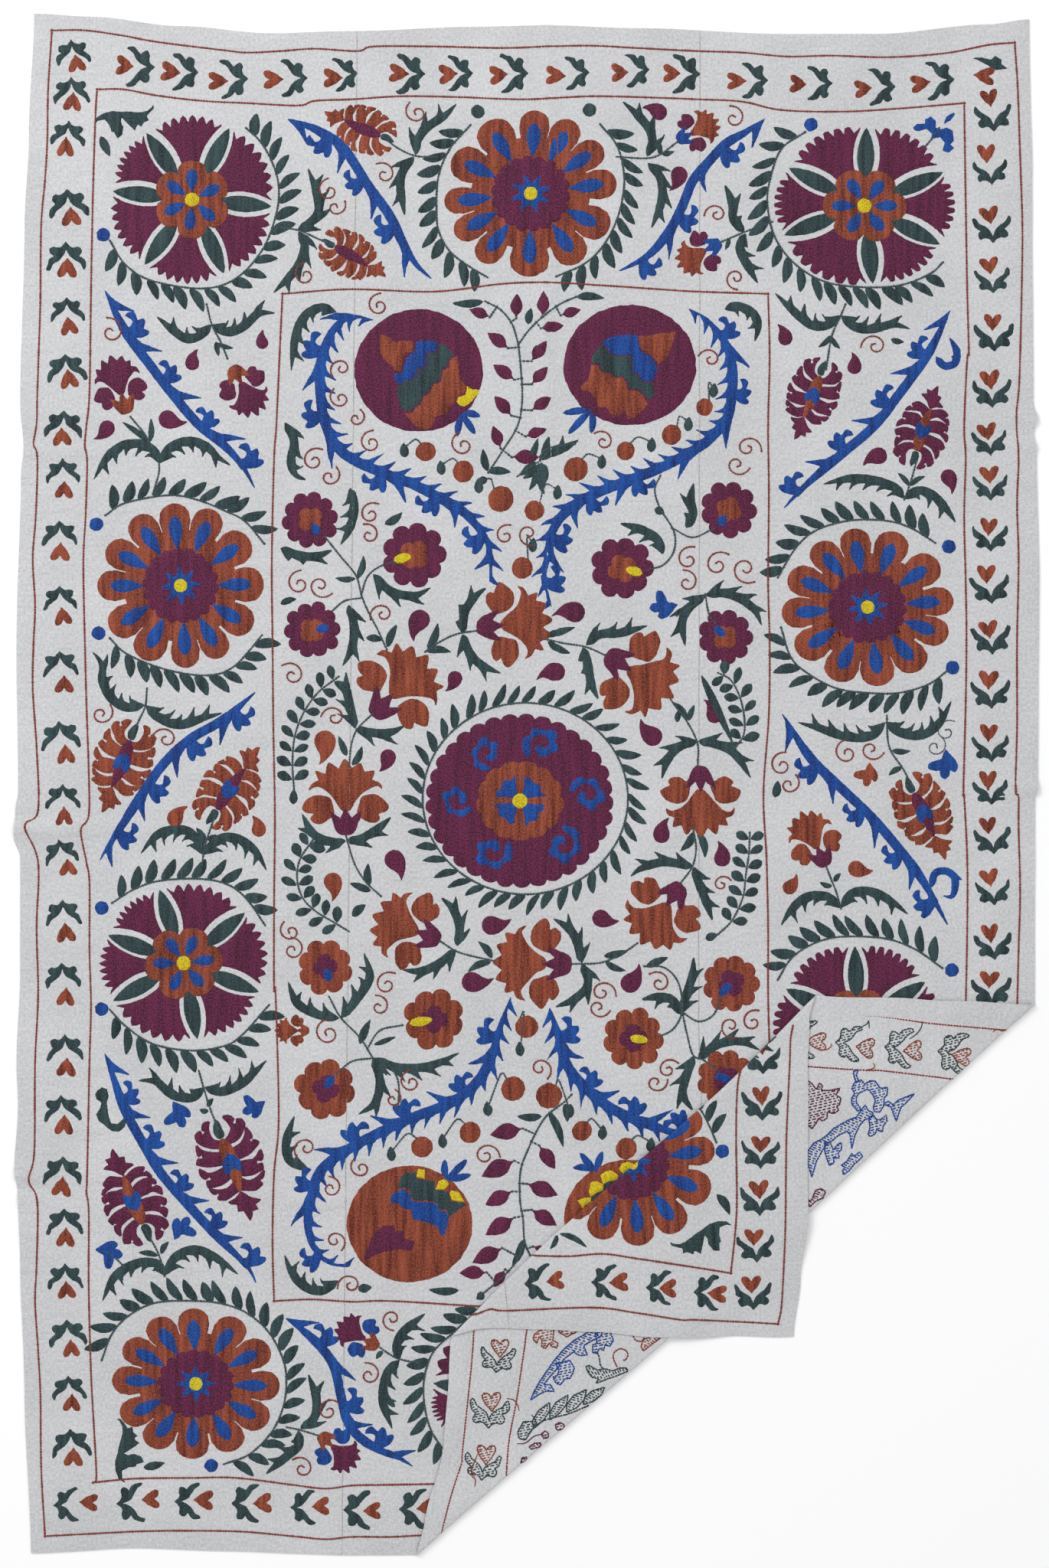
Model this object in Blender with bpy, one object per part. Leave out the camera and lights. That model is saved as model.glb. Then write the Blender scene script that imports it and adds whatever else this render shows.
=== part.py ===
"""An embroidered cotton cover, laid flat with its lower right corner turned over and back again.

Metres, +Z up. The cover lies face up on the surface: +X is to the right and +Y towards its top edge.
It is sewn from three loom widths of cotton, and each of them is one closed sheet here.
A sheet is meshed flat, cut along the two folds, and then laid down by a function that bends it over them.
"""

import math
from collections import namedtuple

import bmesh
import bpy
from mathutils import Vector

# Driving sizes of the cover
HALF_WIDTH = 0.7063
HALF_LENGTH = 1.0618
THICKNESS = 0.0015
SEAM_GAP = 0.0003

# The mesh is about this coarse where nothing bends
COLUMN_SPACING = 0.075
ROW_SPACING = 0.085
NEAREST_ROW = 0.022

# The two folds of the corner: the radius of the bend, and how far the layers settle away from it
TURN_RADIUS = 0.0024
RETURN_RADIUS = 0.0020
TURN_SETTLED = 0.0034
RETURN_SETTLED = 0.0025
SETTLING = 0.040
BEND_STEPS = 6
DROP_START = 0.006
DROP_LENGTH = 0.065

# How far the folds wander from a straight line, and how wide the cloth follows them
TURN_BULGE = 0.0090
TURN_BULGE_REACH = 0.10
RETURN_WAVE = 0.0055
RETURN_WAVE_REACH = 0.06

EdgePoint = namedtuple("EdgePoint", "along inset")
CrossCrease = namedtuple("CrossCrease", "y x_start x_end height half_width")

# Each edge wanders inside the straight sides of the whole: how far along it, and how far in
LEFT_EDGE = [
    EdgePoint(-1.062, 0.024),
    EdgePoint(-0.840, 0.015),
    EdgePoint(-0.660, 0.009),
    EdgePoint(-0.568, 0.006),
    EdgePoint(-0.530, 0.001),
    EdgePoint(-0.444, 0.006),
    EdgePoint(-0.380, 0.004),
    EdgePoint(-0.260, 0.009),
    EdgePoint(-0.100, 0.009),
    EdgePoint(-0.074, 0.000),
    EdgePoint(-0.043, 0.002),
    EdgePoint(-0.011, 0.006),
    EdgePoint(0.195, 0.004),
    EdgePoint(0.432, 0.010),
    EdgePoint(0.458, 0.014),
    EdgePoint(0.525, 0.009),
    EdgePoint(0.770, 0.015),
    EdgePoint(0.895, 0.021),
    EdgePoint(1.062, 0.028),
]
RIGHT_EDGE = [
    EdgePoint(-1.074, 0.081),
    EdgePoint(-0.990, 0.070),
    EdgePoint(-0.900, 0.056),
    EdgePoint(-0.710, 0.044),
    EdgePoint(-0.640, 0.038),
    EdgePoint(-0.600, 0.027),
    EdgePoint(-0.460, 0.016),
    EdgePoint(-0.360, 0.009),
    EdgePoint(-0.300, 0.006),
    EdgePoint(-0.020, 0.006),
    EdgePoint(-0.008, 0.002),
    EdgePoint(0.290, 0.000),
    EdgePoint(0.460, 0.004),
    EdgePoint(0.482, 0.008),
    EdgePoint(0.505, 0.003),
    EdgePoint(0.525, 0.008),
    EdgePoint(0.830, 0.010),
    EdgePoint(1.060, 0.014),
]
TOP_EDGE = [
    EdgePoint(-0.680, 0.000),
    EdgePoint(-0.602, 0.004),
    EdgePoint(-0.477, 0.017),
    EdgePoint(-0.354, 0.027),
    EdgePoint(-0.240, 0.024),
    EdgePoint(-0.065, 0.018),
    EdgePoint(0.028, 0.016),
    EdgePoint(0.150, 0.020),
    EdgePoint(0.358, 0.028),
    EdgePoint(0.483, 0.028),
    EdgePoint(0.637, 0.015),
    EdgePoint(0.693, 0.008),
]
BOTTOM_EDGE = [
    EdgePoint(-0.683, 0.003),
    EdgePoint(-0.540, 0.010),
    EdgePoint(-0.416, 0.006),
    EdgePoint(-0.240, 0.000),
    EdgePoint(-0.150, 0.000),
    EdgePoint(-0.100, 0.005),
    EdgePoint(-0.004, 0.018),
    EdgePoint(0.072, 0.016),
    EdgePoint(0.147, 0.012),
    EdgePoint(0.200, 0.019),
    EdgePoint(0.287, 0.015),
    EdgePoint(0.348, 0.011),
    EdgePoint(0.440, 0.002),
    EdgePoint(0.520, -0.002),
    EdgePoint(0.620, -0.011),
]

# The two seams lean a little: where each crosses the bottom and the top of the cover
LEFT_SEAM = (-0.254, -0.233)
RIGHT_SEAM = (0.236, 0.239)

# Storage folds that cross the cover from side to side, as soft ridges, and one that runs down its middle
CROSS_CREASES = [
    CrossCrease(y=0.458, x_start=-0.706, x_end=-0.500, height=0.0035, half_width=0.016),
    CrossCrease(y=0.495, x_start=0.706, x_end=0.540, height=0.0045, half_width=0.024),
    CrossCrease(y=-0.062, x_start=-0.706, x_end=-0.440, height=0.0060, half_width=0.020),
    CrossCrease(y=-0.004, x_start=0.706, x_end=0.550, height=0.0045, half_width=0.014),
    CrossCrease(y=-0.545, x_start=-0.706, x_end=-0.540, height=0.0050, half_width=0.022),
    CrossCrease(y=-0.575, x_start=-0.300, x_end=-0.060, height=0.0025, half_width=0.014),
]
MIDDLE_CREASE_X = 0.028
MIDDLE_CREASE_LOW = 0.05
MIDDLE_CREASE_FADE = 0.30
MIDDLE_CREASE_HEIGHT = 0.0022
MIDDLE_CREASE_HALF_WIDTH = 0.012


class Fold:
    """A straight fold line, from one point of it to another, and the side that is turned over."""

    def __init__(self, start, end, turned_side):
        self.start = Vector(start)
        run = Vector(end) - self.start
        self.length = run.length
        self.along = run.normalized()
        self.across = Vector((-self.along.y, self.along.x))
        if self.across.dot(Vector(turned_side)) < 0:
            self.across.negate()

    def coordinates(self, point):
        """How far the point is along the line, and how far beyond it."""
        offset = point - self.start
        return offset.dot(self.along), offset.dot(self.across)

    def at(self, along, beyond):
        return self.start + self.along * along + self.across * beyond


# The turn lies on the flat cloth. The return lies on the turned layer, where that has come to rest
TURN = Fold((0.6979, -0.3010), (-0.1535, -1.0595), turned_side=(1, -1))
RETURN = Fold((0.3906, -0.3011), (-0.1002, -0.7605), turned_side=(-1, 1))


def smooth(value):
    """0 below 0, 1 above 1, and an even curve between them."""
    value = min(1.0, max(0.0, value))
    return value * value * (3 - 2 * value)


def along_edge(edge, position):
    """The inset of an edge at one position, read from its table."""
    if position <= edge[0].along:
        return edge[0].inset
    for low, high in zip(edge, edge[1:]):
        if position <= high.along:
            share = (position - low.along) / (high.along - low.along)
            return low.inset + (high.inset - low.inset) * smooth(share)
    return edge[-1].inset


def left_side(y):
    return -HALF_WIDTH + along_edge(LEFT_EDGE, y)


def right_side(y):
    return HALF_WIDTH - along_edge(RIGHT_EDGE, y)


def top_side(x):
    return HALF_LENGTH - along_edge(TOP_EDGE, x)


def bottom_side(x):
    return -HALF_LENGTH + along_edge(BOTTOM_EDGE, x)


def seam_line(seam, gap_side):
    """The x of a seam's one side as a function of y."""

    def line(y):
        share = (y + HALF_LENGTH) / (2 * HALF_LENGTH)
        return seam[0] + (seam[1] - seam[0]) * share + gap_side * SEAM_GAP / 2

    return line


def straight_line(x):
    return lambda y: x


def crease_rise(x, y):
    """How high the creases lift the flat cloth at a point."""
    rise = 0.0
    for crease in CROSS_CREASES:
        fade = 1 - smooth((x - crease.x_start) / (crease.x_end - crease.x_start))
        profile = 1 - smooth(abs(y - crease.y) / crease.half_width)
        rise = max(rise, crease.height * fade * profile)
    fade = smooth((y - MIDDLE_CREASE_LOW) / MIDDLE_CREASE_FADE)
    profile = 1 - smooth(abs(x - MIDDLE_CREASE_X) / MIDDLE_CREASE_HALF_WIDTH)
    return max(rise, MIDDLE_CREASE_HEIGHT * fade * profile)


def turned_height(beyond):
    """The height of the turned layer's middle, at a distance from the turn."""
    at_bend = 2 * TURN_RADIUS - TURN_SETTLED
    return THICKNESS / 2 + TURN_SETTLED + at_bend * (1 - smooth(abs(beyond) / SETTLING))


def wander(point):
    """Moves a laid point sideways, so that the folds aren't ruler straight."""
    along, beyond = TURN.coordinates(point)
    share = min(1.0, max(0.0, along / TURN.length))
    push = TURN_BULGE * math.sin(math.pi * share) ** 2
    moved = point + TURN.across * push * math.exp(-((beyond / TURN_BULGE_REACH) ** 2))
    along, beyond = RETURN.coordinates(point)
    share = min(1.0, max(0.0, along / RETURN.length))
    push = -RETURN_WAVE * math.sin(2 * math.pi * share)
    return moved + RETURN.across * push * math.exp(-((beyond / RETURN_WAVE_REACH) ** 2))


def lay(flat, lift):
    """Where a point of the flat cloth comes to lie. lift is its height above the cloth's middle, face side up."""
    along, beyond = TURN.coordinates(flat)
    if beyond <= 0:
        place = wander(flat)
        return Vector((place.x, place.y, THICKNESS / 2 + lift + crease_rise(flat.x, flat.y)))
    angle = beyond / TURN_RADIUS
    if angle < math.pi:
        radius = TURN_RADIUS - lift
        place = wander(TURN.at(along, radius * math.sin(angle)))
        height = THICKNESS / 2 + TURN_RADIUS - radius * math.cos(angle)
        return Vector((place.x, place.y, height))
    turned = TURN.at(along, math.pi * TURN_RADIUS - beyond)
    height = turned_height(TURN.coordinates(turned)[1])
    along, beyond = RETURN.coordinates(turned)
    if beyond <= 0:
        place = wander(turned)
        return Vector((place.x, place.y, height - lift))
    angle = beyond / RETURN_RADIUS
    if angle < math.pi:
        radius = RETURN_RADIUS + lift
        place = wander(RETURN.at(along, radius * math.sin(angle)))
        return Vector((place.x, place.y, height + RETURN_RADIUS - radius * math.cos(angle)))
    returned = RETURN.at(along, math.pi * RETURN_RADIUS - beyond)
    return lay_returned(returned, lift)


def lay_returned(returned, lift):
    """The corner itself, face up again: it rests on the turned layer, and past the turn it drops to the surface."""
    past_return = abs(RETURN.coordinates(returned)[1])
    past_turn = TURN.coordinates(returned)[1]
    at_bend = 2 * RETURN_RADIUS - RETURN_SETTLED
    above = RETURN_SETTLED + at_bend * (1 - smooth(past_return / SETTLING))
    high = turned_height(past_turn) + above
    low = THICKNESS / 2
    height = high + (low - high) * smooth((past_turn - DROP_START) / DROP_LENGTH)
    place = wander(returned)
    return Vector((place.x, place.y, height + lift))


def bend_lines():
    """Where the flat sheets are cut, as (point, normal): the start, the steps and the end of both bends."""
    lines = []
    for step in range(BEND_STEPS + 1):
        beyond = math.pi * TURN_RADIUS * step / BEND_STEPS
        lines.append((TURN.at(0, beyond), TURN.across))
    # The return's line on the flat cloth is its mirror image in the turn
    start = unfolded(RETURN.start)
    end = unfolded(RETURN.at(RETURN.length, 0))
    flat_return = Fold(start, end, turned_side=TURN.across)
    for step in range(BEND_STEPS + 1):
        beyond = math.pi * RETURN_RADIUS * step / BEND_STEPS
        lines.append((flat_return.at(0, beyond), flat_return.across))
    for settled in (SETTLING / 2, SETTLING):
        lines.append((TURN.at(0, math.pi * TURN_RADIUS + settled), TURN.across))
        lines.append((flat_return.at(0, math.pi * RETURN_RADIUS + settled), flat_return.across))
    for dropped in (DROP_START, DROP_START + DROP_LENGTH / 2, DROP_START + DROP_LENGTH):
        start = unfolded(unreturned(TURN.at(0, dropped)))
        end = unfolded(unreturned(TURN.at(TURN.length, dropped)))
        drop_line = Fold(start, end, turned_side=TURN.across)
        lines.append((drop_line.start, drop_line.across))
    return lines


def unfolded(turned):
    """The flat place of a point on the turned layer."""
    along, beyond = TURN.coordinates(turned)
    return TURN.at(along, math.pi * TURN_RADIUS - beyond)


def unreturned(returned):
    """The place on the turned layer, carried on flat past the return, of a point on the corner."""
    along, beyond = RETURN.coordinates(returned)
    return RETURN.at(along, math.pi * RETURN_RADIUS - beyond)


def row_heights():
    """The y of the mesh's straight rows: one on each crease's foot and crest, and even ones between."""
    rows = set()
    for crease in CROSS_CREASES:
        for step in (-1, -0.5, 0, 0.5, 1):
            rows.add(round(crease.y + step * crease.half_width, 5))
    count = round(2 * HALF_LENGTH / ROW_SPACING)
    for index in range(1, count):
        y = -HALF_LENGTH + 2 * HALF_LENGTH * index / count
        if min(abs(y - row) for row in rows) > NEAREST_ROW:
            rows.add(y)
    return sorted(row for row in rows if abs(row) < HALF_LENGTH - 2 * NEAREST_ROW)


def columns_between(rails):
    """The mesh's columns: the rails, each a function of y, and even columns between them."""
    columns = []
    for left, right in zip(rails, rails[1:]):
        count = max(1, round((right(0) - left(0)) / COLUMN_SPACING))
        for index in range(count):
            share = index / count
            columns.append(lambda y, a=left, b=right, s=share: a(y) + (b(y) - a(y)) * s)
    return columns + [rails[-1]]


def flat_mesh(rails):
    """A panel's flat mesh, with its own outline, cut along every line where it bends."""
    mesh = bmesh.new()
    rows = row_heights()
    grid = []
    for column in columns_between(rails):
        x_low = column(-HALF_LENGTH)
        x_high = column(HALF_LENGTH)
        points = [(x_low, bottom_side(x_low))]
        points += [(column(y), y) for y in rows]
        points.append((x_high, top_side(x_high)))
        grid.append([mesh.verts.new((x, y, 0)) for x, y in points])
    for left, right in zip(grid, grid[1:]):
        for index in range(len(left) - 1):
            mesh.faces.new((left[index], right[index], right[index + 1], left[index + 1]))
    for point, normal in bend_lines():
        everything = mesh.verts[:] + mesh.edges[:] + mesh.faces[:]
        bmesh.ops.bisect_plane(
            mesh,
            geom=everything,
            dist=1e-6,
            plane_co=(point.x, point.y, 0),
            plane_no=(normal.x, normal.y, 0),
        )
    bmesh.ops.triangulate(mesh, faces=mesh.faces[:])
    return mesh


def panel(name, rails, material):
    """One loom width of the cover, as a closed sheet laid over the folds."""
    flat = flat_mesh(rails)
    solid = bmesh.new()
    faces_up = {}
    faces_down = {}
    for vertex in flat.verts:
        place = vertex.co.to_2d()
        faces_up[vertex] = solid.verts.new(lay(place, THICKNESS / 2))
        faces_down[vertex] = solid.verts.new(lay(place, -THICKNESS / 2))
    for face in flat.faces:
        solid.faces.new([faces_up[v] for v in face.verts])
        solid.faces.new([faces_down[v] for v in reversed(face.verts)])
    for edge in flat.edges:
        if edge.is_boundary:
            loop = edge.link_loops[0]
            a, b = loop.vert, loop.link_loop_next.vert
            solid.faces.new((faces_up[b], faces_up[a], faces_down[a], faces_down[b]))
    mesh = bpy.data.meshes.new(name)
    solid.normal_update()
    solid.to_mesh(mesh)
    mesh.materials.append(material)
    mesh.shade_smooth()
    mesh.set_sharp_from_angle(angle=math.radians(40))
    made = bpy.data.objects.new(name, mesh)
    bpy.context.scene.collection.objects.link(made)
    return made


def cotton():
    """Undyed hand-woven cotton, off white and matt."""
    material = bpy.data.materials.new("undyed_cotton")
    material.use_nodes = True
    shader = material.node_tree.nodes["Principled BSDF"]
    shader.inputs["Base Color"].default_value = (0.72, 0.71, 0.69, 1)
    shader.inputs["Roughness"].default_value = 0.9
    shader.inputs["Metallic"].default_value = 0.0
    return material


def clear_scene():
    for old in list(bpy.data.objects):
        bpy.data.objects.remove(old)


def build():
    clear_scene()
    cloth = cotton()
    crease_rails = [
        straight_line(MIDDLE_CREASE_X - MIDDLE_CREASE_HALF_WIDTH),
        straight_line(MIDDLE_CREASE_X),
        straight_line(MIDDLE_CREASE_X + MIDDLE_CREASE_HALF_WIDTH),
    ]
    panel("left_panel", [left_side, seam_line(LEFT_SEAM, -1)], cloth)
    middle_rails = [seam_line(LEFT_SEAM, 1), *crease_rails, seam_line(RIGHT_SEAM, -1)]
    panel("middle_panel", middle_rails, cloth)
    panel("right_panel", [seam_line(RIGHT_SEAM, 1), right_side], cloth)


build()
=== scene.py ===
import math
import random
from collections import namedtuple

import bmesh
import bpy
import numpy as np
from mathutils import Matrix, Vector
from mathutils.geometry import delaunay_2d_cdt


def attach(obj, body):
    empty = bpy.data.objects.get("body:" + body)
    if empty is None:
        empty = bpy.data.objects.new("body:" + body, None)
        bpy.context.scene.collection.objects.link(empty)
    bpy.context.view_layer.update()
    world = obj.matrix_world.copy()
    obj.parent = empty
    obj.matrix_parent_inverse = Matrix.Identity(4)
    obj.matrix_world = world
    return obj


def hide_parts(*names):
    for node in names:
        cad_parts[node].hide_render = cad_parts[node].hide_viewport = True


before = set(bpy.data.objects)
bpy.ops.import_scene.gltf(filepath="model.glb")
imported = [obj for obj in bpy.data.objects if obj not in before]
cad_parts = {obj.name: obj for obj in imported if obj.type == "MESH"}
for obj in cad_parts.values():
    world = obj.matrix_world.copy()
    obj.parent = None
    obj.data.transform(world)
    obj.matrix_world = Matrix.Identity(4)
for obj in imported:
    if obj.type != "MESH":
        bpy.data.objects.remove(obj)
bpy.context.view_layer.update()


# The way the cover lies: flat and face up, with its lower right corner turned over on a slant
# and back again. Everything on the cover is worked out on the flat cloth, in metres, and lay()
# then puts it where it lies. lift is a height over the middle of the cloth, on its face side.
HALF_WIDTH = 0.7063
HALF_LENGTH = 1.0618
CLOTH = 0.0015
TURN_RADIUS = 0.0024
RETURN_RADIUS = 0.0020
TURN_SETTLED = 0.0034
RETURN_SETTLED = 0.0025
SETTLING = 0.040
BEND_STEPS = 6
DROP_START = 0.006
DROP_LENGTH = 0.065
TURN_BULGE = 0.0090
TURN_BULGE_REACH = 0.10
RETURN_WAVE = 0.0055
RETURN_WAVE_REACH = 0.06
RUMPLE = 0.0009

Crease = namedtuple("Crease", "y x_start x_end height half_width slant")
CREASES = [
    Crease(0.458, -0.706, -0.480, 0.0034, 0.015, 0.00),
    Crease(0.503, 0.706, 0.560, 0.0036, 0.014, 0.02),
    Crease(0.466, 0.706, 0.520, 0.0032, 0.013, 0.01),
    Crease(-0.062, -0.706, -0.430, 0.0058, 0.019, 0.00),
    Crease(-0.030, -0.706, -0.600, 0.0030, 0.014, 0.02),
    Crease(-0.006, 0.706, 0.540, 0.0045, 0.013, 0.01),
    Crease(-0.538, -0.706, -0.560, 0.0044, 0.016, 0.00),
    Crease(-0.572, -0.706, -0.600, 0.0034, 0.014, -0.04),
    Crease(-0.575, -0.330, -0.050, 0.0030, 0.013, 0.02),
    Crease(-0.452, -0.060, 0.330, 0.0016, 0.014, 0.03),
    Crease(0.455, -0.30, 0.10, 0.0012, 0.014, 0.02),
]
MIDDLE_CREASE_X = 0.028
MIDDLE_CREASE_LOW = 0.02
MIDDLE_CREASE_FADE = 0.40
MIDDLE_CREASE_HEIGHT = 0.0026
MIDDLE_CREASE_HALF_WIDTH = 0.011


class Fold:
    """A straight fold line and the side of it that is turned over."""

    def __init__(self, start, end, turned_side):
        self.start = np.array(start, float)
        run = np.array(end, float) - self.start
        self.length = float(np.hypot(*run))
        self.along = run / self.length
        self.across = np.array((-self.along[1], self.along[0]))
        if self.across @ np.array(turned_side, float) < 0:
            self.across = -self.across

    def coordinates(self, points):
        """How far each point is along the line, and how far beyond it."""
        offset = points - self.start
        return offset @ self.along, offset @ self.across

    def at(self, along, beyond):
        return self.start + np.multiply.outer(along, self.along) + np.multiply.outer(beyond, self.across)


TURN = Fold((0.6979, -0.3010), (-0.1535, -1.0595), (1, -1))
RETURN = Fold((0.3906, -0.3011), (-0.1002, -0.7605), (-1, 1))
TURN_BEND = math.pi * TURN_RADIUS
RETURN_BEND = math.pi * RETURN_RADIUS


def smooth(value):
    value = np.clip(value, 0.0, 1.0)
    return value * value * (3 - 2 * value)


def rumple(flat):
    """Broad, shallow unevenness of cloth that was folded away for a long time."""
    x, y = flat[:, 0], flat[:, 1]
    waves = np.sin(31 * x + 9 * y + 0.6) * np.sin(7 * x - 24 * y + 1.1)
    waves += 0.6 * np.sin(58 * x - 21 * y + 2.0) * np.sin(17 * x + 43 * y)
    waves += 0.35 * np.sin(12 * x + 95 * y + 0.3) * np.sin(70 * x + 10 * y + 1.7)
    edge = np.minimum(HALF_WIDTH - np.abs(x), HALF_LENGTH - np.abs(y))
    near_edge = 0.5 + 0.8 * (1 - smooth(edge / 0.11))
    return RUMPLE * (waves + 1.4) / 2.8 * near_edge


def crease_rise(flat):
    """How high the storage folds lift the flat cloth."""
    x, y = flat[:, 0], flat[:, 1]
    rise = np.zeros(len(flat))
    for crease in CREASES:
        line = crease.y + crease.slant * (x - crease.x_start)
        fade = 1 - smooth((x - crease.x_start) / (crease.x_end - crease.x_start))
        fade = np.where((x - crease.x_start) * (crease.x_end - crease.x_start) < -1e-4, 0, fade)
        rise = np.maximum(rise, crease.height * fade * (1 - smooth(np.abs(y - line) / crease.half_width)))
    line = MIDDLE_CREASE_X + 0.004 * np.sin(9 * y)
    fade = 0.35 + 0.65 * smooth((y - MIDDLE_CREASE_LOW) / MIDDLE_CREASE_FADE)
    ridge = 1 - smooth(np.abs(x - line) / MIDDLE_CREASE_HALF_WIDTH)
    return np.maximum(rise, MIDDLE_CREASE_HEIGHT * fade * ridge)


def turned_height(beyond):
    at_bend = 2 * TURN_RADIUS - TURN_SETTLED
    return CLOTH / 2 + TURN_SETTLED + at_bend * (1 - smooth(np.abs(beyond) / SETTLING))


def wander(points):
    """Moves laid points sideways, so that the folds aren't ruler straight."""
    along, beyond = TURN.coordinates(points)
    push = TURN_BULGE * np.sin(math.pi * np.clip(along / TURN.length, 0, 1)) ** 2
    push = push * np.exp(-((beyond / TURN_BULGE_REACH) ** 2))
    moved = points + push[:, None] * TURN.across
    along, beyond = RETURN.coordinates(points)
    push = -RETURN_WAVE * np.sin(2 * math.pi * np.clip(along / RETURN.length, 0, 1))
    push = push * np.exp(-((beyond / RETURN_WAVE_REACH) ** 2))
    return moved + push[:, None] * RETURN.across


def unwandered(points):
    found = points
    for _ in range(6):
        found = found - (wander(found) - points)
    return found


def unfolded(turned):
    along, beyond = TURN.coordinates(turned)
    return TURN.at(along, TURN_BEND - beyond)


def unreturned(returned):
    along, beyond = RETURN.coordinates(returned)
    return RETURN.at(along, RETURN_BEND - beyond)


def lay_over_return(turned, height, lift):
    """The turned layer, its bend back at the return, and the corner beyond it."""
    along, beyond = RETURN.coordinates(turned)
    angle = np.clip(beyond / RETURN_RADIUS, 0, math.pi)
    radius = RETURN_RADIUS + lift
    on_bend = RETURN.at(along, radius * np.sin(angle))
    returned = RETURN.at(along, RETURN_BEND - beyond)
    past_turn = TURN.coordinates(returned)[1]
    at_bend = 2 * RETURN_RADIUS - RETURN_SETTLED
    above = RETURN_SETTLED + at_bend * (1 - smooth((beyond - RETURN_BEND) / SETTLING))
    high = turned_height(past_turn) + above
    low = CLOTH / 2 + 0.25 * RUMPLE
    drop = smooth((past_turn - DROP_START) / DROP_LENGTH)
    corner_height = high + (low - high) * drop + lift
    bend_height = height + RETURN_RADIUS - radius * np.cos(angle)
    flat_part = beyond <= 0
    corner = beyond >= RETURN_BEND
    plane = np.where(flat_part[:, None], turned, np.where(corner[:, None], returned, on_bend))
    z = np.where(flat_part, height - lift, np.where(corner, corner_height, bend_height))
    return plane, z


def lay(flat, lift):
    """Where points of the flat cloth come to lie, as an array of x, y, z."""
    flat = np.asarray(flat, float).reshape(-1, 2)
    lift = np.broadcast_to(np.asarray(lift, float), (len(flat),))
    along, beyond = TURN.coordinates(flat)
    surface_z = CLOTH / 2 + lift + crease_rise(flat) + rumple(flat) * smooth(-beyond / 0.05)
    angle = np.clip(beyond / TURN_RADIUS, 0, math.pi)
    radius = TURN_RADIUS - lift
    on_bend = TURN.at(along, radius * np.sin(angle))
    bend_z = CLOTH / 2 + TURN_RADIUS - radius * np.cos(angle)
    turned = TURN.at(along, TURN_BEND - beyond)
    height = turned_height(TURN.coordinates(turned)[1])
    turned_plane, turned_z = lay_over_return(turned, height, lift)
    flat_part = beyond <= 0
    over = beyond >= TURN_BEND
    plane = np.where(flat_part[:, None], flat, np.where(over[:, None], turned_plane, on_bend))
    z = np.where(flat_part, surface_z, np.where(over, turned_z, bend_z))
    return np.column_stack((wander(plane), np.maximum(z, 0.0)))


def bend_lines():
    """The lines on the flat cloth where a mesh has to be cut to follow the two bends."""
    flat_ends = unfolded(RETURN.at(np.array((0, RETURN.length)), np.array((0, 0))))
    flat_return = Fold(flat_ends[0], flat_ends[1], TURN.across)
    lines = []
    for fold, radius in ((TURN, TURN_RADIUS), (flat_return, RETURN_RADIUS)):
        for step in range(BEND_STEPS + 1):
            lines.append((fold.at(0, math.pi * radius * step / BEND_STEPS), fold.across))
    return lines


BEND_LINES = bend_lines()


def cut_at_bends(mesh):
    """Cuts a flat mesh along the bend lines, so that its faces bend with the cloth."""
    for point, normal in BEND_LINES:
        offsets = {v: (v.co.x - point[0]) * normal[0] + (v.co.y - point[1]) * normal[1] for v in mesh.verts}
        crossed = [
            face
            for face in mesh.faces
            if min(offsets[v] for v in face.verts) < -1e-6 and max(offsets[v] for v in face.verts) > 1e-6
        ]
        if not crossed:
            continue
        edges = {edge for face in crossed for edge in face.edges}
        verts = {vert for face in crossed for vert in face.verts}
        bmesh.ops.bisect_plane(
            mesh,
            geom=[*verts, *edges, *crossed],
            dist=1e-6,
            plane_co=(point[0], point[1], 0),
            plane_no=(normal[0], normal[1], 0),
        )


def laid_object(name, mesh, extra_lift=0.0):
    """Lays a flat bmesh, whose z is its lift, and keeps its flat place in the UV map."""
    data = bpy.data.meshes.new(name)
    mesh.to_mesh(data)
    mesh.free()
    places = np.empty(len(data.vertices) * 3)
    data.vertices.foreach_get("co", places)
    places = places.reshape(-1, 3)
    corners = np.empty(len(data.loops), int)
    data.loops.foreach_get("vertex_index", corners)
    flat_map = data.uv_layers.new(name="flat")
    flat_map.data.foreach_set("uv", places[corners, :2].ravel())
    laid = lay(places[:, :2], places[:, 2] + extra_lift)
    data.vertices.foreach_set("co", laid.ravel())
    data.update()
    made = bpy.data.objects.new(name, data)
    bpy.context.scene.collection.objects.link(made)
    return made


# The three loom widths of the cover: narrow strips of undyed, hand-woven cotton, sewn edge to
# edge before the last of the embroidery was worked over the seams. The outer edges are turned
# to the back as a narrow hem, which shows where the corner is turned over.
EdgePoint = namedtuple("EdgePoint", "along inset")
LEFT_EDGE = [
    EdgePoint(-1.062, 0.024),
    EdgePoint(-0.840, 0.015),
    EdgePoint(-0.660, 0.009),
    EdgePoint(-0.568, 0.006),
    EdgePoint(-0.530, 0.001),
    EdgePoint(-0.444, 0.006),
    EdgePoint(-0.380, 0.004),
    EdgePoint(-0.260, 0.009),
    EdgePoint(-0.100, 0.009),
    EdgePoint(-0.074, 0.000),
    EdgePoint(-0.043, 0.002),
    EdgePoint(-0.011, 0.006),
    EdgePoint(0.195, 0.004),
    EdgePoint(0.432, 0.010),
    EdgePoint(0.458, 0.014),
    EdgePoint(0.525, 0.009),
    EdgePoint(0.770, 0.015),
    EdgePoint(0.895, 0.021),
    EdgePoint(1.062, 0.028),
]
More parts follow.
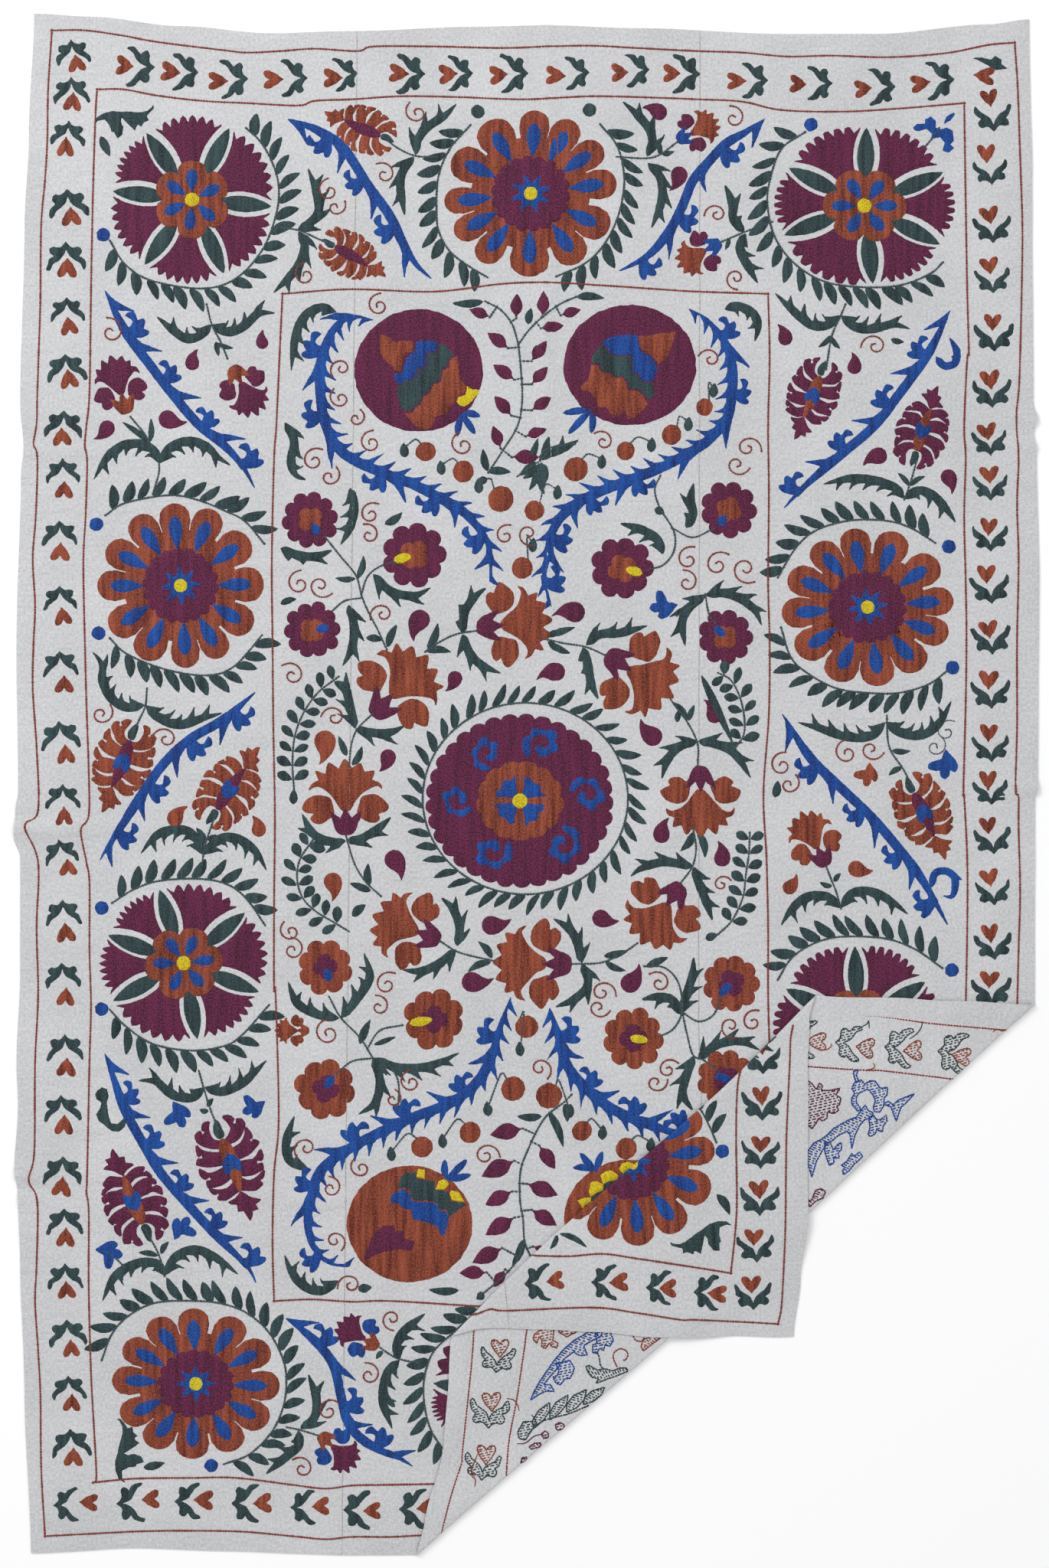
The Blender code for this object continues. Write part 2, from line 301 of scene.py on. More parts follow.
RIGHT_EDGE = [
    EdgePoint(-1.074, 0.081),
    EdgePoint(-0.990, 0.070),
    EdgePoint(-0.900, 0.056),
    EdgePoint(-0.710, 0.044),
    EdgePoint(-0.640, 0.038),
    EdgePoint(-0.600, 0.027),
    EdgePoint(-0.460, 0.016),
    EdgePoint(-0.360, 0.009),
    EdgePoint(-0.300, 0.006),
    EdgePoint(-0.020, 0.006),
    EdgePoint(-0.008, 0.002),
    EdgePoint(0.290, 0.000),
    EdgePoint(0.460, 0.004),
    EdgePoint(0.482, 0.008),
    EdgePoint(0.505, 0.003),
    EdgePoint(0.525, 0.008),
    EdgePoint(0.830, 0.010),
    EdgePoint(1.060, 0.014),
]
TOP_EDGE = [
    EdgePoint(-0.680, 0.000),
    EdgePoint(-0.602, 0.004),
    EdgePoint(-0.477, 0.017),
    EdgePoint(-0.354, 0.027),
    EdgePoint(-0.240, 0.024),
    EdgePoint(-0.065, 0.018),
    EdgePoint(0.028, 0.016),
    EdgePoint(0.150, 0.020),
    EdgePoint(0.358, 0.028),
    EdgePoint(0.483, 0.028),
    EdgePoint(0.637, 0.015),
    EdgePoint(0.693, 0.008),
]
BOTTOM_EDGE = [
    EdgePoint(-0.683, 0.003),
    EdgePoint(-0.540, 0.010),
    EdgePoint(-0.416, 0.006),
    EdgePoint(-0.240, 0.000),
    EdgePoint(-0.150, 0.000),
    EdgePoint(-0.100, 0.005),
    EdgePoint(-0.004, 0.018),
    EdgePoint(0.072, 0.016),
    EdgePoint(0.147, 0.012),
    EdgePoint(0.200, 0.019),
    EdgePoint(0.287, 0.015),
    EdgePoint(0.348, 0.011),
    EdgePoint(0.440, 0.002),
    EdgePoint(0.520, -0.002),
    EdgePoint(0.620, -0.011),
]
LEFT_SEAM = (-0.254, -0.233)
RIGHT_SEAM = (0.236, 0.239)
SEAM_GAP = 0.0003
HEM_WIDTH = 0.024
HEM_STEP = 0.0014
HEM_THICKNESS = 0.0006
CLOTH_GRID = 0.0088
SELVEDGE_ROLL = 0.0003


def inset(edge, position):
    """How far an edge wanders inwards, at one place or many along it."""
    along = [point.along for point in edge]
    insets = np.array([point.inset for point in edge])
    place = np.clip(np.interp(position, along, range(len(along))), 0, len(along) - 1)
    low = np.minimum(np.floor(place).astype(int), len(along) - 2)
    return insets[low] + (insets[low + 1] - insets[low]) * smooth(place - low)


def left_side(y):
    return -HALF_WIDTH + inset(LEFT_EDGE, y)


def right_side(y):
    return HALF_WIDTH - inset(RIGHT_EDGE, y)


def top_side(x):
    return HALF_LENGTH - inset(TOP_EDGE, x)


def bottom_side(x):
    return -HALF_LENGTH + inset(BOTTOM_EDGE, x)


def seam_x(seam, y):
    return seam[0] + (seam[1] - seam[0]) * (y + HALF_LENGTH) / (2 * HALF_LENGTH)


def near_edge(flat):
    """How far flat points are from the nearest outer edge of the cover."""
    x, y = flat[:, 0], flat[:, 1]
    sides = (x - left_side(y), right_side(y) - x, top_side(x) - y, y - bottom_side(x))
    return np.minimum.reduce(sides)


def stations(length, hem_at_start, hem_at_end):
    """Shares of a length at which the mesh has a line: even ones, and two at each hem's edge."""
    hem = [0.0, 0.003, 0.012, HEM_WIDTH, HEM_WIDTH + HEM_STEP]
    start = hem if hem_at_start else [0.0]
    end = [length - step for step in reversed(hem)] if hem_at_end else [length]
    low, high = start[-1], end[0]
    count = max(1, round((high - low) / CLOTH_GRID))
    between = [low + (high - low) * index / count for index in range(1, count)]
    return [place / length for place in start + between + end]


def woven_panel(name, left, right, hem_left, hem_right):
    """One loom width as a thin closed sheet, laid over its CAD node's folds."""
    width = float(right(0.0) - left(0.0))
    columns = stations(width, hem_left, hem_right)
    rows = stations(2 * HALF_LENGTH, True, True)
    share_x, share_y = np.meshgrid(columns, rows, indexing="ij")
    y = -HALF_LENGTH + 2 * HALF_LENGTH * share_y
    for _ in range(3):
        x = left(y) + (right(y) - left(y)) * share_x
        y = bottom_side(x) + (top_side(x) - bottom_side(x)) * share_y
    mesh = bmesh.new()
    grid = [[mesh.verts.new((x[i, j], y[i, j], 0)) for j in range(len(rows))] for i in range(len(columns))]
    for i in range(len(columns) - 1):
        for j in range(len(rows) - 1):
            mesh.faces.new((grid[i][j], grid[i + 1][j], grid[i + 1][j + 1], grid[i][j + 1]))
    cut_at_bends(mesh)
    verts = list(mesh.verts)
    flat = np.array([v.co[:2] for v in verts])
    hem = HEM_THICKNESS * (1 - smooth((near_edge(flat) - HEM_WIDTH) / HEM_STEP))
    roll = SELVEDGE_ROLL * (1 - smooth(near_edge(flat) / 0.003))
    back = {}
    for vert, thickness, drop in zip(verts, hem, roll):
        back[vert] = mesh.verts.new((vert.co.x, vert.co.y, -CLOTH / 2 - thickness))
        vert.co.z = CLOTH / 2 - drop
    faces = list(mesh.faces)
    rim = [edge.link_loops[0] for edge in mesh.edges if edge.is_boundary]
    for loop in rim:
        a, b = loop.vert, loop.link_loop_next.vert
        mesh.faces.new((b, a, back[a], back[b]))
    for face in faces:
        mesh.faces.new([back[v] for v in reversed(face.verts)])
    panel = laid_object(name, mesh)
    panel.data.shade_smooth()
    panel.data.set_sharp_from_angle(angle=math.radians(60))
    return panel


def colour(red, green, blue):
    """A dye's colour, given in the usual 0 to 255 steps, as the shader's linear values."""
    def linear(step):
        share = step / 255
        return share / 12.92 if share <= 0.04045 else ((share + 0.055) / 1.055) ** 2.4

    return (linear(red), linear(green), linear(blue), 1.0)


def shader_group(name, inputs, outputs):
    """An empty shader node group with float inputs and the given outputs."""
    group = bpy.data.node_groups.new(name, "ShaderNodeTree")
    for label, value in inputs.items():
        socket = group.interface.new_socket(label, in_out="INPUT", socket_type="NodeSocketFloat")
        socket.default_value = value
    for label in outputs:
        group.interface.new_socket(label, in_out="OUTPUT", socket_type="NodeSocketFloat")
    return group


def node(tree, kind, place=(0, 0), **settings):
    made = tree.nodes.new(kind)
    made.location = place
    for key, value in settings.items():
        setattr(made, key, value)
    return made


def stretched_noise(tree, source, across, along, detail=2.0, roughness=0.5):
    """Noise that is fine across one way of the cloth and long the other way."""
    stretch = node(tree, "ShaderNodeMapping")
    stretch.inputs["Scale"].default_value = (across, along, 1.0)
    noise = node(tree, "ShaderNodeTexNoise")
    noise.inputs["Scale"].default_value = 1.0
    noise.inputs["Detail"].default_value = detail
    noise.inputs["Roughness"].default_value = roughness
    tree.links.new(source, stretch.inputs["Vector"])
    tree.links.new(stretch.outputs["Vector"], noise.inputs["Vector"])
    return noise.outputs["Fac"]


def sum_of(tree, first, second, first_share, second_share):
    """A weighted sum of two values."""
    one = node(tree, "ShaderNodeMath", operation="MULTIPLY")
    one.inputs[1].default_value = first_share
    both = node(tree, "ShaderNodeMath", operation="MULTIPLY_ADD")
    both.inputs[1].default_value = second_share
    tree.links.new(first, one.inputs[0])
    tree.links.new(second, both.inputs[0])
    tree.links.new(one.outputs[0], both.inputs[2])
    return both.outputs[0]


def plain_weave_group():
    """Uneven hand-spun yarns crossing in plain weave: a height, and a shade of grey."""
    group = shader_group("plain weave", {}, ("Height", "Shade", "Wrinkle"))
    flat = node(group, "ShaderNodeUVMap", uv_map="flat")
    out = node(group, "NodeGroupOutput")
    warp = stretched_noise(group, flat.outputs["UV"], 1150, 55, 3.0, 0.6)
    weft = stretched_noise(group, flat.outputs["UV"], 50, 1250, 3.0, 0.6)
    yarns = sum_of(group, warp, weft, 0.5, 0.5)
    slubs = stretched_noise(group, flat.outputs["UV"], 420, 22, 2.0, 0.5)
    group.links.new(sum_of(group, yarns, slubs, 0.8, 0.35), out.inputs["Height"])
    cloud = stretched_noise(group, flat.outputs["UV"], 9, 7, 3.0, 0.55)
    fine = stretched_noise(group, flat.outputs["UV"], 300, 260, 2.0, 0.7)
    shade = sum_of(group, cloud, fine, 0.25, 0.75)
    group.links.new(shade, out.inputs["Shade"])
    broad = stretched_noise(group, flat.outputs["UV"], 14, 26, 4.0, 0.6)
    group.links.new(broad, out.inputs["Wrinkle"])
    return group


PLAIN_WEAVE = plain_weave_group()


def principled(name, roughness, sheen):
    """A new material and its shader, with the values that are the same all over."""
    material = bpy.data.materials.new(name)
    material.use_nodes = True
    shader = material.node_tree.nodes["Principled BSDF"]
    shader.inputs["Roughness"].default_value = roughness
    shader.inputs["Metallic"].default_value = 0.0
    shader.inputs["Specular IOR Level"].default_value = 0.25
    shader.inputs["Sheen Weight"].default_value = sheen
    shader.inputs["Sheen Roughness"].default_value = 0.5
    return material, shader


def shade_between(tree, shader, factor, darker, lighter, low=0.3, high=0.7):
    """Base colour that runs from one tone to another with a value."""
    ramp = node(tree, "ShaderNodeValToRGB")
    ramp.color_ramp.elements[0].position = low
    ramp.color_ramp.elements[0].color = darker
    ramp.color_ramp.elements[1].position = high
    ramp.color_ramp.elements[1].color = lighter
    tree.links.new(factor, ramp.inputs["Fac"])
    tree.links.new(ramp.outputs["Color"], shader.inputs["Base Color"])
    return ramp


def bump_chain(tree, shader, layers):
    """Feeds the shader's normal from several heights, each with its own depth in metres."""
    normal = None
    for height, depth in layers:
        bump = node(tree, "ShaderNodeBump")
        bump.inputs["Strength"].default_value = 1.0
        bump.inputs["Distance"].default_value = depth
        tree.links.new(height, bump.inputs["Height"])
        if normal is not None:
            tree.links.new(normal, bump.inputs["Normal"])
        normal = bump.outputs["Normal"]
    tree.links.new(normal, shader.inputs["Normal"])


def undyed_cotton():
    material, shader = principled("undyed cotton", 0.92, 0.12)
    tree = material.node_tree
    weave = node(tree, "ShaderNodeGroup", node_tree=PLAIN_WEAVE)
    shade_between(tree, shader, weave.outputs["Shade"], colour(172, 173, 175), colour(210, 210, 212))
    bump_chain(tree, shader, [(weave.outputs["Wrinkle"], 0.0055), (weave.outputs["Height"], 0.00035)])
    return material


COTTON = undyed_cotton()
PANELS = [
    ("left_loom_width", "left_panel", 0.455, True, False),
    ("middle_loom_width", "middle_panel", 0.484, False, False),
    ("right_loom_width", "right_panel", 0.455, False, True),
]
PANEL_SIDES = [
    (left_side, lambda y: seam_x(LEFT_SEAM, y) - SEAM_GAP / 2),
    (lambda y: seam_x(LEFT_SEAM, y) + SEAM_GAP / 2, lambda y: seam_x(RIGHT_SEAM, y) - SEAM_GAP / 2),
    (lambda y: seam_x(RIGHT_SEAM, y) + SEAM_GAP / 2, right_side),
]
for (name, cad_node, width, hem_left, hem_right), (left, right) in zip(PANELS, PANEL_SIDES):
    panel = woven_panel(name, left, right, hem_left, hem_right)
    panel.data.materials.append(COTTON)
    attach(panel, "root")
    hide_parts(cad_node)


# The embroidery threads, and how a filled motif is worked: one long thread laid to and fro and
# tied down by the same thread on its way back. The rows run along the loom width, so each
# filling shows streaks of uneven dye, and its rim is a little ragged.
EDGE_STEP = 0.0024
RIM = 0.0012
INNER_STEP = 0.0085
CROWN = 0.00055
SUNK = 0.00015
LEVEL_RISE = 0.00045
OVERLAP = 0.12
RAGGED = 0.00028
# One pixel of the photo is this long on the cloth, and this pixel lies over the origin
PIXEL = 0.001055
ORIGIN_X = 687.5
ORIGIN_Y = 1024.5
chance = random.Random(7)
worked = []


def seen(points):
    """Photo pixels to metres on the surface, seen from straight above."""
    points = np.asarray(points, float).reshape(-1, 2)
    return np.column_stack(((points[:, 0] - ORIGIN_X) * PIXEL, (ORIGIN_Y - points[:, 1]) * PIXEL))


def on_cover(points):
    """Metres on the surface, back to the flat cloth, where the cover lies flat."""
    return unwandered(points)


def on_band(points):
    """The same where the reverse shows, between the two folds."""
    return unfolded(unwandered(points))


def on_corner(points):
    """The same on the corner that is turned back again."""
    return unfolded(unreturned(unwandered(points)))


def even_loop(outline, step):
    """A closed outline with its points at about even steps, its corners kept."""
    closed = np.vstack((outline, outline[:1]))
    legs = np.hypot(*np.diff(closed, axis=0).T)
    points = []
    for start, end, leg in zip(closed, closed[1:], legs):
        if leg < 1e-6:
            continue
        count = max(1, round(leg / step))
        for index in range(count):
            points.append(start + (end - start) * index / count)
    return np.array(points)


def thinned(outline, step):
    """Drops points of a closed outline that are much nearer than a step to the last one."""
    kept = [outline[0]]
    for point in outline[1:]:
        if np.hypot(*(point - kept[-1])) > 0.45 * step:
            kept.append(point)
    return np.array(kept)


def distance_to(points, edge):
    """How far each point is from a closed outline."""
    a = edge
    run = np.roll(edge, -1, axis=0) - a
    length = np.maximum((run ** 2).sum(1), 1e-14)
    offset = points[:, None, :] - a[None, :, :]
    share = np.clip((offset * run).sum(2) / length, 0, 1)
    near = offset - share[:, :, None] * run
    return np.sqrt((near ** 2).sum(2)).min(1)


def inside(points, edge):
    """Which points are inside a closed outline."""
    x, y = points[:, 0][:, None], points[:, 1][:, None]
    ax, ay = edge[:, 0], edge[:, 1]
    bx, by = np.roll(ax, -1), np.roll(ay, -1)
    spans = (ay > y) != (by > y)
    with np.errstate(divide="ignore", invalid="ignore"):
        crossing = ax + (y - ay) * (bx - ax) / (by - ay)
    return (spans & (x < crossing)).sum(1) % 2 == 1


def filling(outline, level):
    """A filled motif on the flat cloth: points with their lift, and triangles."""
    edge = thinned(even_loop(outline, EDGE_STEP), EDGE_STEP)
    if len(edge) < 3:
        return None
    ahead = np.roll(edge, -1, axis=0) - np.roll(edge, 1, axis=0)
    size = np.maximum(np.hypot(*ahead.T), 1e-9)
    outward = np.column_stack((ahead[:, 1], -ahead[:, 0])) / size[:, None]
    ragged = np.array([chance.uniform(-RAGGED, RAGGED) for _ in edge])
    edge = edge + outward * ragged[:, None]
    candidates = [edge + outward * RIM, edge - outward * RIM]
    low, high = edge.min(0), edge.max(0)
    if (high - low).min() > 2 * INNER_STEP:
        gx, gy = np.meshgrid(
            np.arange(low[0] + INNER_STEP / 2, high[0], INNER_STEP),
            np.arange(low[1] + INNER_STEP / 2, high[1], INNER_STEP),
        )
        candidates.append(np.column_stack((gx.ravel(), gy.ravel())))
    inner = np.vstack(candidates)
    is_grid = np.arange(len(inner)) >= 2 * len(edge)
    far = distance_to(inner, edge)
    keep = inside(inner, edge) & (far > np.where(is_grid, 2.5 * RIM, 0.75 * RIM))
    inner = inner[keep]
    points = np.vstack((edge, inner)) if len(inner) else edge
    count = len(edge)
    loop = [(index, (index + 1) % count) for index in range(count)]
    made = delaunay_2d_cdt([Vector(p) for p in points], loop, [], 1, 1e-6)
    flat = np.array([v[:] for v in made[0]])
    if len(flat) == 0:
        return None
    depth = distance_to(flat, edge)
    base = CLOTH / 2 + level * LEVEL_RISE
    lift = base - SUNK + (CROWN + SUNK) * np.clip(depth / RIM, 0, 1) ** 0.6
    return np.column_stack((flat, lift)), made[2]


def couched_thread_group():
    """Long laid threads tied down at short steps: a height, streaks of dye, and a speckle."""
    group = shader_group("couched thread", {}, ("Height", "Streak", "Speckle"))
    flat = node(group, "ShaderNodeUVMap", uv_map="flat")
    out = node(group, "NodeGroupOutput")
    rows = stretched_noise(group, flat.outputs["UV"], 900, 130, 2.0, 0.6)
    ties = stretched_noise(group, flat.outputs["UV"], 420, 620, 2.0, 0.6)
    group.links.new(sum_of(group, rows, ties, 0.6, 0.5), out.inputs["Height"])
    streak = stretched_noise(group, flat.outputs["UV"], 130, 11, 3.0, 0.6)
    group.links.new(streak, out.inputs["Streak"])
    speckle = stretched_noise(group, flat.outputs["UV"], 560, 430, 1.0, 0.5)
    group.links.new(speckle, out.inputs["Speckle"])
    return group


COUCHED_THREAD = couched_thread_group()


def thread(name, dark, light, streak_share=0.5, roughness=0.62):
    """Dyed embroidery thread, worked close. A larger streak share shows more uneven dye."""
    material, shader = principled(name, roughness, 0.06)
    tree = material.node_tree
    couched = node(tree, "ShaderNodeGroup", node_tree=COUCHED_THREAD)
    streak, speckle = couched.outputs["Streak"], couched.outputs["Speckle"]
    tone = sum_of(tree, streak, speckle, streak_share, 1 - streak_share)
    shade_between(tree, shader, tone, dark, light, 0.38, 0.62)
    bump_chain(tree, shader, [(couched.outputs["Height"], 0.0006)])
    return material


THREADS = {
    "rust": thread("rust thread", colour(72, 18, 8), colour(154, 76, 50), 0.52),
    "plum": thread("plum thread", colour(42, 0, 22), colour(108, 32, 74), 0.30),
    "blue": thread("blue thread", colour(0, 24, 82), colour(18, 80, 162), 0.45),
    "green": thread("green thread", colour(12, 26, 29), colour(52, 76, 79), 0.5),
    "yellow": thread("yellow thread", colour(160, 138, 2), colour(218, 200, 20), 0.3),
}


def embroider(name, dye, shapes, place=on_cover):
    """Works filled motifs in one thread as one piece.

    Each shape is an outline in metres on the surface, or a pair of that and its level. place is the
    layer of the folded cloth that it is seen on.
    """
    points = []
    triangles = []
    start = 0
    for shape in shapes:
        outline, level = shape if isinstance(shape, tuple) else (shape, 0)
        flat = place(np.asarray(outline, float))
        worked.append((dye, flat, place))
        made = filling(flat, level + chance.uniform(0, OVERLAP))
        if made is None:
            continue
        points.append(made[0])
        triangles += [[start + index for index in face] for face in made[1]]
        start += len(made[0])
    data = bpy.data.meshes.new(name + "_flat")
    data.from_pydata(np.vstack(points).tolist(), [], triangles)
    mesh = bmesh.new()
    mesh.from_mesh(data)
    bpy.data.meshes.remove(data)
    turned_over = [face for face in mesh.faces if face.normal.z < 0]
    bmesh.ops.reverse_faces(mesh, faces=turned_over)
    cut_at_bends(mesh)
    piece = laid_object(name, mesh)
    piece.data.shade_smooth()
    piece.data.materials.append(THREADS[dye])
    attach(piece, "root")
    return piece


# The five ruled lines that divide the cover: single rows of chain stitch in russet thread. Each
# stitch is a loop of thread that holds the last one. They were worked by hand along a drawn line,
# so they wander.
STITCH_LENGTH = 0.0040
STITCH_WIDTH = 0.0030
STITCH_HEIGHT = 0.0009


def smooth_path(points, step=0.004, closed=False):
    """A smooth line through the points. A point written twice in a row is a sharp corner."""
    points = [np.array(point, float) for point in points]
    runs = [[]]
    for index, point in enumerate(points):
        if runs[-1] and np.allclose(point, runs[-1][-1]):
            runs.append([])
        runs[-1].append(point)
    if closed and len(runs) == 1:
        ring = runs[0]
        padded = [ring[-1], *ring, ring[0], ring[1]]
        return spline(padded, step)[:-1]
    if closed:
        if len(runs[-1]) == 1 and np.allclose(runs[-1][0], runs[0][0]):
            runs.pop()
        else:
            runs[0] = runs[-1] + runs[0] if len(runs) > 1 else runs[0]
            runs.pop()
    path = []
    for run in runs:
        if len(run) == 1:
            path.append(np.array(run))
            continue
        padded = [2 * run[0] - run[1], *run, 2 * run[-1] - run[-2]]
        path.append(spline(padded, step))
    return np.vstack(path)


def spline(padded, step):
    """A Catmull-Rom spline through all points but the first and the last."""
    found = []
    for a, b, c, d in zip(padded, padded[1:], padded[2:], padded[3:]):
        count = max(1, math.ceil(np.hypot(*(c - b)) / step))
        share = (np.arange(count) / count)[:, None]
        bend = 2 * a - 5 * b + 4 * c - d
        twist = 3 * b - 3 * c + d - a
        found.append(0.5 * (2 * b + (c - a) * share + bend * share ** 2 + twist * share ** 3))
    return np.vstack([*found, padded[-2][None, :]])


def chain_stitch_tree():
    """Geometry nodes that set a row of chain stitches along a flat line."""
    tree = bpy.data.node_groups.new("chain stitch", "GeometryNodeTree")
    tree.interface.new_socket("Geometry", in_out="INPUT", socket_type="NodeSocketGeometry")
    tree.interface.new_socket("Geometry", in_out="OUTPUT", socket_type="NodeSocketGeometry")
    sizes = {"Stitch Length": STITCH_LENGTH, "Stitch Width": STITCH_WIDTH, "Stitch Height": STITCH_HEIGHT}
    for label, value in sizes.items():
        socket = tree.interface.new_socket(label, in_out="INPUT", socket_type="NodeSocketFloat")
        socket.default_value = value
    tree.interface.new_socket("Thread", in_out="INPUT", socket_type="NodeSocketMaterial")
    given = node(tree, "NodeGroupInput")
    out = node(tree, "NodeGroupOutput")
    line = node(tree, "GeometryNodeMeshToCurve")
    even = node(tree, "GeometryNodeResampleCurve", mode="LENGTH")
    points = node(tree, "GeometryNodeCurveToPoints", mode="EVALUATED")
    # A stitch is a ring of thread with a dimple: a six-sided cone whose top is pressed in
    loop = node(tree, "GeometryNodeMeshCone", fill_type="TRIANGLE_FAN")
    loop.inputs["Vertices"].default_value = 6
    loop.inputs["Side Segments"].default_value = 1
    loop.inputs["Radius Top"].default_value = 0.58
    loop.inputs["Radius Bottom"].default_value = 1.0
    loop.inputs["Depth"].default_value = 1.0
    position = node(tree, "GeometryNodeInputPosition")
    split = node(tree, "ShaderNodeSeparateXYZ")
    flatten = node(tree, "ShaderNodeCombineXYZ")
    reach = node(tree, "ShaderNodeVectorMath", operation="LENGTH")
    is_middle = node(tree, "FunctionNodeCompare", operation="LESS_THAN")
    is_middle.inputs["B"].default_value = 0.1
    is_top = node(tree, "FunctionNodeCompare", operation="GREATER_THAN")
    is_top.inputs["B"].default_value = 0.4
    both = node(tree, "FunctionNodeBooleanMath", operation="AND")
    dimple = node(tree, "GeometryNodeSetPosition")
    dimple.inputs["Offset"].default_value = (0, 0, -0.55)
    delete = node(tree, "GeometryNodeDeleteGeometry", domain="FACE")
    normal = node(tree, "GeometryNodeInputNormal")
    split_normal = node(tree, "ShaderNodeSeparateXYZ")
    is_under = node(tree, "FunctionNodeCompare", operation="LESS_THAN")
    is_under.inputs["B"].default_value = -0.7
    half_length = node(tree, "ShaderNodeMath", operation="MULTIPLY")
    half_length.inputs[1].default_value = 0.66
    half_width = node(tree, "ShaderNodeMath", operation="MULTIPLY")
    half_width.inputs[1].default_value = 0.5
    size = node(tree, "ShaderNodeCombineXYZ")
    wobble = node(tree, "FunctionNodeRandomValue", data_type="FLOAT_VECTOR")
    wobble.inputs[0].default_value = (0.88, 0.82, 0.75)
    wobble.inputs[1].default_value = (1.12, 1.18, 1.2)
    wobble.inputs["Seed"].default_value = 11
    uneven = node(tree, "ShaderNodeVectorMath", operation="MULTIPLY")
    turn = node(tree, "FunctionNodeAlignRotationToVector", axis="X", pivot_axis="Z")
    place = node(tree, "GeometryNodeInstanceOnPoints")
    real = node(tree, "GeometryNodeRealizeInstances")
    dye = node(tree, "GeometryNodeSetMaterial")
    links = [
        (given.outputs["Geometry"], line.inputs["Mesh"]),
        (line.outputs["Curve"], even.inputs["Curve"]),
        (given.outputs["Stitch Length"], even.inputs["Length"]),
        (even.outputs["Curve"], points.inputs["Curve"]),
        (position.outputs["Position"], split.inputs[0]),
        (split.outputs["X"], flatten.inputs["X"]),
        (split.outputs["Y"], flatten.inputs["Y"]),
        (flatten.outputs[0], reach.inputs[0]),
        (reach.outputs["Value"], is_middle.inputs["A"]),
        (split.outputs["Z"], is_top.inputs["A"]),
        (is_middle.outputs[0], both.inputs[0]),
        (is_top.outputs[0], both.inputs[1]),
        (loop.outputs["Mesh"], delete.inputs["Geometry"]),
        (normal.outputs["Normal"], split_normal.inputs[0]),
        (split_normal.outputs["Z"], is_under.inputs["A"]),
        (is_under.outputs[0], delete.inputs["Selection"]),
        (delete.outputs["Geometry"], dimple.inputs["Geometry"]),
        (both.outputs[0], dimple.inputs["Selection"]),
        (given.outputs["Stitch Length"], half_length.inputs[0]),
        (given.outputs["Stitch Width"], half_width.inputs[0]),
        (half_length.outputs[0], size.inputs["X"]),
        (half_width.outputs[0], size.inputs["Y"]),
        (given.outputs["Stitch Height"], size.inputs["Z"]),
        (size.outputs[0], uneven.inputs[0]),
        (wobble.outputs[0], uneven.inputs[1]),
        (points.outputs["Tangent"], turn.inputs["Vector"]),
        (points.outputs["Points"], place.inputs["Points"]),
        (dimple.outputs["Geometry"], place.inputs["Instance"]),
        (turn.outputs["Rotation"], place.inputs["Rotation"]),
        (uneven.outputs[0], place.inputs["Scale"]),
        (place.outputs["Instances"], real.inputs["Geometry"]),
        (real.outputs["Geometry"], dye.inputs["Geometry"]),
        (given.outputs["Thread"], dye.inputs["Material"]),
        (dye.outputs["Geometry"], out.inputs["Geometry"]),
    ]
    for source, target in links:
        tree.links.new(source, target)
    return tree


CHAIN_STITCH = chain_stitch_tree()
lines_worked = []


def chain_stitched(name, material, paths, place=on_cover, width=STITCH_WIDTH, length=STITCH_LENGTH):
    """Rows of chain stitch along paths in metres on the surface, as one piece."""
    verts = []
    edges = []
    for path in paths:
        flat = place(np.asarray(path, float))
        lines_worked.append((material.name, flat, place))
        start = len(verts)
        verts += [(x, y, 0.0) for x, y in flat]
        edges += [(start + index, start + index + 1) for index in range(len(flat) - 1)]
    data = bpy.data.meshes.new(name + "_line")
    data.from_pydata(verts, edges, [])
    source = bpy.data.objects.new(name + "_line", data)
    bpy.context.scene.collection.objects.link(source)
    stitcher = source.modifiers.new("chain stitch", "NODES")
    stitcher.node_group = CHAIN_STITCH
    items = CHAIN_STITCH.interface.items_tree
    sockets = {item.name: item.identifier for item in items if item.in_out == "INPUT"}
    stitcher[sockets["Stitch Length"]] = length
    stitcher[sockets["Stitch Width"]] = width
    stitcher[sockets["Stitch Height"]] = STITCH_HEIGHT * width / STITCH_WIDTH
    stitcher[sockets["Thread"]] = material
    depsgraph = bpy.context.evaluated_depsgraph_get()
    stitched = bpy.data.meshes.new_from_object(source.evaluated_get(depsgraph))
    source.modifiers.clear()
    bpy.data.objects.remove(source)
    mesh = bmesh.new()
    mesh.from_mesh(stitched)
    bpy.data.meshes.remove(stitched)
    stitch_middle = STITCH_HEIGHT * width / STITCH_WIDTH / 2
    piece = laid_object(name, mesh, CLOTH / 2 + stitch_middle - SUNK)
    piece.data.materials.clear()
    piece.data.materials.append(material)
    piece.data.shade_smooth()
    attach(piece, "root")
    return piece


def line_thread(name, dark, light):
    """Thread in single rows of stitches, its tone uneven from stitch to stitch."""
    material, shader = principled(name, 0.6, 0.2)
    tree = material.node_tree
    couched = node(tree, "ShaderNodeGroup", node_tree=COUCHED_THREAD)
    shade_between(tree, shader, couched.outputs["Speckle"], dark, light, 0.35, 0.65)
    bump_chain(tree, shader, [(couched.outputs["Height"], 0.0003)])
    return material


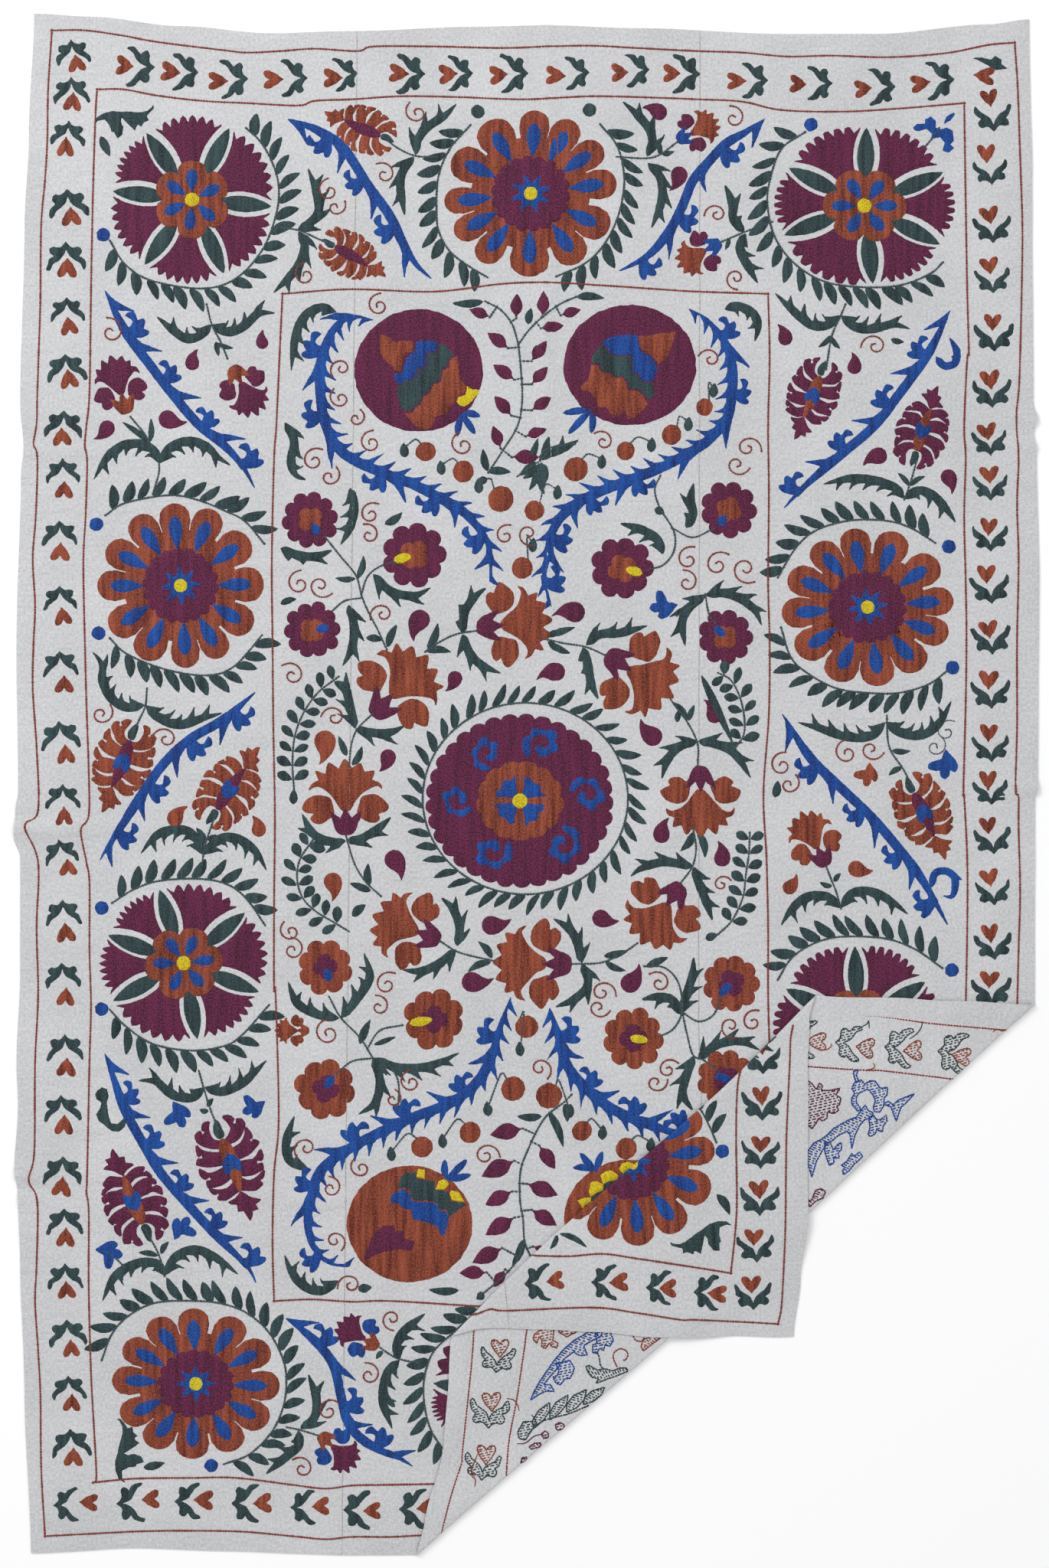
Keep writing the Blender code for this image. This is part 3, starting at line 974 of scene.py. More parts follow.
RUSSET_LINE = line_thread("russet line thread", colour(92, 32, 24), colour(144, 62, 48))
GREEN_LINE = line_thread("green line thread", colour(34, 50, 54), colour(66, 86, 90))
OUTER_LINE = [
    [
        (59, 2006), (54, 1917), (53, 1823), (50, 1764), (46, 1700), (48, 1651), (49, 1569), (38, 1542),
        (45, 1504), (46, 1387), (50, 1299), (48, 1211), (50, 1126), (33, 1079), (50, 1059), (48, 977),
        (43, 900), (44, 840), (46, 791), (43, 729), (47, 673), (49, 597), (44, 580), (48, 553), (49, 512),
        (52, 424), (53, 390), (54, 293), (59, 235), (62, 182), (63, 117), (68, 40),
    ],
    [
        (68, 40), (111, 40), (161, 47), (205, 55), (293, 66), (323, 69), (367, 67), (411, 64), (467, 67),
        (488, 61), (567, 61), (655, 63), (714, 61), (773, 60), (831, 63), (910, 67), (969, 69), (1027, 74),
        (1086, 73), (1159, 75), (1233, 70), (1291, 59), (1325, 56),
    ],
    [
        (1325, 56), (1329, 117), (1332, 205), (1335, 299), (1334, 381), (1331, 497), (1327, 547),
        (1330, 600), (1328, 659), (1330, 732), (1328, 840), (1328, 947), (1326, 1032), (1330, 1040),
        (1330, 1079), (1332, 1167), (1330, 1241), (1328, 1322),
    ],
    [
        (59, 2006), (117, 2003), (176, 2000), (235, 1999), (314, 2000), (381, 2006), (425, 2010),
        (460, 2007), (509, 2007), (550, 2005),
    ],
]
INNER_LINE = [
    [
        (122, 1936), (126, 1928), (123, 1867), (119, 1793), (116, 1680), (116, 1583), (113, 1557),
        (114, 1533), (117, 1387), (119, 1313), (117, 1241), (117, 1153), (113, 1126), (106, 1085),
        (116, 1065), (116, 1006), (113, 918), (111, 840), (109, 735), (112, 673), (114, 603), (111, 582),
        (113, 556), (117, 512), (119, 381), (120, 323), (122, 235), (125, 147), (127, 117),
    ],
    [
        (127, 117), (161, 117), (205, 125), (264, 132), (323, 135), (390, 138), (411, 132), (460, 130),
        (523, 126), (597, 127), (685, 130), (773, 126), (861, 128), (910, 130), (969, 133), (1021, 144),
        (1101, 146), (1174, 142), (1259, 135),
    ],
    [
        (1259, 135), (1261, 264), (1263, 381), (1265, 460), (1263, 468), (1259, 556), (1261, 600),
        (1259, 673), (1261, 761), (1262, 830), (1261, 918), (1258, 1032), (1259, 1041), (1263, 1123),
        (1263, 1211), (1261, 1315),
    ],
    [
        (122, 1936), (176, 1931), (249, 1930), (308, 1930), (381, 1939), (425, 1944), (460, 1940),
        (509, 1939), (566, 1938),
    ],
]
CENTRE_LINE = [
    [
        (358, 1699), (356, 1621), (358, 1533), (364, 1460), (360, 1299), (358, 1290), (358, 1182),
        (359, 1065), (357, 947), (356, 840), (355, 732), (358, 600), (361, 556), (365, 468), (369, 384),
    ],
    [
        (369, 384), (456, 378), (567, 381), (655, 371), (714, 369), (787, 373), (861, 378), (910, 381),
        (1003, 384),
    ],
    [
        (1003, 384), (1005, 468), (1003, 556), (1004, 644), (1003, 761), (1005, 840), (1004, 933),
        (997, 1035), (1001, 1123), (1003, 1211), (1003, 1299), (1005, 1372),
    ],
    [(358, 1699), (408, 1697), (460, 1700), (509, 1699), (626, 1706)],
]
CORNER_LINES = [
    [(1035, 1340), (1032, 1357), (1031, 1387), (1027, 1475), (1026, 1533), (1025, 1607), (1021, 1700),
        (1016, 1729)],
    [
        (600, 1722), (626, 1714), (641, 1709), (664, 1711), (773, 1707), (831, 1714), (890, 1723),
        (910, 1723), (1016, 1729),
    ],
    [(977, 1384), (966, 1401), (962, 1431), (961, 1489), (962, 1563), (960, 1607), (954, 1662)],
    [(954, 1662), (910, 1655), (831, 1643), (787, 1637), (743, 1640), (696, 1639)],
]
BAND_LINES = [
    [(1050, 1322), (1058, 1323), (1150, 1328), (1220, 1337), (1322, 1346)],
    [(1040, 1390), (1058, 1393), (1135, 1398), (1150, 1398), (1243, 1409), (1256, 1411)],
    [(622, 1716), (619, 1737), (616, 1780), (604, 1896), (603, 1910), (590, 1950), (576, 2003)],
    [(690, 1716), (688, 1737), (676, 1820), (665, 1880), (661, 1928)],
]


def paths_through(charts, step=0.004):
    return [smooth_path(seen(chart), step) for chart in charts]


chain_stitched(
    "ruled_lines", RUSSET_LINE, paths_through(OUTER_LINE + INNER_LINE + CENTRE_LINE)
)
chain_stitched(
    "ruled_lines_of_the_corner", RUSSET_LINE, paths_through(CORNER_LINES), on_corner
)
chain_stitched(
    "ruled_lines_of_the_band", RUSSET_LINE, paths_through(BAND_LINES), on_band
)


# The border between the two outer lines: small hearts in rust thread, each held by a pair of
# toothed green leaves. They were drawn by eye, so no two are quite alike.
Heart = namedtuple("Heart", "leaf_x leaf_y x y")
HEART_HALF = [
    (0, -12.3), (3.2, -7.5), (6.9, -4), (9.5, 0.5), (12, 5), (12.6, 8.5), (11, 11.8), (7.4, 12.3),
    (3.4, 10.6), (0, 6),
]
LEAF_PAIR_HALF = [
    (0, -3), (4.5, 2.2), (8.8, 5), (13.2, 5), (17.5, 4.2), (22.3, 7.2), (22.5, 13), (18.5, 17.4),
    (24, 21.5), (27.2, 27), (28, 35.5), (25, 38.3), (21.8, 34), (18.5, 29), (11, 24), (4.5, 18.5),
    (1.5, 13), (0, 9),
]
LEFT_BORDER = [
    Heart(93, 54, 100, 82), Heart(93, 103, 95, 132), Heart(90, 160, 86, 191), Heart(88, 249, 93, 282),
    Heart(86, 318, 88, 349), Heart(87, 390, 90, 425), Heart(85, 464, 90, 494), Heart(84, 538, 81, 570),
    Heart(82, 601, 84, 639), Heart(78, 682, 79, 720), Heart(78, 767, 82, 804), Heart(78, 852, 84, 893),
    Heart(77, 944, 86, 984), Heart(82, 1026, 84, 1065), Heart(77, 1098, 89, 1132), Heart(82, 1177, 86, 1217),
    Heart(81, 1259, 86, 1301), Heart(85, 1353, 87, 1393), Heart(80, 1432, 84, 1468),
    Heart(82, 1512, 81, 1549),
    Heart(84, 1580, 86, 1615), Heart(85, 1652, 87, 1684), Heart(87, 1725, 93, 1760),
    Heart(89, 1798, 94, 1831),
    Heart(92, 1868, 96, 1902),
]
TOP_BORDER = [
    Heart(200, 88, 164, 86), Heart(258, 95, 224, 94), Heart(322, 103, 286, 106), Heart(400, 102, 358, 104),
    Heart(466, 96, 436, 102), Heart(553, 97, 522, 96), Heart(616, 96, 586, 97), Heart(688, 96, 652, 98),
    Heart(768, 95, 727, 99), Heart(847, 91, 810, 95), Heart(913, 97, 878, 96), Heart(1001, 105, 963, 106),
    Heart(1085, 109, 1043, 110), Heart(1168, 113, 1128, 116), Heart(1244, 104, 1203, 109),
]
RIGHT_BORDER = [
    Heart(1298, 170, 1292, 129), Heart(1295, 240, 1288, 202), Heart(1297, 316, 1292, 282),
    Heart(1297, 382, 1292, 348), Heart(1299, 458, 1296, 422), Heart(1296, 531, 1293, 497),
    Heart(1294, 594, 1289, 565), Heart(1294, 652, 1292, 621), Heart(1294, 719, 1291, 689),
    Heart(1295, 787, 1288, 751), Heart(1296, 853, 1291, 823), Heart(1295, 924, 1291, 889),
    Heart(1295, 994, 1291, 958), Heart(1295, 1050, 1290, 1020), Heart(1298, 1114, 1290, 1079),
    Heart(1299, 1181, 1292, 1147), Heart(1299, 1252, 1293, 1220), Heart(1296, 1313, 1292, 1280),
]
BOTTOM_BORDER = [
    Heart(72, 1966, 115, 1962), Heart(154, 1964, 196, 1958), Heart(230, 1961, 265, 1959),
    Heart(304, 1963, 342, 1963), Heart(381, 1969, 418, 1967), Heart(450, 1972, 485, 1973),
    Heart(523, 1971, 556, 1969),
]
CORNER_BORDER = [
    Heart(686, 1676, 724, 1672), Heart(774, 1674, 807, 1674), Heart(845, 1681, 871, 1682),
    Heart(907, 1687, 935, 1689), Heart(996, 1401, 994, 1366), Heart(995, 1461, 994, 1432),
    Heart(993, 1524, 993, 1495), Heart(992, 1585, 991, 1554), Heart(988, 1646, 984, 1616),
    Heart(984, 1709, 981, 1678),
]
BAND_BORDER = [
    Heart(1093, 1361, 1129, 1368), Heart(1157, 1367, 1191, 1372), Heart(1227, 1373, 1254, 1379),
    Heart(1031, 1356, 1065, 1360), Heart(648, 1790, 653, 1761), Heart(638, 1862, 642, 1831),
    Heart(629, 1930, 635, 1900),
]


def at(x, y):
    return seen([(x, y)])[0]


def set_down(local, x, y, angle=0.0, scale=1.0, flip=False):
    """An outline in its own millimetres, turned by an angle in degrees, at a pixel of the photo."""
    points = np.array(local, float) * 0.001 * scale
    if flip:
        points[:, 0] = -points[:, 0]
    turn = math.radians(angle)
    turned = points @ np.array([[math.cos(turn), math.sin(turn)], [-math.sin(turn), math.cos(turn)]])
    return turned + at(x, y)


def both_halves(half):
    """A closed outline from its right half, which starts and ends on the middle line."""
    return half + [(-x, y) for x, y in reversed(half[1:-1])]


def drawn(outline, corners=(), step=0.0015):
    """A smooth closed outline in millimetres through its points, sharp at the listed ones."""
    doubled = []
    for index, point in enumerate(outline):
        doubled.append(point)
        if index in corners:
            doubled.append(point)
    first_corner = min(corners) if corners else 0
    shift = doubled.index(outline[first_corner]) + (1 if corners else 0)
    ring = doubled[shift:] + doubled[:shift]
    if not corners:
        return smooth_path(ring, step * 1000, closed=True)
    return smooth_path(ring + [ring[0]] if ring[0] != ring[-1] else ring, step * 1000)


def heart_outline(size):
    width, height = size
    half = [(x * width, y * height) for x, y in HEART_HALF]
    return drawn(both_halves(half), corners=(0, len(half) - 1))


def leaf_pair_outline(wobble):
    half = [(x * wobble.uniform(0.95, 1.05), y + wobble.uniform(-0.8, 0.8)) for x, y in LEAF_PAIR_HALF]
    other = [(-x * wobble.uniform(0.95, 1.05), y + wobble.uniform(-0.8, 0.8)) for x, y in LEAF_PAIR_HALF]
    ring = half + other[-2:0:-1]
    tips = (0, 7, 11, len(half) - 1, len(ring) - 11, len(ring) - 7)
    return drawn(ring, corners=tips)


def border(name, units, place):
    hearts = []
    leaves = []
    for unit in units:
        rise = at(unit.x, unit.y) - at(unit.leaf_x, unit.leaf_y)
        facing = math.degrees(math.atan2(rise[1], rise[0])) - 90
        straight = 90 * round(facing / 90)
        angle = straight + 0.5 * (facing - straight)
        size = chance.uniform(0.94, 1.12), chance.uniform(0.98, 1.18)
        hearts.append(set_down(heart_outline(size), unit.x, unit.y, angle + chance.uniform(-7, 7)))
        scale = chance.uniform(0.84, 1.0)
        leaves.append(set_down(leaf_pair_outline(chance), unit.leaf_x, unit.leaf_y, angle, scale))
    embroider(name + "_hearts", "rust", hearts, place)
    embroider(name + "_leaves", "green", leaves, place)


border("border", LEFT_BORDER + TOP_BORDER + RIGHT_BORDER + BOTTOM_BORDER, on_cover)
CORNER_LEAF = [
    (1268, 76), (1281, 75), (1294, 78), (1299, 73), (1308, 78), (1308, 84), (1317, 90), (1299, 92),
    (1290, 86), (1279, 80),
]
CORNER_HEART = (1284, 99, -95)
embroider("corner_leaf", "green", [(seen(CORNER_LEAF), 0.1)])
embroider("corner_heart", "rust", [set_down(heart_outline((1.0, 1.25)), *CORNER_HEART)])
border("corner_border", CORNER_BORDER, on_corner)
border("band_border", BAND_BORDER, on_band)


# The large purple rosettes at the corners and along the sides: six fans with toothed rims round a
# rust flower with blue drops and a yellow eye, and a green petal in each gap between the fans.
Rosette = namedtuple("Rosette", "x y radius_x radius_y petals drops")
FAN_TEETH = 6
FAN_TOOTH = 0.088
FAN_HORN = 9.5
POINTED_TOOTH = 0.034
ROUND_TOOTH = 0.012
YELLOW_EYE = 10.3
PURPLE_ROSETTES = [
    Rosette(251, 261, 112, 114, (123, 63, -5, -67, -127, 173), (90, 25, -42, -95, -154, 146)),
    Rosette(1129, 269, 122, 110, (88, 27, -28, -84, -157, 150), (118, 57, 0, -57, -118, 180)),
    Rosette(240, 1258, 114, 108, (107, 43, -21, -80, -151, 157), (68, 8, -52, -112, -180, 122)),
    Rosette(1120, 1340, 114, 112, (92, 35, -25, -88, -150, 152), (62, 3, -57, -118, 180, 121)),
    Rosette(671, 1820, 114, 114, (90, 30, -30, -90, -150, 172), (60, 0, -60, -120, 180, 120)),
]


def polar(radius, angle):
    return radius * math.cos(math.radians(angle)), radius * math.sin(math.radians(angle))


def stretched(points, rosette):
    """Points drawn for a radius of 1, as millimetres of this rosette."""
    return [(x * rosette.radius_x, y * rosette.radius_y) for x, y in points]


def pointed_petal(angle, start, end, width):
    """A petal that is pointed at both ends, in radii of its rosette."""
    ring = []
    for side in (1, -1):
        shares = [index / 12 for index in range(13)]
        for share in shares if side == 1 else reversed(shares[1:-1]):
            reach = start + (end - start) * share
            half = width / 2 * math.sin(math.pi * share ** 0.9) ** 0.75
            x, y = polar(reach, angle)
            turn = math.radians(angle)
            ring.append((x - side * half * math.sin(turn), y + side * half * math.cos(turn)))
    return ring


def drop_petal(angle, start, end, width):
    """A drop whose point is towards the middle of its rosette."""
    ring = []
    for side in (1, -1):
        shares = [index / 12 for index in range(13)]
        for share in shares if side == 1 else reversed(shares[1:-1]):
            reach = start + (end - start) * share
            half = width / 2 * math.sin(math.pi * share ** 1.5) ** 0.62
            x, y = polar(reach, angle)
            turn = math.radians(angle)
            ring.append((x - side * half * math.sin(turn), y + side * half * math.cos(turn)))
    return ring


def lobed(lobes, depth, phase=0.0, sharpness=0.6, uneven=0.0, count=9):
    """A round outline of radius 1 with lobes and sharp valleys between them."""
    ring = []
    sizes = [1 - chance.uniform(0, uneven) for _ in range(lobes)]
    for lobe in range(lobes):
        for step in range(count):
            share = step / count
            reach = 1 - depth + depth * sizes[lobe] * math.sin(math.pi * share) ** sharpness
            ring.append(polar(reach, phase + 360 * (lobe + share) / lobes))
    return ring


def fan(start, end, point):
    """A fan of purple between two petals: its sides leave a gap, and its rim is toothed."""
    span = (end - start) % 360
    ring = []
    for step in range(9):
        reach = 0.40 + 0.55 * step / 8
        petal = 0.098 * math.sin(math.pi * min(1, max(0, (reach - 0.28) / 0.72))) ** 0.75
        ring.append(polar(reach, start + math.degrees((petal + 0.052) / reach)))
    low = start + FAN_HORN
    high = start + span - FAN_HORN
    ring.append(polar(1.0, start + 0.42 * FAN_HORN))
    for tooth in range(FAN_TEETH):
        left = low + (high - low) * tooth / FAN_TEETH
        right = low + (high - low) * (tooth + 1) / FAN_TEETH
        peak = 1.0 + 0.03 * math.sin(math.pi * (tooth + 0.5) / FAN_TEETH)
        ring.append(polar(peak - FAN_TOOTH, left))
        ring.append(polar(peak - point, left + (right - left) * 0.24))
        ring.append(polar(peak, left + (right - left) * chance.uniform(0.44, 0.58)))
        ring.append(polar(peak - point, left + (right - left) * 0.80))
    ring.append(polar(1.0 - FAN_TOOTH, high))
    ring.append(polar(1.0, start + span - 0.42 * FAN_HORN))
    for step in range(8, -1, -1):
        reach = 0.40 + 0.55 * step / 8
        petal = 0.098 * math.sin(math.pi * min(1, max(0, (reach - 0.28) / 0.72))) ** 0.75
        ring.append(polar(reach, start + span - math.degrees((petal + 0.052) / reach)))
    return ring


def disc(radius_x, radius_y, count=28, uneven=0.0):
    ring = []
    for step in range(count):
        reach = 1 - chance.uniform(0, uneven)
        x, y = polar(reach, 360 * step / count)
        ring.append((x * radius_x, y * radius_y))
    return ring


purple = []
green = []
rust = []
blue = []
yellow = []
for rosette in PURPLE_ROSETTES:
    petals = sorted(rosette.petals)
    for angle, following in zip(petals, petals[1:] + petals[:1]):
        tooth = POINTED_TOOTH if rosette.x < 1000 else ROUND_TOOTH
        purple.append(set_down(stretched(fan(angle, following, tooth), rosette), rosette.x, rosette.y))
        petal = pointed_petal(angle + chance.uniform(-2, 2), 0.30, 0.985, 0.20)
        green.append(set_down(stretched(petal, rosette), rosette.x, rosette.y))
    flower = lobed(6, 0.24, rosette.drops[0] + 30, 0.55)
    flower = stretched([(x * 0.48, y * 0.48) for x, y in flower], rosette)
    rust.append((set_down(flower, rosette.x, rosette.y), 0.6))
    for angle in rosette.drops:
        drop = drop_petal(angle, 0.08, 0.38, 0.15)
        blue.append((set_down(stretched(drop, rosette), rosette.x, rosette.y), 1.4))
    yellow.append((set_down(disc(YELLOW_EYE, YELLOW_EYE, 18, 0.08), rosette.x, rosette.y), 2.0))
embroider("purple_rosette_fans", "plum", purple)
embroider("purple_rosette_petals", "green", green)
embroider("purple_rosette_flowers", "rust", rust)
embroider("purple_rosette_drops", "blue", blue)
embroider("purple_rosette_eyes", "yellow", yellow)


# The large rust rosettes between them: twelve round petals, each with a blue drop, round a
# scalloped purple disc with a blue star and a yellow eye.
RUST_ROSETTES = [
    Rosette(693, 253, 120, 115, (87, 61, 35, 8, -26, -56, -91, -125, -150, -174, 154, 120), ()),
    Rosette(236, 765, 115, 114, (95, 67, 35, 1, -31, -60, -86, -117, -147, -180, 152, 123), ()),
    Rosette(1133, 793, 119, 110, (100, 70, 36, 5, -22, -52, -82, -112, -144, -175, 156, 127), ()),
    Rosette(256, 1807, 116, 104, (92, 60, 30, -2, -32, -62, -93, -123, -152, 177, 148, 120), ()),
]
PETALS_JOINED = 0.69
CORNER_ROSETTE = Rosette(825, 1518, 116, 115,
    (100, 68, 36, 10, -22, -55, -85, -115, -143, -172, 160, 130), ())


def star(points, outer, inner, phase):
    ring = []
    for index in range(points):
        ring.append(polar(outer, phase + 360 * index / points))
        ring.append(polar(inner, phase + 360 * (index + 0.5) / points))
    return ring


def round_petal(angle, half_angle):
    """One petal of a rust rosette, round at its end, in radii of the rosette."""
    ring = [polar(0.34, angle - half_angle), polar(0.60, angle - half_angle * 0.98)]
    for step in range(11):
        share = step / 10
        turn = -half_angle * 0.98 + 2 * half_angle * 0.98 * share
        reach = 0.80 + 0.20 * math.sin(math.pi * share) ** 0.5
        ring.append(polar(reach, angle + turn))
    ring += [polar(0.60, angle + half_angle * 0.98), polar(0.34, angle + half_angle)]
    return ring


def rust_rosettes(name, rosettes, place):
    petals = []
    drops = []
    discs = []
    stars = []
    eyes = []
    for rosette in rosettes:
        joined = [(x * PETALS_JOINED, y * PETALS_JOINED) for x, y in disc(1, 1, 48, 0.02)]
        petals.append(set_down(stretched(joined, rosette), rosette.x, rosette.y))
        angles = sorted(rosette.petals)
        for before, angle, after in zip(angles[-1:] + angles[:-1], angles, angles[1:] + angles[:1]):
            half = min((angle - before) % 360, (after - angle) % 360) / 2
            petals.append(set_down(stretched(round_petal(angle, half), rosette), rosette.x, rosette.y))
            drop = drop_petal(angle, 0.42, 0.855, 0.17)
            drops.append((set_down(stretched(drop, rosette), rosette.x, rosette.y), 0.9))
        middle = [(x * 0.47, y * 0.47) for x, y in lobed(18, 0.10, 5, 0.7, 0.3, 6)]
        discs.append((set_down(stretched(middle, rosette), rosette.x, rosette.y), 0.9))
        points = [(x, y) for x, y in star(8, 0.27, 0.135, chance.uniform(0, 45))]
        stars.append((set_down(stretched(points, rosette), rosette.x, rosette.y), 1.7))
        eyes.append((set_down(disc(YELLOW_EYE, YELLOW_EYE, 18, 0.08), rosette.x, rosette.y), 2.3))
    embroider(name + "_petals", "rust", petals, place)
    embroider(name + "_drops", "blue", drops, place)
    embroider(name + "_discs", "plum", discs, place)
    embroider(name + "_stars", "blue", stars, place)
    embroider(name + "_eyes", "yellow", eyes, place)


rust_rosettes("rust_rosette", RUST_ROSETTES, on_cover)
rust_rosettes("corner_rosette", [CORNER_ROSETTE], on_corner)


# Leaves, drops and thorned bands are drawn against a course: a smooth line through a few places
# of the photo. Ring leaves, single leaves and seed drops are all one blade, worked in one thread.
class Course:
    """A smooth line through pixels, with places beside it by distance and offset."""

    def __init__(self, *chart):
        self.path = smooth_path(seen(chart), 0.002)
        legs = np.hypot(*np.diff(self.path, axis=0).T)
        self.path = self.path[np.concatenate(([True], legs > 1e-6))]
        legs = np.hypot(*np.diff(self.path, axis=0).T)
        self.arc = np.concatenate(([0], np.cumsum(legs)))
        self.length = float(self.arc[-1])
        run = np.gradient(self.path, axis=0)
        self.unit = run / np.hypot(*run.T)[:, None]

    def place(self, along):
        x = np.interp(along, self.arc, self.path[:, 0])
        y = np.interp(along, self.arc, self.path[:, 1])
        return np.array((x, y))

    def heading(self, along):
        x = np.interp(along, self.arc, self.unit[:, 0])
        y = np.interp(along, self.arc, self.unit[:, 1])
        return np.array((x, y)) / math.hypot(x, y)

    def beside(self, along, out):
        """The point that far along the line and out to its left, in metres."""
        x, y = self.heading(along)
        return self.place(along) + out * np.array((-y, x))

    def drawn_beside(self, along, local, side=1, forward=1):
        """An outline in millimetres, x along the line and y away from it on one side."""
        x, y = self.heading(along)
        across = side * np.array((-y, x))
        ahead = forward * np.array((x, y))
        points = np.array(local, float) * 0.001
        return self.place(along) + points[:, :1] * ahead + points[:, 1:] * across


def blade_between(base, tip, width, bow=0.08, widest=0.42, fullness=0.8, count=11):
    """A leaf or drop from one point to another, in metres, bowed to its left by a share."""
    run = tip - base
    left = np.array((-run[1], run[0]))
    power = math.log(0.5) / math.log(widest)
    ring = []
    for side in (1, -1):
        for step in range(count) if side == 1 else range(count - 2, 0, -1):
            share = step / (count - 1)
            half = width / 2 * math.sin(math.pi * share ** power) ** fullness
            middle = base + run * share + left * bow * math.sin(math.pi * share)
            ring.append(middle + left / np.hypot(*left) * half * side)
    return np.array(ring)


def leaf(x, y, tip_x, tip_y, width=10.0, bow=0.08):
    """A pointed leaf between two pixels, its width in millimetres."""
    return blade_between(at(x, y), at(tip_x, tip_y), width * 0.001, bow)


Thorn = namedtuple("Thorn", "share side reach lean back")


def thorned(course, width, thorns, start_taper=0.18, end_taper=0.25):
    """A band in millimetres of width along a course, pointed at its ends, with thorns."""
    def half(along):
        share = along / course.length
        start = min(1.0, max(0.0, share) / start_taper) if start_taper else 1.0
        end = min(1.0, max(0.0, 1 - share) / end_taper) if end_taper else 1.0
        return 0.0005 * width * max(0.06, (start * end) ** 0.7)

    ring = []
    for side in (1, -1):
        line = [(along, along, half(along)) for along in np.arange(0, course.length, 0.003)]
        for thorn in thorns:
            if thorn.side != side:
                continue
            root = thorn.share * course.length
            reach, lean, back = thorn.reach * 0.001, thorn.lean * 0.001, thorn.back * 0.001
            line = [point for point in line if not root - back <= point[0] <= root + 0.001]
            line += [
                (root - back, max(0.0, root - back), half(root - back)),
                (root - 0.50 * back, root - 0.50 * back, half(root) + 0.14 * reach),
                (root - 0.18 * back, root - 0.18 * back + 0.1 * lean, half(root) + 0.42 * reach),
                (root + 0.0004, root + lean, half(root) + reach),
                (root + 0.0005, root + 0.42 * lean, half(root) + 0.42 * reach),
                (root + 0.0008, root + 0.0008, half(root)),
            ]
        edge = [course.beside(along, side * across) for order, along, across in sorted(line)]
        ring += edge if side == 1 else edge[::-1]
    return np.array(ring)


# Round each rosette a fine green line with slanted leaves on its outer side, starting at a small
# blue dot. Some rosettes have one such line, some have one over them and one under.
Ring = namedtuple("Ring", "dot_x dot_y dot chart side")
RINGS = [
    Ring(135, 307, "blue", [
        (144, 315), (164, 346), (199, 367), (264, 377), (308, 364), (343, 326), (361, 279), (364, 243),
        (355, 211), (340, 185), (322, 168),
    ], -1),
    Ring(1059, 163, "blue", [
        (1051, 173), (1021, 194), (1007, 229), (1002, 264), (1011, 308), (1036, 343), (1074, 367),
        (1121, 375), (1174, 373), (1214, 358), (1231, 343),
    ], -1),
    Ring(624, 146, "green", [
        (614, 164), (588, 194), (573, 229), (570, 270), (573, 302), (588, 329), (614, 349), (636, 362),
    ], -1),
    Ring(770, 144, "green", [
        (784, 163), (806, 191), (815, 229), (812, 264), (802, 296), (784, 326), (761, 346), (727, 361),
    ], 1),
    Ring(126, 685, "blue",
        [(138, 673), (164, 657), (220, 647), (258, 653), (293, 667), (320, 681), (345, 710)], 1),
    Ring(129, 827, "blue", [
        (144, 834), (164, 853), (205, 871), (249, 881), (282, 881), (305, 871), (323, 853), (342, 830),
    ], -1),
    Ring(1239, 714, "blue", [
        (1221, 709), (1192, 691), (1162, 681), (1121, 679), (1086, 685), (1057, 698), (1036, 720),
        (1016, 754),
    ], -1),
    Ring(1244, 872, "blue", [
        (1236, 877), (1212, 894), (1174, 905), (1133, 905), (1092, 899), (1057, 881), (1033, 859),
        (1020, 820),
    ], 1),
    Ring(133, 1186, "blue", [
        (147, 1179), (176, 1161), (211, 1150), (264, 1148), (299, 1156), (323, 1175), (346, 1208),
    ], 1),
    Ring(133, 1318, "blue", [
        (144, 1319), (164, 1340), (199, 1363), (249, 1372), (293, 1366), (317, 1351), (351, 1313),
    ], -1),
    Ring(1243, 1267, "blue", [
        (1230, 1264), (1197, 1241), (1162, 1227), (1121, 1223), (1086, 1225), (1057, 1235), (1033, 1252),
        (1016, 1279),
    ], -1),
    Ring(276, 1914, "blue", [
        (293, 1912), (326, 1899), (355, 1870), (370, 1837), (374, 1805), (370, 1776), (352, 1741),
        (326, 1717), (296, 1704), (258, 1699), (205, 1701), (170, 1717), (147, 1741), (133, 1776),
    ], -1),
    Ring(0, 0, "", [
        (632, 1702), (614, 1720), (590, 1742), (567, 1764), (556, 1790), (553, 1815), (556, 1845),
        (565, 1872), (583, 1898),
    ], -1),
]
CORNER_RING = Ring(943, 1503, "blue", [(935, 1491), (926, 1470), (914, 1448), (897, 1432)], -1)
RING_LEAF_STEP = 0.0205
RING_LEAF_LENGTH = 37.0
RING_LEAF_WIDTH = 14.5
RING_LEAF_LEAN = 0.85
RING_DOT = 10.2
GREEN_STEM_WIDTH = 0.0033


def ring_leaves(
    course, side, first=0.012, length=RING_LEAF_LENGTH, lean=RING_LEAF_LEAN, width=RING_LEAF_WIDTH
):
    leaves = []
    along = first
    while along < course.length - 0.014:
        heading = course.heading(along)
        out = side * np.array((-heading[1], heading[0]))
        turn = lean * chance.uniform(0.85, 1.15)
        reach = 0.001 * length * chance.uniform(0.86, 1.08)
        tip = course.place(along) + reach * (math.cos(turn) * heading + math.sin(turn) * out)
        broad = 0.001 * width * chance.uniform(0.85, 1.12)
        leaves.append(blade_between(course.place(along), tip, broad, -0.07 * side, 0.45, 0.68))
        along += RING_LEAF_STEP * chance.uniform(0.88, 1.1)
    return leaves


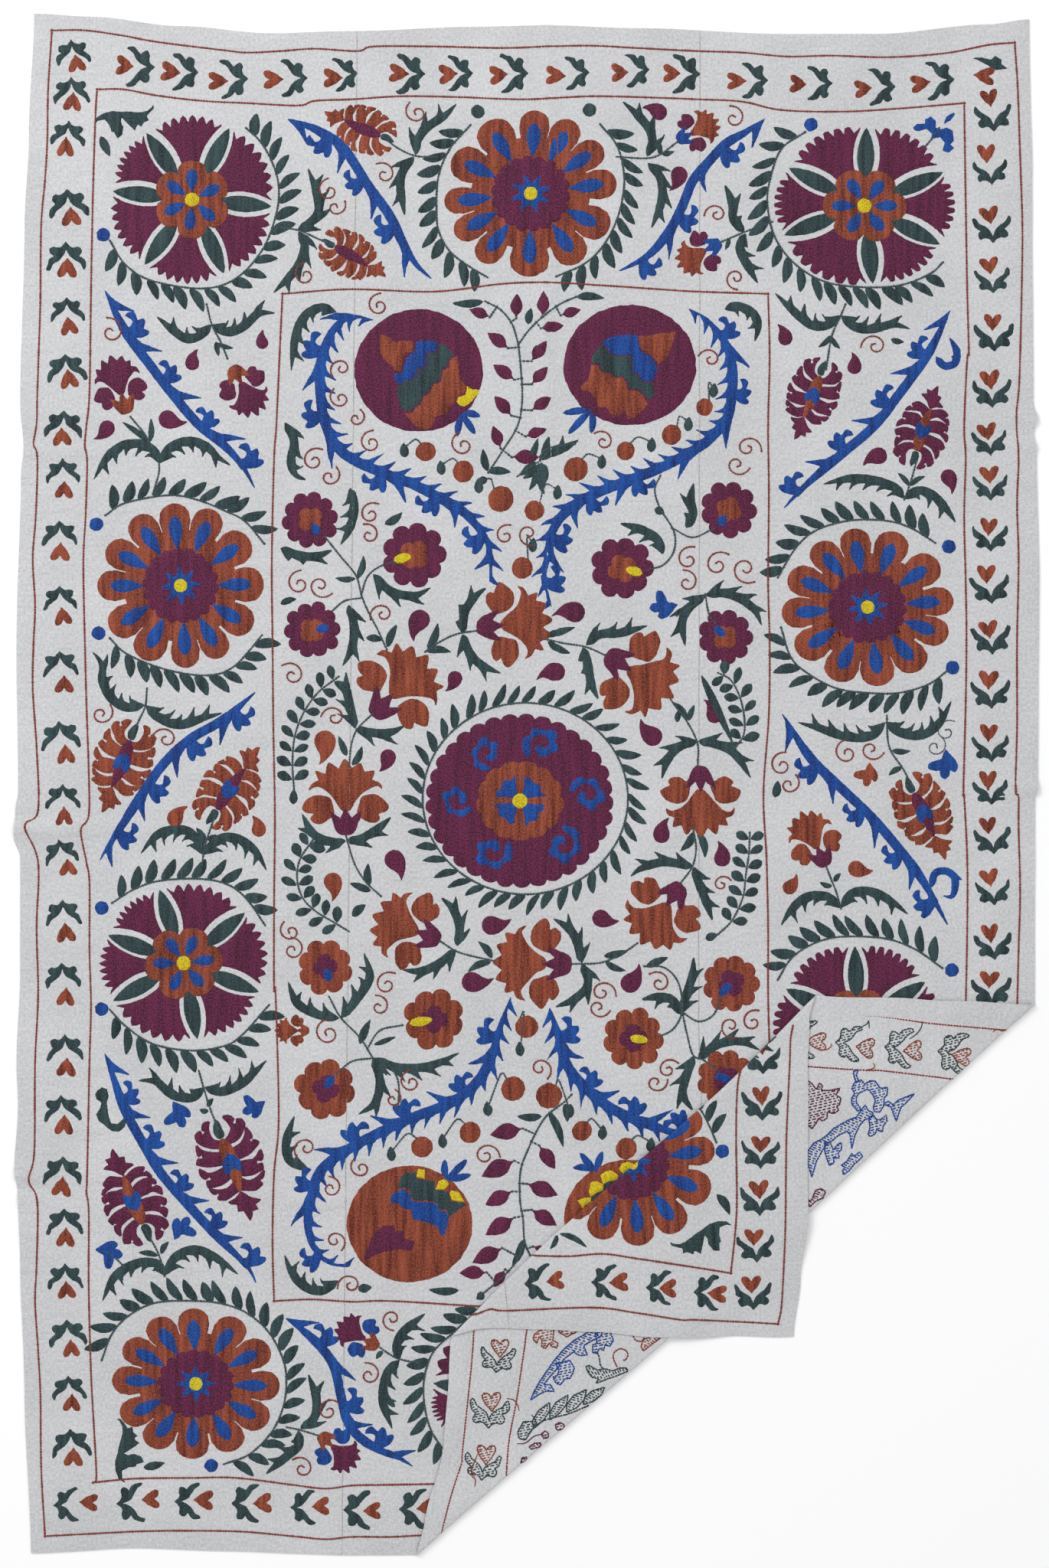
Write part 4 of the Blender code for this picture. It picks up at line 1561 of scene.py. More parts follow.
def rings(name, charts, place):
    leaves = []
    dots = {"blue": [], "green": []}
    lines = []
    for ring in charts:
        course = Course(*ring.chart)
        leaves += ring_leaves(course, ring.side)
        lines.append(course.path)
        if ring.dot:
            dots[ring.dot].append(set_down(disc(RING_DOT, RING_DOT, 20, 0.1), ring.dot_x, ring.dot_y))
    embroider(name + "_leaves", "green", leaves + dots["green"], place)
    embroider(name + "_dots", "blue", dots["blue"], place)
    chain_stitched(name + "_lines", GREEN_LINE, lines, place, GREEN_STEM_WIDTH)


rings("ring", RINGS, on_cover)
rings("corner_ring", [CORNER_RING], on_corner)


# The large rosette in the middle: a scalloped purple disc with six blue curls, a rust disc with a
# blue cross, a yellow eye, and a ring of slanted leaves all the way round.
CENTRE_X = 679
CENTRE_Y = 1046
CENTRE_LEAF_RING = (686, 1043, 134, 125)
Scroll = namedtuple("Scroll", "x y angle size")
CENTRE_CURLS = [
    Scroll(704.6, 969.6, 0, 1.0), Scroll(767.7, 1034, -53, 0.98), Scroll(739.8, 1103, -128, 1.0),
    Scroll(646, 1116, 170, 1.0), Scroll(596, 1048.8, 114, 0.86), Scroll(632, 985, 61, 0.88),
]
CURL_BUD = [
    (-16, -21), (-22.7, -9), (-22, 4.5), (-12.5, 9.5), (-9, 18.5), (1.5, 17.5), (8.5, 15), (16, 17),
    (23.5, 11), (20.5, 0), (25, -6), (22, -13), (13.5, -14), (7.5, -19), (-1.5, -17), (-7, -7.5), (0, -3),
    (4, -6.5), (10, -6), (12, 1.5), (7.5, 8), (-1.5, 9), (-10, 4.5), (-12, -4.5), (-11.5, -14),
]
CURL_NOTCHES = (0, 3, 6, 9, 12, 15)
CROSS_ARM = [
    (1, 1), (4, 14), (6, 22), (5, 32), (13.5, 33), (18.5, 25.5), (29, 22), (29, 12), (39, 6), (19, 4),
]


def mirrored_arm(turn):
    ring = []
    for x, y in CROSS_ARM:
        angle = math.radians(turn)
        ring.append((x * math.cos(angle) - y * math.sin(angle), x * math.sin(angle) + y * math.cos(angle)))
    return ring


centre_disc = [(x * 131, y * 121) for x, y in lobed(33, 0.055, 4, 0.6, 0.3, 7)]
embroider("centre_disc", "plum", [set_down(centre_disc, CENTRE_X, CENTRE_Y)])
centre_rust = [(x * 62, y * 57) for x, y in lobed(13, 0.09, 8, 0.6, 0.3, 7)]
embroider("centre_inner_disc", "rust", [(set_down(centre_rust, CENTRE_X, CENTRE_Y), 1)])
embroider(
    "centre_cross",
    "blue",
    [(set_down(mirrored_arm(90 * arm), CENTRE_X, CENTRE_Y, chance.uniform(-4, 4)), 2) for arm in range(4)],
)
embroider("centre_eye", "yellow", [(set_down(disc(11, 11, 20, 0.08), CENTRE_X, CENTRE_Y), 3)])
centre_curls = []
for curl in CENTRE_CURLS:
    outline = drawn(CURL_BUD, corners=CURL_NOTCHES)
    centre_curls.append((set_down(outline, curl.x, curl.y, curl.angle, 1.055 * curl.size), 1))
embroider("centre_curls", "blue", centre_curls)
ring_x, ring_y, reach_x, reach_y = CENTRE_LEAF_RING
ring_turns = np.linspace(-2.2, 4.06, 40)
centre_ring = Course(
    *[(ring_x + reach_x * math.cos(turn), ring_y + reach_y * math.sin(turn)) for turn in ring_turns]
)
embroider("centre_leaves", "green", ring_leaves(centre_ring, 1, 0.004, 36.0, 0.85, 12.0))
chain_stitched(
    "centre_line", GREEN_LINE, [centre_ring.path], on_cover, GREEN_STEM_WIDTH
)


# The blue vines: a pointed band between each pair of rosettes in the border, with curled buds and
# long thorns by turns along its inner side, and four thicker ones inside the middle panel.
BUD = [
    (-7, -4), (-7, 0.5), (-2.7, 6.5), (-6.5, 12.5), (-16.3, 8.4), (-17.4, 14.2), (-13.3, 20.2),
    (-4.4, 18.4), (-2.5, 25.1), (2.8, 24.4), (7.5, 19.4), (12.4, 23.2), (16.1, 20.5), (15.7, 12.9),
    (11.5, 5.1), (8, 0), (7, -4),
]
BUD_CORNERS = (0, 4, 7, 10, 16)
INNER_THORN_STEP = 0.0225
Vine = namedtuple("Vine", "chart side buds thorns width")
BORDER_VINES = [
    Vine([(373, 155), (400, 164), (419, 173), (449, 194), (479, 240), (509, 282), (526, 317), (544, 346),
          (567, 367)], -1, (0.19, 0.44, 0.69), (0.09, 0.33, 0.58, 0.86), 14),
    Vine([(999, 155), (975, 172), (948, 188), (925, 212), (905, 236), (890, 272), (872, 305), (845, 335),
          (805, 356)], 1, (0.22, 0.60, 0.86), (0.08, 0.42, 0.74), 13.6),
    Vine([(136, 377), (164, 433), (194, 474), (223, 512), (258, 553), (293, 582), (317, 609), (334, 640)], 1,
         (0.19, 0.42, 0.66, 0.88), (0.10, 0.30, 0.54, 0.78), 13.6),
    Vine([(1242, 403), (1212, 462), (1174, 515), (1142, 556), (1098, 594), (1051, 635), (1021, 667)], -1,
         (0.19, 0.42, 0.66, 0.90), (0.08, 0.30, 0.54, 0.78), 13.6),
    Vine([(336, 902), (293, 939), (249, 965), (217, 994), (191, 1029), (164, 1071), (141, 1106),
        (129, 1126)], 1,
         (0.12, 0.34, 0.60, 0.84), (0.22, 0.47, 0.72, 0.95), 13.6),
    Vine([(1020, 930), (1057, 988), (1098, 1029), (1139, 1068), (1174, 1109), (1203, 1147),
        (1241, 1214)], -1,
         (0.22, 0.45, 0.66, 0.87), (0.10, 0.34, 0.56, 0.77), 13.6),
    Vine([(136, 1373), (147, 1404), (164, 1451), (188, 1495), (211, 1533), (249, 1577), (287, 1618),
          (323, 1654), (337, 1681)], 1, (0.17, 0.35, 0.54, 0.72, 0.90), (0.08, 0.26, 0.45, 0.63, 0.81),
          13.6),
    Vine([(371, 1720), (395, 1737), (420, 1760), (437, 1787), (447, 1831), (456, 1861), (476, 1882),
          (503, 1897), (523, 1905), (542, 1917)], 1, (0.20, 0.52, 0.78), (0.10, 0.38, 0.66, 0.92), 13.6),
]
CENTRE_VINES = [
    Vine([(488, 418), (462, 414), (440, 425), (424, 455), (418, 485), (419, 520), (424, 550), (437, 579),
          (460, 600), (503, 619), (538, 632), (573, 650), (603, 667), (625, 690), (638, 712), (641, 738),
          (639, 766)], -1, (0.17, 0.33, 0.55, 0.70, 0.86), (0.09, 0.25, 0.43, 0.62, 0.78, 0.94), 14.5),
    Vine([(898, 402), (925, 420), (948, 450), (956, 480), (956, 512), (950, 545), (932, 568), (910, 586),
          (861, 612), (817, 629), (773, 647), (743, 665), (723, 691), (715, 726), (711, 758), (721, 796)], 1,
         (0.10, 0.24, 0.56, 0.68, 0.82, 0.93), (0.17, 0.34, 0.46, 0.62, 0.75, 0.88), 14.5),
    Vine([(667, 1302), (652, 1345), (642, 1380), (624, 1412), (591, 1439), (538, 1460), (494, 1480),
          (450, 1504), (420, 1528), (408, 1557), (402, 1592), (408, 1625), (428, 1648), (462, 1656)], -1,
         (0.10, 0.26, 0.42, 0.56, 0.72, 0.90), (0.18, 0.34, 0.49, 0.64, 0.80), 14.5),
    Vine([(718, 1316), (730, 1355), (740, 1390), (760, 1416), (787, 1440), (817, 1457), (855, 1471),
          (885, 1478), (905, 1462)], 1, (0.13, 0.40, 0.66, 0.92), (0.25, 0.53, 0.80), 14.5),
]
VINE_HOOKS = [
    [(1222, 466), (1233, 478), (1247, 474), (1249, 458), (1239, 440)],
    [(1216, 1160), (1221, 1141), (1236, 1138), (1247, 1148), (1244, 1170), (1230, 1170)],
]


def vine_shapes(vine, thorns_outside=False):
    course = Course(*vine.chart)
    thorns = [
        Thorn(share, vine.side, chance.uniform(20, 25), chance.uniform(13, 19), 25) for share in vine.thorns
    ]
    if thorns_outside:
        count = round(course.length / INNER_THORN_STEP)
        thorns += [
            Thorn((index + 0.7) / count, -vine.side, chance.uniform(14, 20), chance.uniform(6, 11), 16)
            for index in range(count)
        ]
    shapes = [(thorned(course, vine.width, thorns), 0.1)]
    for share in vine.buds:
        scale = chance.uniform(1.05, 1.22)
        local = [(x * scale, y * scale) for x, y in drawn(BUD, corners=BUD_CORNERS)]
        bud = course.drawn_beside(share * course.length, local, vine.side)
        shapes.append((bud, chance.uniform(0, 0.08)))
    return shapes


border_vines = []
for vine in BORDER_VINES:
    border_vines += vine_shapes(vine)
for hook in VINE_HOOKS:
    border_vines.append((thorned(Course(*hook), 11, [Thorn(0.6, 1, 8, 2, 8)], 0.1, 0.3), 0.05))
embroider("border_vines", "blue", border_vines)
centre_vines = []
for vine in CENTRE_VINES:
    centre_vines += vine_shapes(vine, True)
embroider("centre_vines", "blue", centre_vines)


# Toothed green leaves: in pairs over and under the rosettes, where a flower's stem crosses them,
# and singly in the corners and along the stems. Each is a curved band with thorns on one side.
ToothedLeaf = namedtuple("ToothedLeaf", "side chart")
LEAF_BAND = 12.5
LEAF_THORN_STEP = 0.0215
TOOTHED_LEAVES = [
    ToothedLeaf(-1, [(276, 424), (262, 438), (245, 443), (228, 433), (204, 413)]),
    ToothedLeaf(1, [(276, 424), (298, 434), (318, 427), (338, 410), (361, 409)]),
    ToothedLeaf(-1, [(388, 301), (404, 292), (416, 276), (413, 250), (402, 219)]),
    ToothedLeaf(1, [(390, 302), (398, 322), (389, 348), (372, 368), (356, 384)]),
    ToothedLeaf(1, [(543, 203), (546, 182), (560, 165), (580, 152), (597, 135)]),
    ToothedLeaf(-1, [(541, 205), (527, 222), (523, 245), (529, 283)]),
    ToothedLeaf(-1, [(845, 205), (852, 185), (846, 166), (830, 148), (812, 132)]),
    ToothedLeaf(1, [(846, 213), (862, 232), (864, 262), (850, 300)]),
    ToothedLeaf(-1, [(972, 303), (958, 287), (956, 265), (946, 240)]),
    ToothedLeaf(1, [(974, 305), (966, 325), (978, 350), (990, 371)]),
    ToothedLeaf(-1, [(1098, 412), (1080, 425), (1060, 425), (1038, 408), (1011, 382)]),
    ToothedLeaf(1, [(1098, 412), (1118, 428), (1140, 430), (1165, 424), (1190, 430)]),
    ToothedLeaf(1, [(208, 606), (202, 590), (185, 580), (160, 582), (138, 600), (122, 628)]),
    ToothedLeaf(-1, [(208, 606), (222, 585), (245, 576), (268, 582), (286, 598), (303, 609)]),
    ToothedLeaf(1, [(1181, 652), (1170, 638), (1145, 628), (1110, 625), (1073, 633)]),
    ToothedLeaf(-1, [(1181, 652), (1198, 641), (1217, 646), (1235, 664), (1249, 684)]),
    ToothedLeaf(-1, [(190, 921), (165, 924), (145, 912), (134, 890), (133, 868), (120, 850)]),
    ToothedLeaf(1, [(190, 921), (208, 938), (235, 947), (265, 938), (292, 931)]),
    ToothedLeaf(1, [(265, 1117), (256, 1094), (236, 1083), (206, 1090), (183, 1116)]),
    ToothedLeaf(-1, [(265, 1117), (286, 1096), (310, 1095), (334, 1112), (349, 1138)]),
    ToothedLeaf(-1, [(1156, 943), (1138, 961), (1108, 963), (1072, 952), (1040, 943)]),
    ToothedLeaf(1, [(1156, 943), (1178, 958), (1205, 960), (1227, 944), (1243, 914)]),
    ToothedLeaf(1, [(1098, 1186), (1080, 1171), (1055, 1171), (1035, 1186), (1019, 1210)]),
    ToothedLeaf(-1, [(1098, 1186), (1114, 1166), (1140, 1165), (1165, 1178), (1187, 1195)]),
    ToothedLeaf(-1, [(267, 1420), (250, 1434), (225, 1430), (204, 1413), (179, 1411)]),
    ToothedLeaf(1, [(267, 1420), (290, 1426), (315, 1416), (333, 1400), (349, 1384)]),
    ToothedLeaf(1, [(215, 1666), (204, 1650), (178, 1650), (150, 1667), (133, 1701)]),
    ToothedLeaf(-1, [(215, 1666), (230, 1641), (256, 1632), (286, 1645), (313, 1666)]),
    ToothedLeaf(-1, [(392, 1866), (410, 1852), (413, 1826), (402, 1793)]),
    ToothedLeaf(-1, [(390, 1868), (390, 1888), (372, 1904), (346, 1926)]),
    ToothedLeaf(-1, [(522, 1776), (518, 1757), (528, 1738), (556, 1715)]),
    ToothedLeaf(1, [(522, 1776), (505, 1795), (500, 1830), (513, 1868)]),
    ToothedLeaf(1, [(440, 408), (418, 402), (397, 414), (386, 440), (380, 486)]),
    ToothedLeaf(-1, [(946, 404), (964, 400), (984, 410), (990, 428), (985, 448)]),
    ToothedLeaf(-1, [(442, 1672), (420, 1686), (397, 1680), (380, 1660), (371, 1637)]),
    ToothedLeaf(-1, [(402, 1526), (378, 1515), (374, 1490), (385, 1456)]),
    ToothedLeaf(1, [(372, 552), (384, 575), (380, 603), (386, 620), (402, 628)]),
    ToothedLeaf(-1, [(366, 716), (386, 724), (410, 727), (436, 718)]),
    ToothedLeaf(-1, [(457, 637), (463, 662), (457, 690), (444, 713)]),
    ToothedLeaf(-1, [(487, 750), (510, 772), (540, 778), (564, 767)]),
    ToothedLeaf(1, [(455, 790), (462, 815), (460, 845), (447, 871)]),
    ToothedLeaf(1, [(866, 724), (858, 704), (838, 692), (808, 683)]),
    ToothedLeaf(1, [(896, 690), (905, 672), (902, 652), (906, 630)]),
    ToothedLeaf(1, [(921, 777), (946, 775), (970, 784), (986, 798), (995, 818)]),
    ToothedLeaf(-1, [(921, 777), (902, 792), (891, 812), (895, 845)]),
    ToothedLeaf(1, [(464, 952), (458, 925), (453, 900), (452, 876)]),
    ToothedLeaf(-1, [(464, 952), (485, 957), (508, 957), (529, 948)]),
    ToothedLeaf(1, [(452, 1098), (436, 1100), (410, 1090), (394, 1062)]),
    ToothedLeaf(-1, [(452, 1098), (470, 1096), (494, 1082), (512, 1066)]),
    ToothedLeaf(-1, [(597, 1236), (600, 1212), (592, 1188), (575, 1171)]),
    ToothedLeaf(1, [(596, 1240), (577, 1256), (552, 1268), (525, 1267)]),
    ToothedLeaf(1, [(604, 828), (607, 800), (620, 780), (636, 767)]),
    ToothedLeaf(-1, [(604, 828), (612, 850), (628, 868), (655, 880)]),
    ToothedLeaf(-1, [(761, 845), (768, 868), (772, 892), (782, 915)]),
    ToothedLeaf(1, [(765, 843), (783, 829), (810, 827), (847, 817)]),
    ToothedLeaf(-1, [(911, 968), (888, 975), (872, 992), (864, 1018)]),
    ToothedLeaf(1, [(911, 968), (935, 972), (960, 985), (981, 1017)]),
    ToothedLeaf(-1, [(906, 1132), (868, 1126), (838, 1134), (822, 1146)]),
    ToothedLeaf(1, [(906, 1132), (913, 1155), (923, 1180), (931, 1204)]),
    ToothedLeaf(-1, [(760, 1258), (755, 1235), (745, 1215), (722, 1199)]),
    ToothedLeaf(1, [(760, 1258), (768, 1285), (750, 1305), (723, 1316)]),
    ToothedLeaf(1, [(445, 1330), (467, 1304), (483, 1276), (475, 1243)]),
    ToothedLeaf(-1, [(443, 1330), (415, 1325), (388, 1310), (376, 1281)]),
    ToothedLeaf(-1, [(487, 1382), (520, 1394), (562, 1392), (602, 1374)]),
    ToothedLeaf(1, [(487, 1382), (496, 1410), (490, 1440), (467, 1456)]),
    ToothedLeaf(-1, [(889, 1325), (896, 1300), (904, 1275), (906, 1248)]),
    ToothedLeaf(1, [(889, 1325), (878, 1306), (858, 1302), (836, 1306)]),
    ToothedLeaf(1, [(911, 1384), (936, 1365), (966, 1360), (993, 1372)]),
    ToothedLeaf(-1, [(906, 1379), (896, 1407), (892, 1430), (906, 1452)]),
]
WideLeaf = namedtuple("WideLeaf", "x y facing size flip")
WIDE_LEAF = [
    (-44.0, -4.4), (-38.7, -8.8), (-29.9, -9.7), (-21.1, -6.2), (-8.8, 3.5), (1.8, 10.5), (10.5, 17.6),
    (22.9, 22.0), (35.2, 22.0), (44.8, 14.9), (35.2, 16.7), (26.4, 13.2), (25.5, 3.5), (28.1, -6.2),
    (25.5, -8.8), (26.4, -19.3), (17.6, -18.5), (10.5, -10.5), (8.8, -1.8), (5.3, 1.8), (2.6, -12.3),
    (0.0, -23.7), (-5.3, -20.2), (-8.8, -19.3), (-10.5, -24.6), (-17.6, -21.1), (-24.6, -22.9),
    (-25.5, -15.8), (-33.4, -14.1), (-40.4, -12.3),
]
WIDE_LEAVES = [WideLeaf(164, 153, 34, 0.98, True), WideLeaf(162, 1893, 112, 1.0, True)]
CORNER_WIDE_LEAVES = [WideLeaf(915, 1615, 0, 1.0, False)]
CORNER_LEAVES = [ToothedLeaf(-1, [(952, 1352), (968, 1370), (990, 1365), (1016, 1352)])]


def toothed_leaf(chart, side, width=LEAF_BAND, reach=14.0, lean=7.0, back=19.0, step=LEAF_THORN_STEP):
    course = Course(*chart)
    count = max(2, round(course.length / step) - 1)
    thorns = [
        Thorn((index + 1.0) / (count + 1), side, reach * chance.uniform(0.85, 1.2), lean, back)
        for index in range(count)
    ]
    return (thorned(course, width, thorns, 0.10, 0.34), 0.05)


def wide_leaf(place):
    return set_down(WIDE_LEAF, place.x, place.y, place.facing, place.size, place.flip)


embroider(
    "toothed_leaves",
    "green",
    [toothed_leaf(leaf_chart.chart, leaf_chart.side) for leaf_chart in TOOTHED_LEAVES]
    + [(wide_leaf(leaf_place), 0.1) for leaf_place in WIDE_LEAVES],
)
COMMA_LEAF = [
    (126.7, 1424.4), (133.3, 1419.6), (140, 1422.2), (142.2, 1431.1), (140, 1440), (142.2, 1457.8),
    (145.6, 1466.7), (153.3, 1467.8), (160, 1462.2), (164.4, 1455.6), (165.6, 1462.2), (163.3, 1472.2),
    (155.6, 1478.2), (146.7, 1477.8), (140, 1473.3), (135.6, 1468.9), (128.9, 1464.4), (125.6, 1455.6),
    (131.1, 1446.7), (132.2, 1440), (125.6, 1435.6), (124.4, 1428.9),
]
embroider("comma_leaf", "green", [(seen(COMMA_LEAF), 0.1)])
embroider(
    "corner_toothed_leaves",
    "green",
    [toothed_leaf(leaf_chart.chart, leaf_chart.side) for leaf_chart in CORNER_LEAVES]
    + [(wide_leaf(leaf_place), 0.1) for leaf_place in CORNER_WIDE_LEAVES],
    on_corner,
)


# The tulips: a broad toothed fan and two heart-shaped side petals in rust, held by a purple
# calyx. Eight stand in a ring round the middle, and smaller ones in the border.
Flower = namedtuple("Flower", "x y facing size body petals calyx")
TULIP_BODY_HALF = [
    (0, 31), (6, 34), (13, 44), (22, 54), (33, 61.5), (41, 62.5), (49, 57), (45, 68), (36, 73), (38, 84),
    (27, 82), (21, 95), (9.5, 88), (0, 100),
]
TULIP_SIDE_PETAL = [
    (14, 30), (17, 41), (21, 49), (30, 53), (41, 52), (50, 47), (56.5, 37), (52, 31), (43, 28), (45.5, 22),
    (40.5, 16.5), (31.5, 15.5), (22.5, 20), (16.5, 25),
]
TULIP_CALYX_HALF = [
    (0, 0), (8, 1.5), (13, 8), (16.5, 16), (19.5, 24), (21.5, 33), (14, 28), (7.5, 22.5), (4, 30), (0, 40),
]
BORDER_TULIP_SLIMMER = 0.80
TULIPS = [
    Flower(622, 820, -84, 1.0, "rust", "rust", "plum"),
    Flower(487, 936, -42, 1.08, "rust", "rust", "plum"),
    Flower(452, 1091, 1, 1.0, "rust", "rust", "plum"),
    Flower(575, 1229, 69, 0.95, "rust", "rust", "plum"),
    Flower(747, 1260, 88, 1.04, "rust", "rust", "plum"),
    Flower(890, 1154, 146, 0.96, "rust", "rust", "plum"),
    Flower(915, 1000, 180, 0.94, "rust", "rust", "plum"),
    Flower(791, 854, -123, 1.06, "rust", "rust", "plum"),
    Flower(166, 541, 16, 0.80, "plum", "plum", "rust"),
    Flower(303, 478, -152, 0.74, "plum", "plum", "rust"),
    Flower(1079, 1132, 25, 0.80, "rust", "rust", "plum"),
    Flower(494, 1760, 58, 0.64, "plum", "blue", "rust"),
    Flower(417, 1873, -132, 0.66, "plum", "blue", "rust"),
    Flower(884, 184, -63, 0.62, "rust", "plum", "blue"),
    Flower(941, 316, 120, 0.66, "rust", "plum", "blue"),
    Flower(404, 1346, 90, 0.46, "rust", "rust", "rust"),
]


def both_sides(half, jitter=0.0):
    """A closed outline from its right half, its two sides a little unlike."""
    def shaken(side):
        return [
            (side * x + chance.uniform(-jitter, jitter), y + chance.uniform(-jitter, jitter))
            for x, y in half[1:-1]
        ]

    right = shaken(1)
    left = shaken(-1)
    return [half[0], *right, half[-1], *reversed(left)]


def mirrored_corners(corners, half_count):
    total = 2 * half_count - 2
    return tuple(sorted(set(corners) | {(total - corner) % total for corner in corners}))


def tulip(flower, fillings):
    """Adds one tulip's outlines to the fillings, a list for each dye."""
    size = 1.055 * flower.size
    slim = 1.0 if flower.size > 0.9 else BORDER_TULIP_SLIMMER
    body_corners = mirrored_corners((0, 6, 8, 10, 12), len(TULIP_BODY_HALF))
    body = drawn(both_sides([(x * slim, y) for x, y in TULIP_BODY_HALF], 1.2), body_corners)
    fillings[flower.body].append((set_down(body, flower.x, flower.y, flower.facing, size), 0.1))
    for flip in (False, True):
        petal = [(x * slim + chance.uniform(-1, 1), y + chance.uniform(-1, 1)) for x, y in TULIP_SIDE_PETAL]
        outline = drawn(petal, (0, 8))
        petal = set_down(outline, flower.x, flower.y, flower.facing, size, flip)
        fillings[flower.petals].append((petal, 0.1))
    calyx = drawn(both_sides(TULIP_CALYX_HALF, 0.8), mirrored_corners((0, 5, 7, 9), len(TULIP_CALYX_HALF)))
    fillings[flower.calyx].append((set_down(calyx, flower.x, flower.y, flower.facing, size), 0.9))


tulip_fillings = {dye: [] for dye in THREADS}
for flower in TULIPS:
    tulip(flower, tulip_fillings)
for dye, outlines in tulip_fillings.items():
    if outlines:
        embroider("tulips_" + dye, dye, outlines)


# The carnations of the border: a long body with a coloured chevron, three hooked petals on each
# side parted by bare curves, and a tuft at the far end, on a small green cup.
Carnation = namedtuple("Carnation", "x y facing size petals body chevron cup")
CARNATION_SIDE_PETALS = [
    [
        (2, 3), (10, -2), (13.5, -11), (12.5, -20), (10, -29), (17, -27), (20.5, -20), (20, -16),
        (25, -20), (31, -17), (31, -9), (25, 0), (17, 6), (7, 9),
    ],
    [
        (8, 16), (20, 12), (28, 6), (32.5, -4), (36, 4), (35, 11), (31.5, 14), (37, 15), (40, 21),
        (33, 27), (22, 30), (9, 30),
    ],
    [
        (9, 37), (20, 39), (30, 38), (40, 29), (40, 38), (36, 43), (31, 45), (36, 48), (36, 55), (27, 58),
        (17, 58), (7, 53),
    ],
    [(5, 60), (14, 65), (25, 64), (35, 59), (32, 66), (27, 69), (29, 75), (19, 79), (9, 76), (2, 71)],
]
CARNATION_PETAL_TIPS = [(0, 4, 7, 9), (0, 3, 6, 8), (0, 3, 6, 8), (0, 3, 5, 6)]
CARNATION_TUFT = [
    (0, 74), (9, 80), (21, 83), (19, 87), (11, 91), (13, 100), (5, 102), (3.5, 109), (1, 118), (-4, 113),
    (-7, 106), (-16, 106), (-14, 98), (-19, 97), (-24, 94), (-11, 86), (-5, 79),
]
CARNATION_TUFT_TIPS = (0, 2, 4, 5, 6, 8, 10, 11, 12, 14)
CARNATION_BODY = [
    (-2, -1), (4, 0), (9, 8), (11, 22), (11, 34), (8, 46), (6, 60), (2, 77), (-3, 72), (-7, 60), (-11, 48),
    (-12, 34), (-11, 20), (-7, 7),
]
CARNATION_CHEVRON = [
    (0, 19), (8, 26), (12, 34), (11.5, 45), (6, 49), (0, 42), (-7, 48), (-11.5, 48), (-13, 36), (-9, 26),
]
CARNATION_CUP = [(1, -30), (7, -20), (9, -11), (5, -2), (-4, -4), (-4, -15), (-3, -24)]
CARNATIONS = [
    Carnation(496, 178, 66, 0.68, "rust", "plum", None, True),
    Carnation(438, 322, -121, 0.66, "rust", "plum", None, True),
    Carnation(171, 968, 158, 0.86, "rust", "plum", "blue", True),
    Carnation(283, 1056, -35, 0.84, "rust", "plum", "blue", True),
    Carnation(1194, 1036, -155, 0.82, "rust", "plum", "blue", True),
    Carnation(1071, 492, 158, 0.76, "plum", "rust", "blue", True),
    Carnation(1196, 588, -19, 0.76, "plum", "rust", "blue", True),
    Carnation(291, 1488, -161, 0.96, "plum", "rust", "blue", True),
    Carnation(186, 1598, 22, 0.90, "plum", "rust", "blue", True),
]


def grown(outline, by):
    """An outline in millimetres, each point pushed outwards."""
    points = np.array(outline, float)
    ahead = np.roll(points, -1, axis=0) - np.roll(points, 1, axis=0)
    size = np.maximum(np.hypot(*ahead.T), 1e-9)
    outward = np.column_stack((ahead[:, 1], -ahead[:, 0])) / size[:, None]
    if (points[:, 0] * np.roll(points[:, 1], -1) - np.roll(points[:, 0], -1) * points[:, 1]).sum() < 0:
        outward = -outward
    return points + outward * by


PETAL_FULLER = 1.8


def carnation(flower, fillings):
    size = 1.055 * flower.size
    for flip in (False, True):
        for petal, tips in zip(CARNATION_SIDE_PETALS, CARNATION_PETAL_TIPS):
            shaken = [(1.1 * x + chance.uniform(-1.2, 1.2), y + chance.uniform(-1.2, 1.2)) for x, y in petal]
            fuller = grown(drawn(shaken, tips), PETAL_FULLER)
            outline = set_down(fuller, flower.x, flower.y, flower.facing, size, flip)
            fillings[flower.petals].append((outline, 0.1))
    tuft = set_down(drawn(CARNATION_TUFT, CARNATION_TUFT_TIPS), flower.x, flower.y, flower.facing, size)
    fillings[flower.petals].append((tuft, 0.1))
    body = set_down(drawn(CARNATION_BODY, (0, 7)), flower.x, flower.y, flower.facing, size)
    fillings[flower.body].append((body, 0.9))
    if flower.chevron:
        chevron = drawn(CARNATION_CHEVRON, (0, 4, 5, 6))
        fillings[flower.chevron].append((set_down(chevron, flower.x, flower.y, flower.facing, size), 1.8))
    if flower.cup:
        cup = set_down(drawn(CARNATION_CUP, (0,)), flower.x, flower.y, flower.facing, size)
        fillings["green"].append((cup, 0.4))


carnation_fillings = {dye: [] for dye in THREADS}
for flower in CARNATIONS:
    carnation(flower, carnation_fillings)
for dye, outlines in carnation_fillings.items():
    if outlines:
        embroider("carnations_" + dye, dye, outlines)


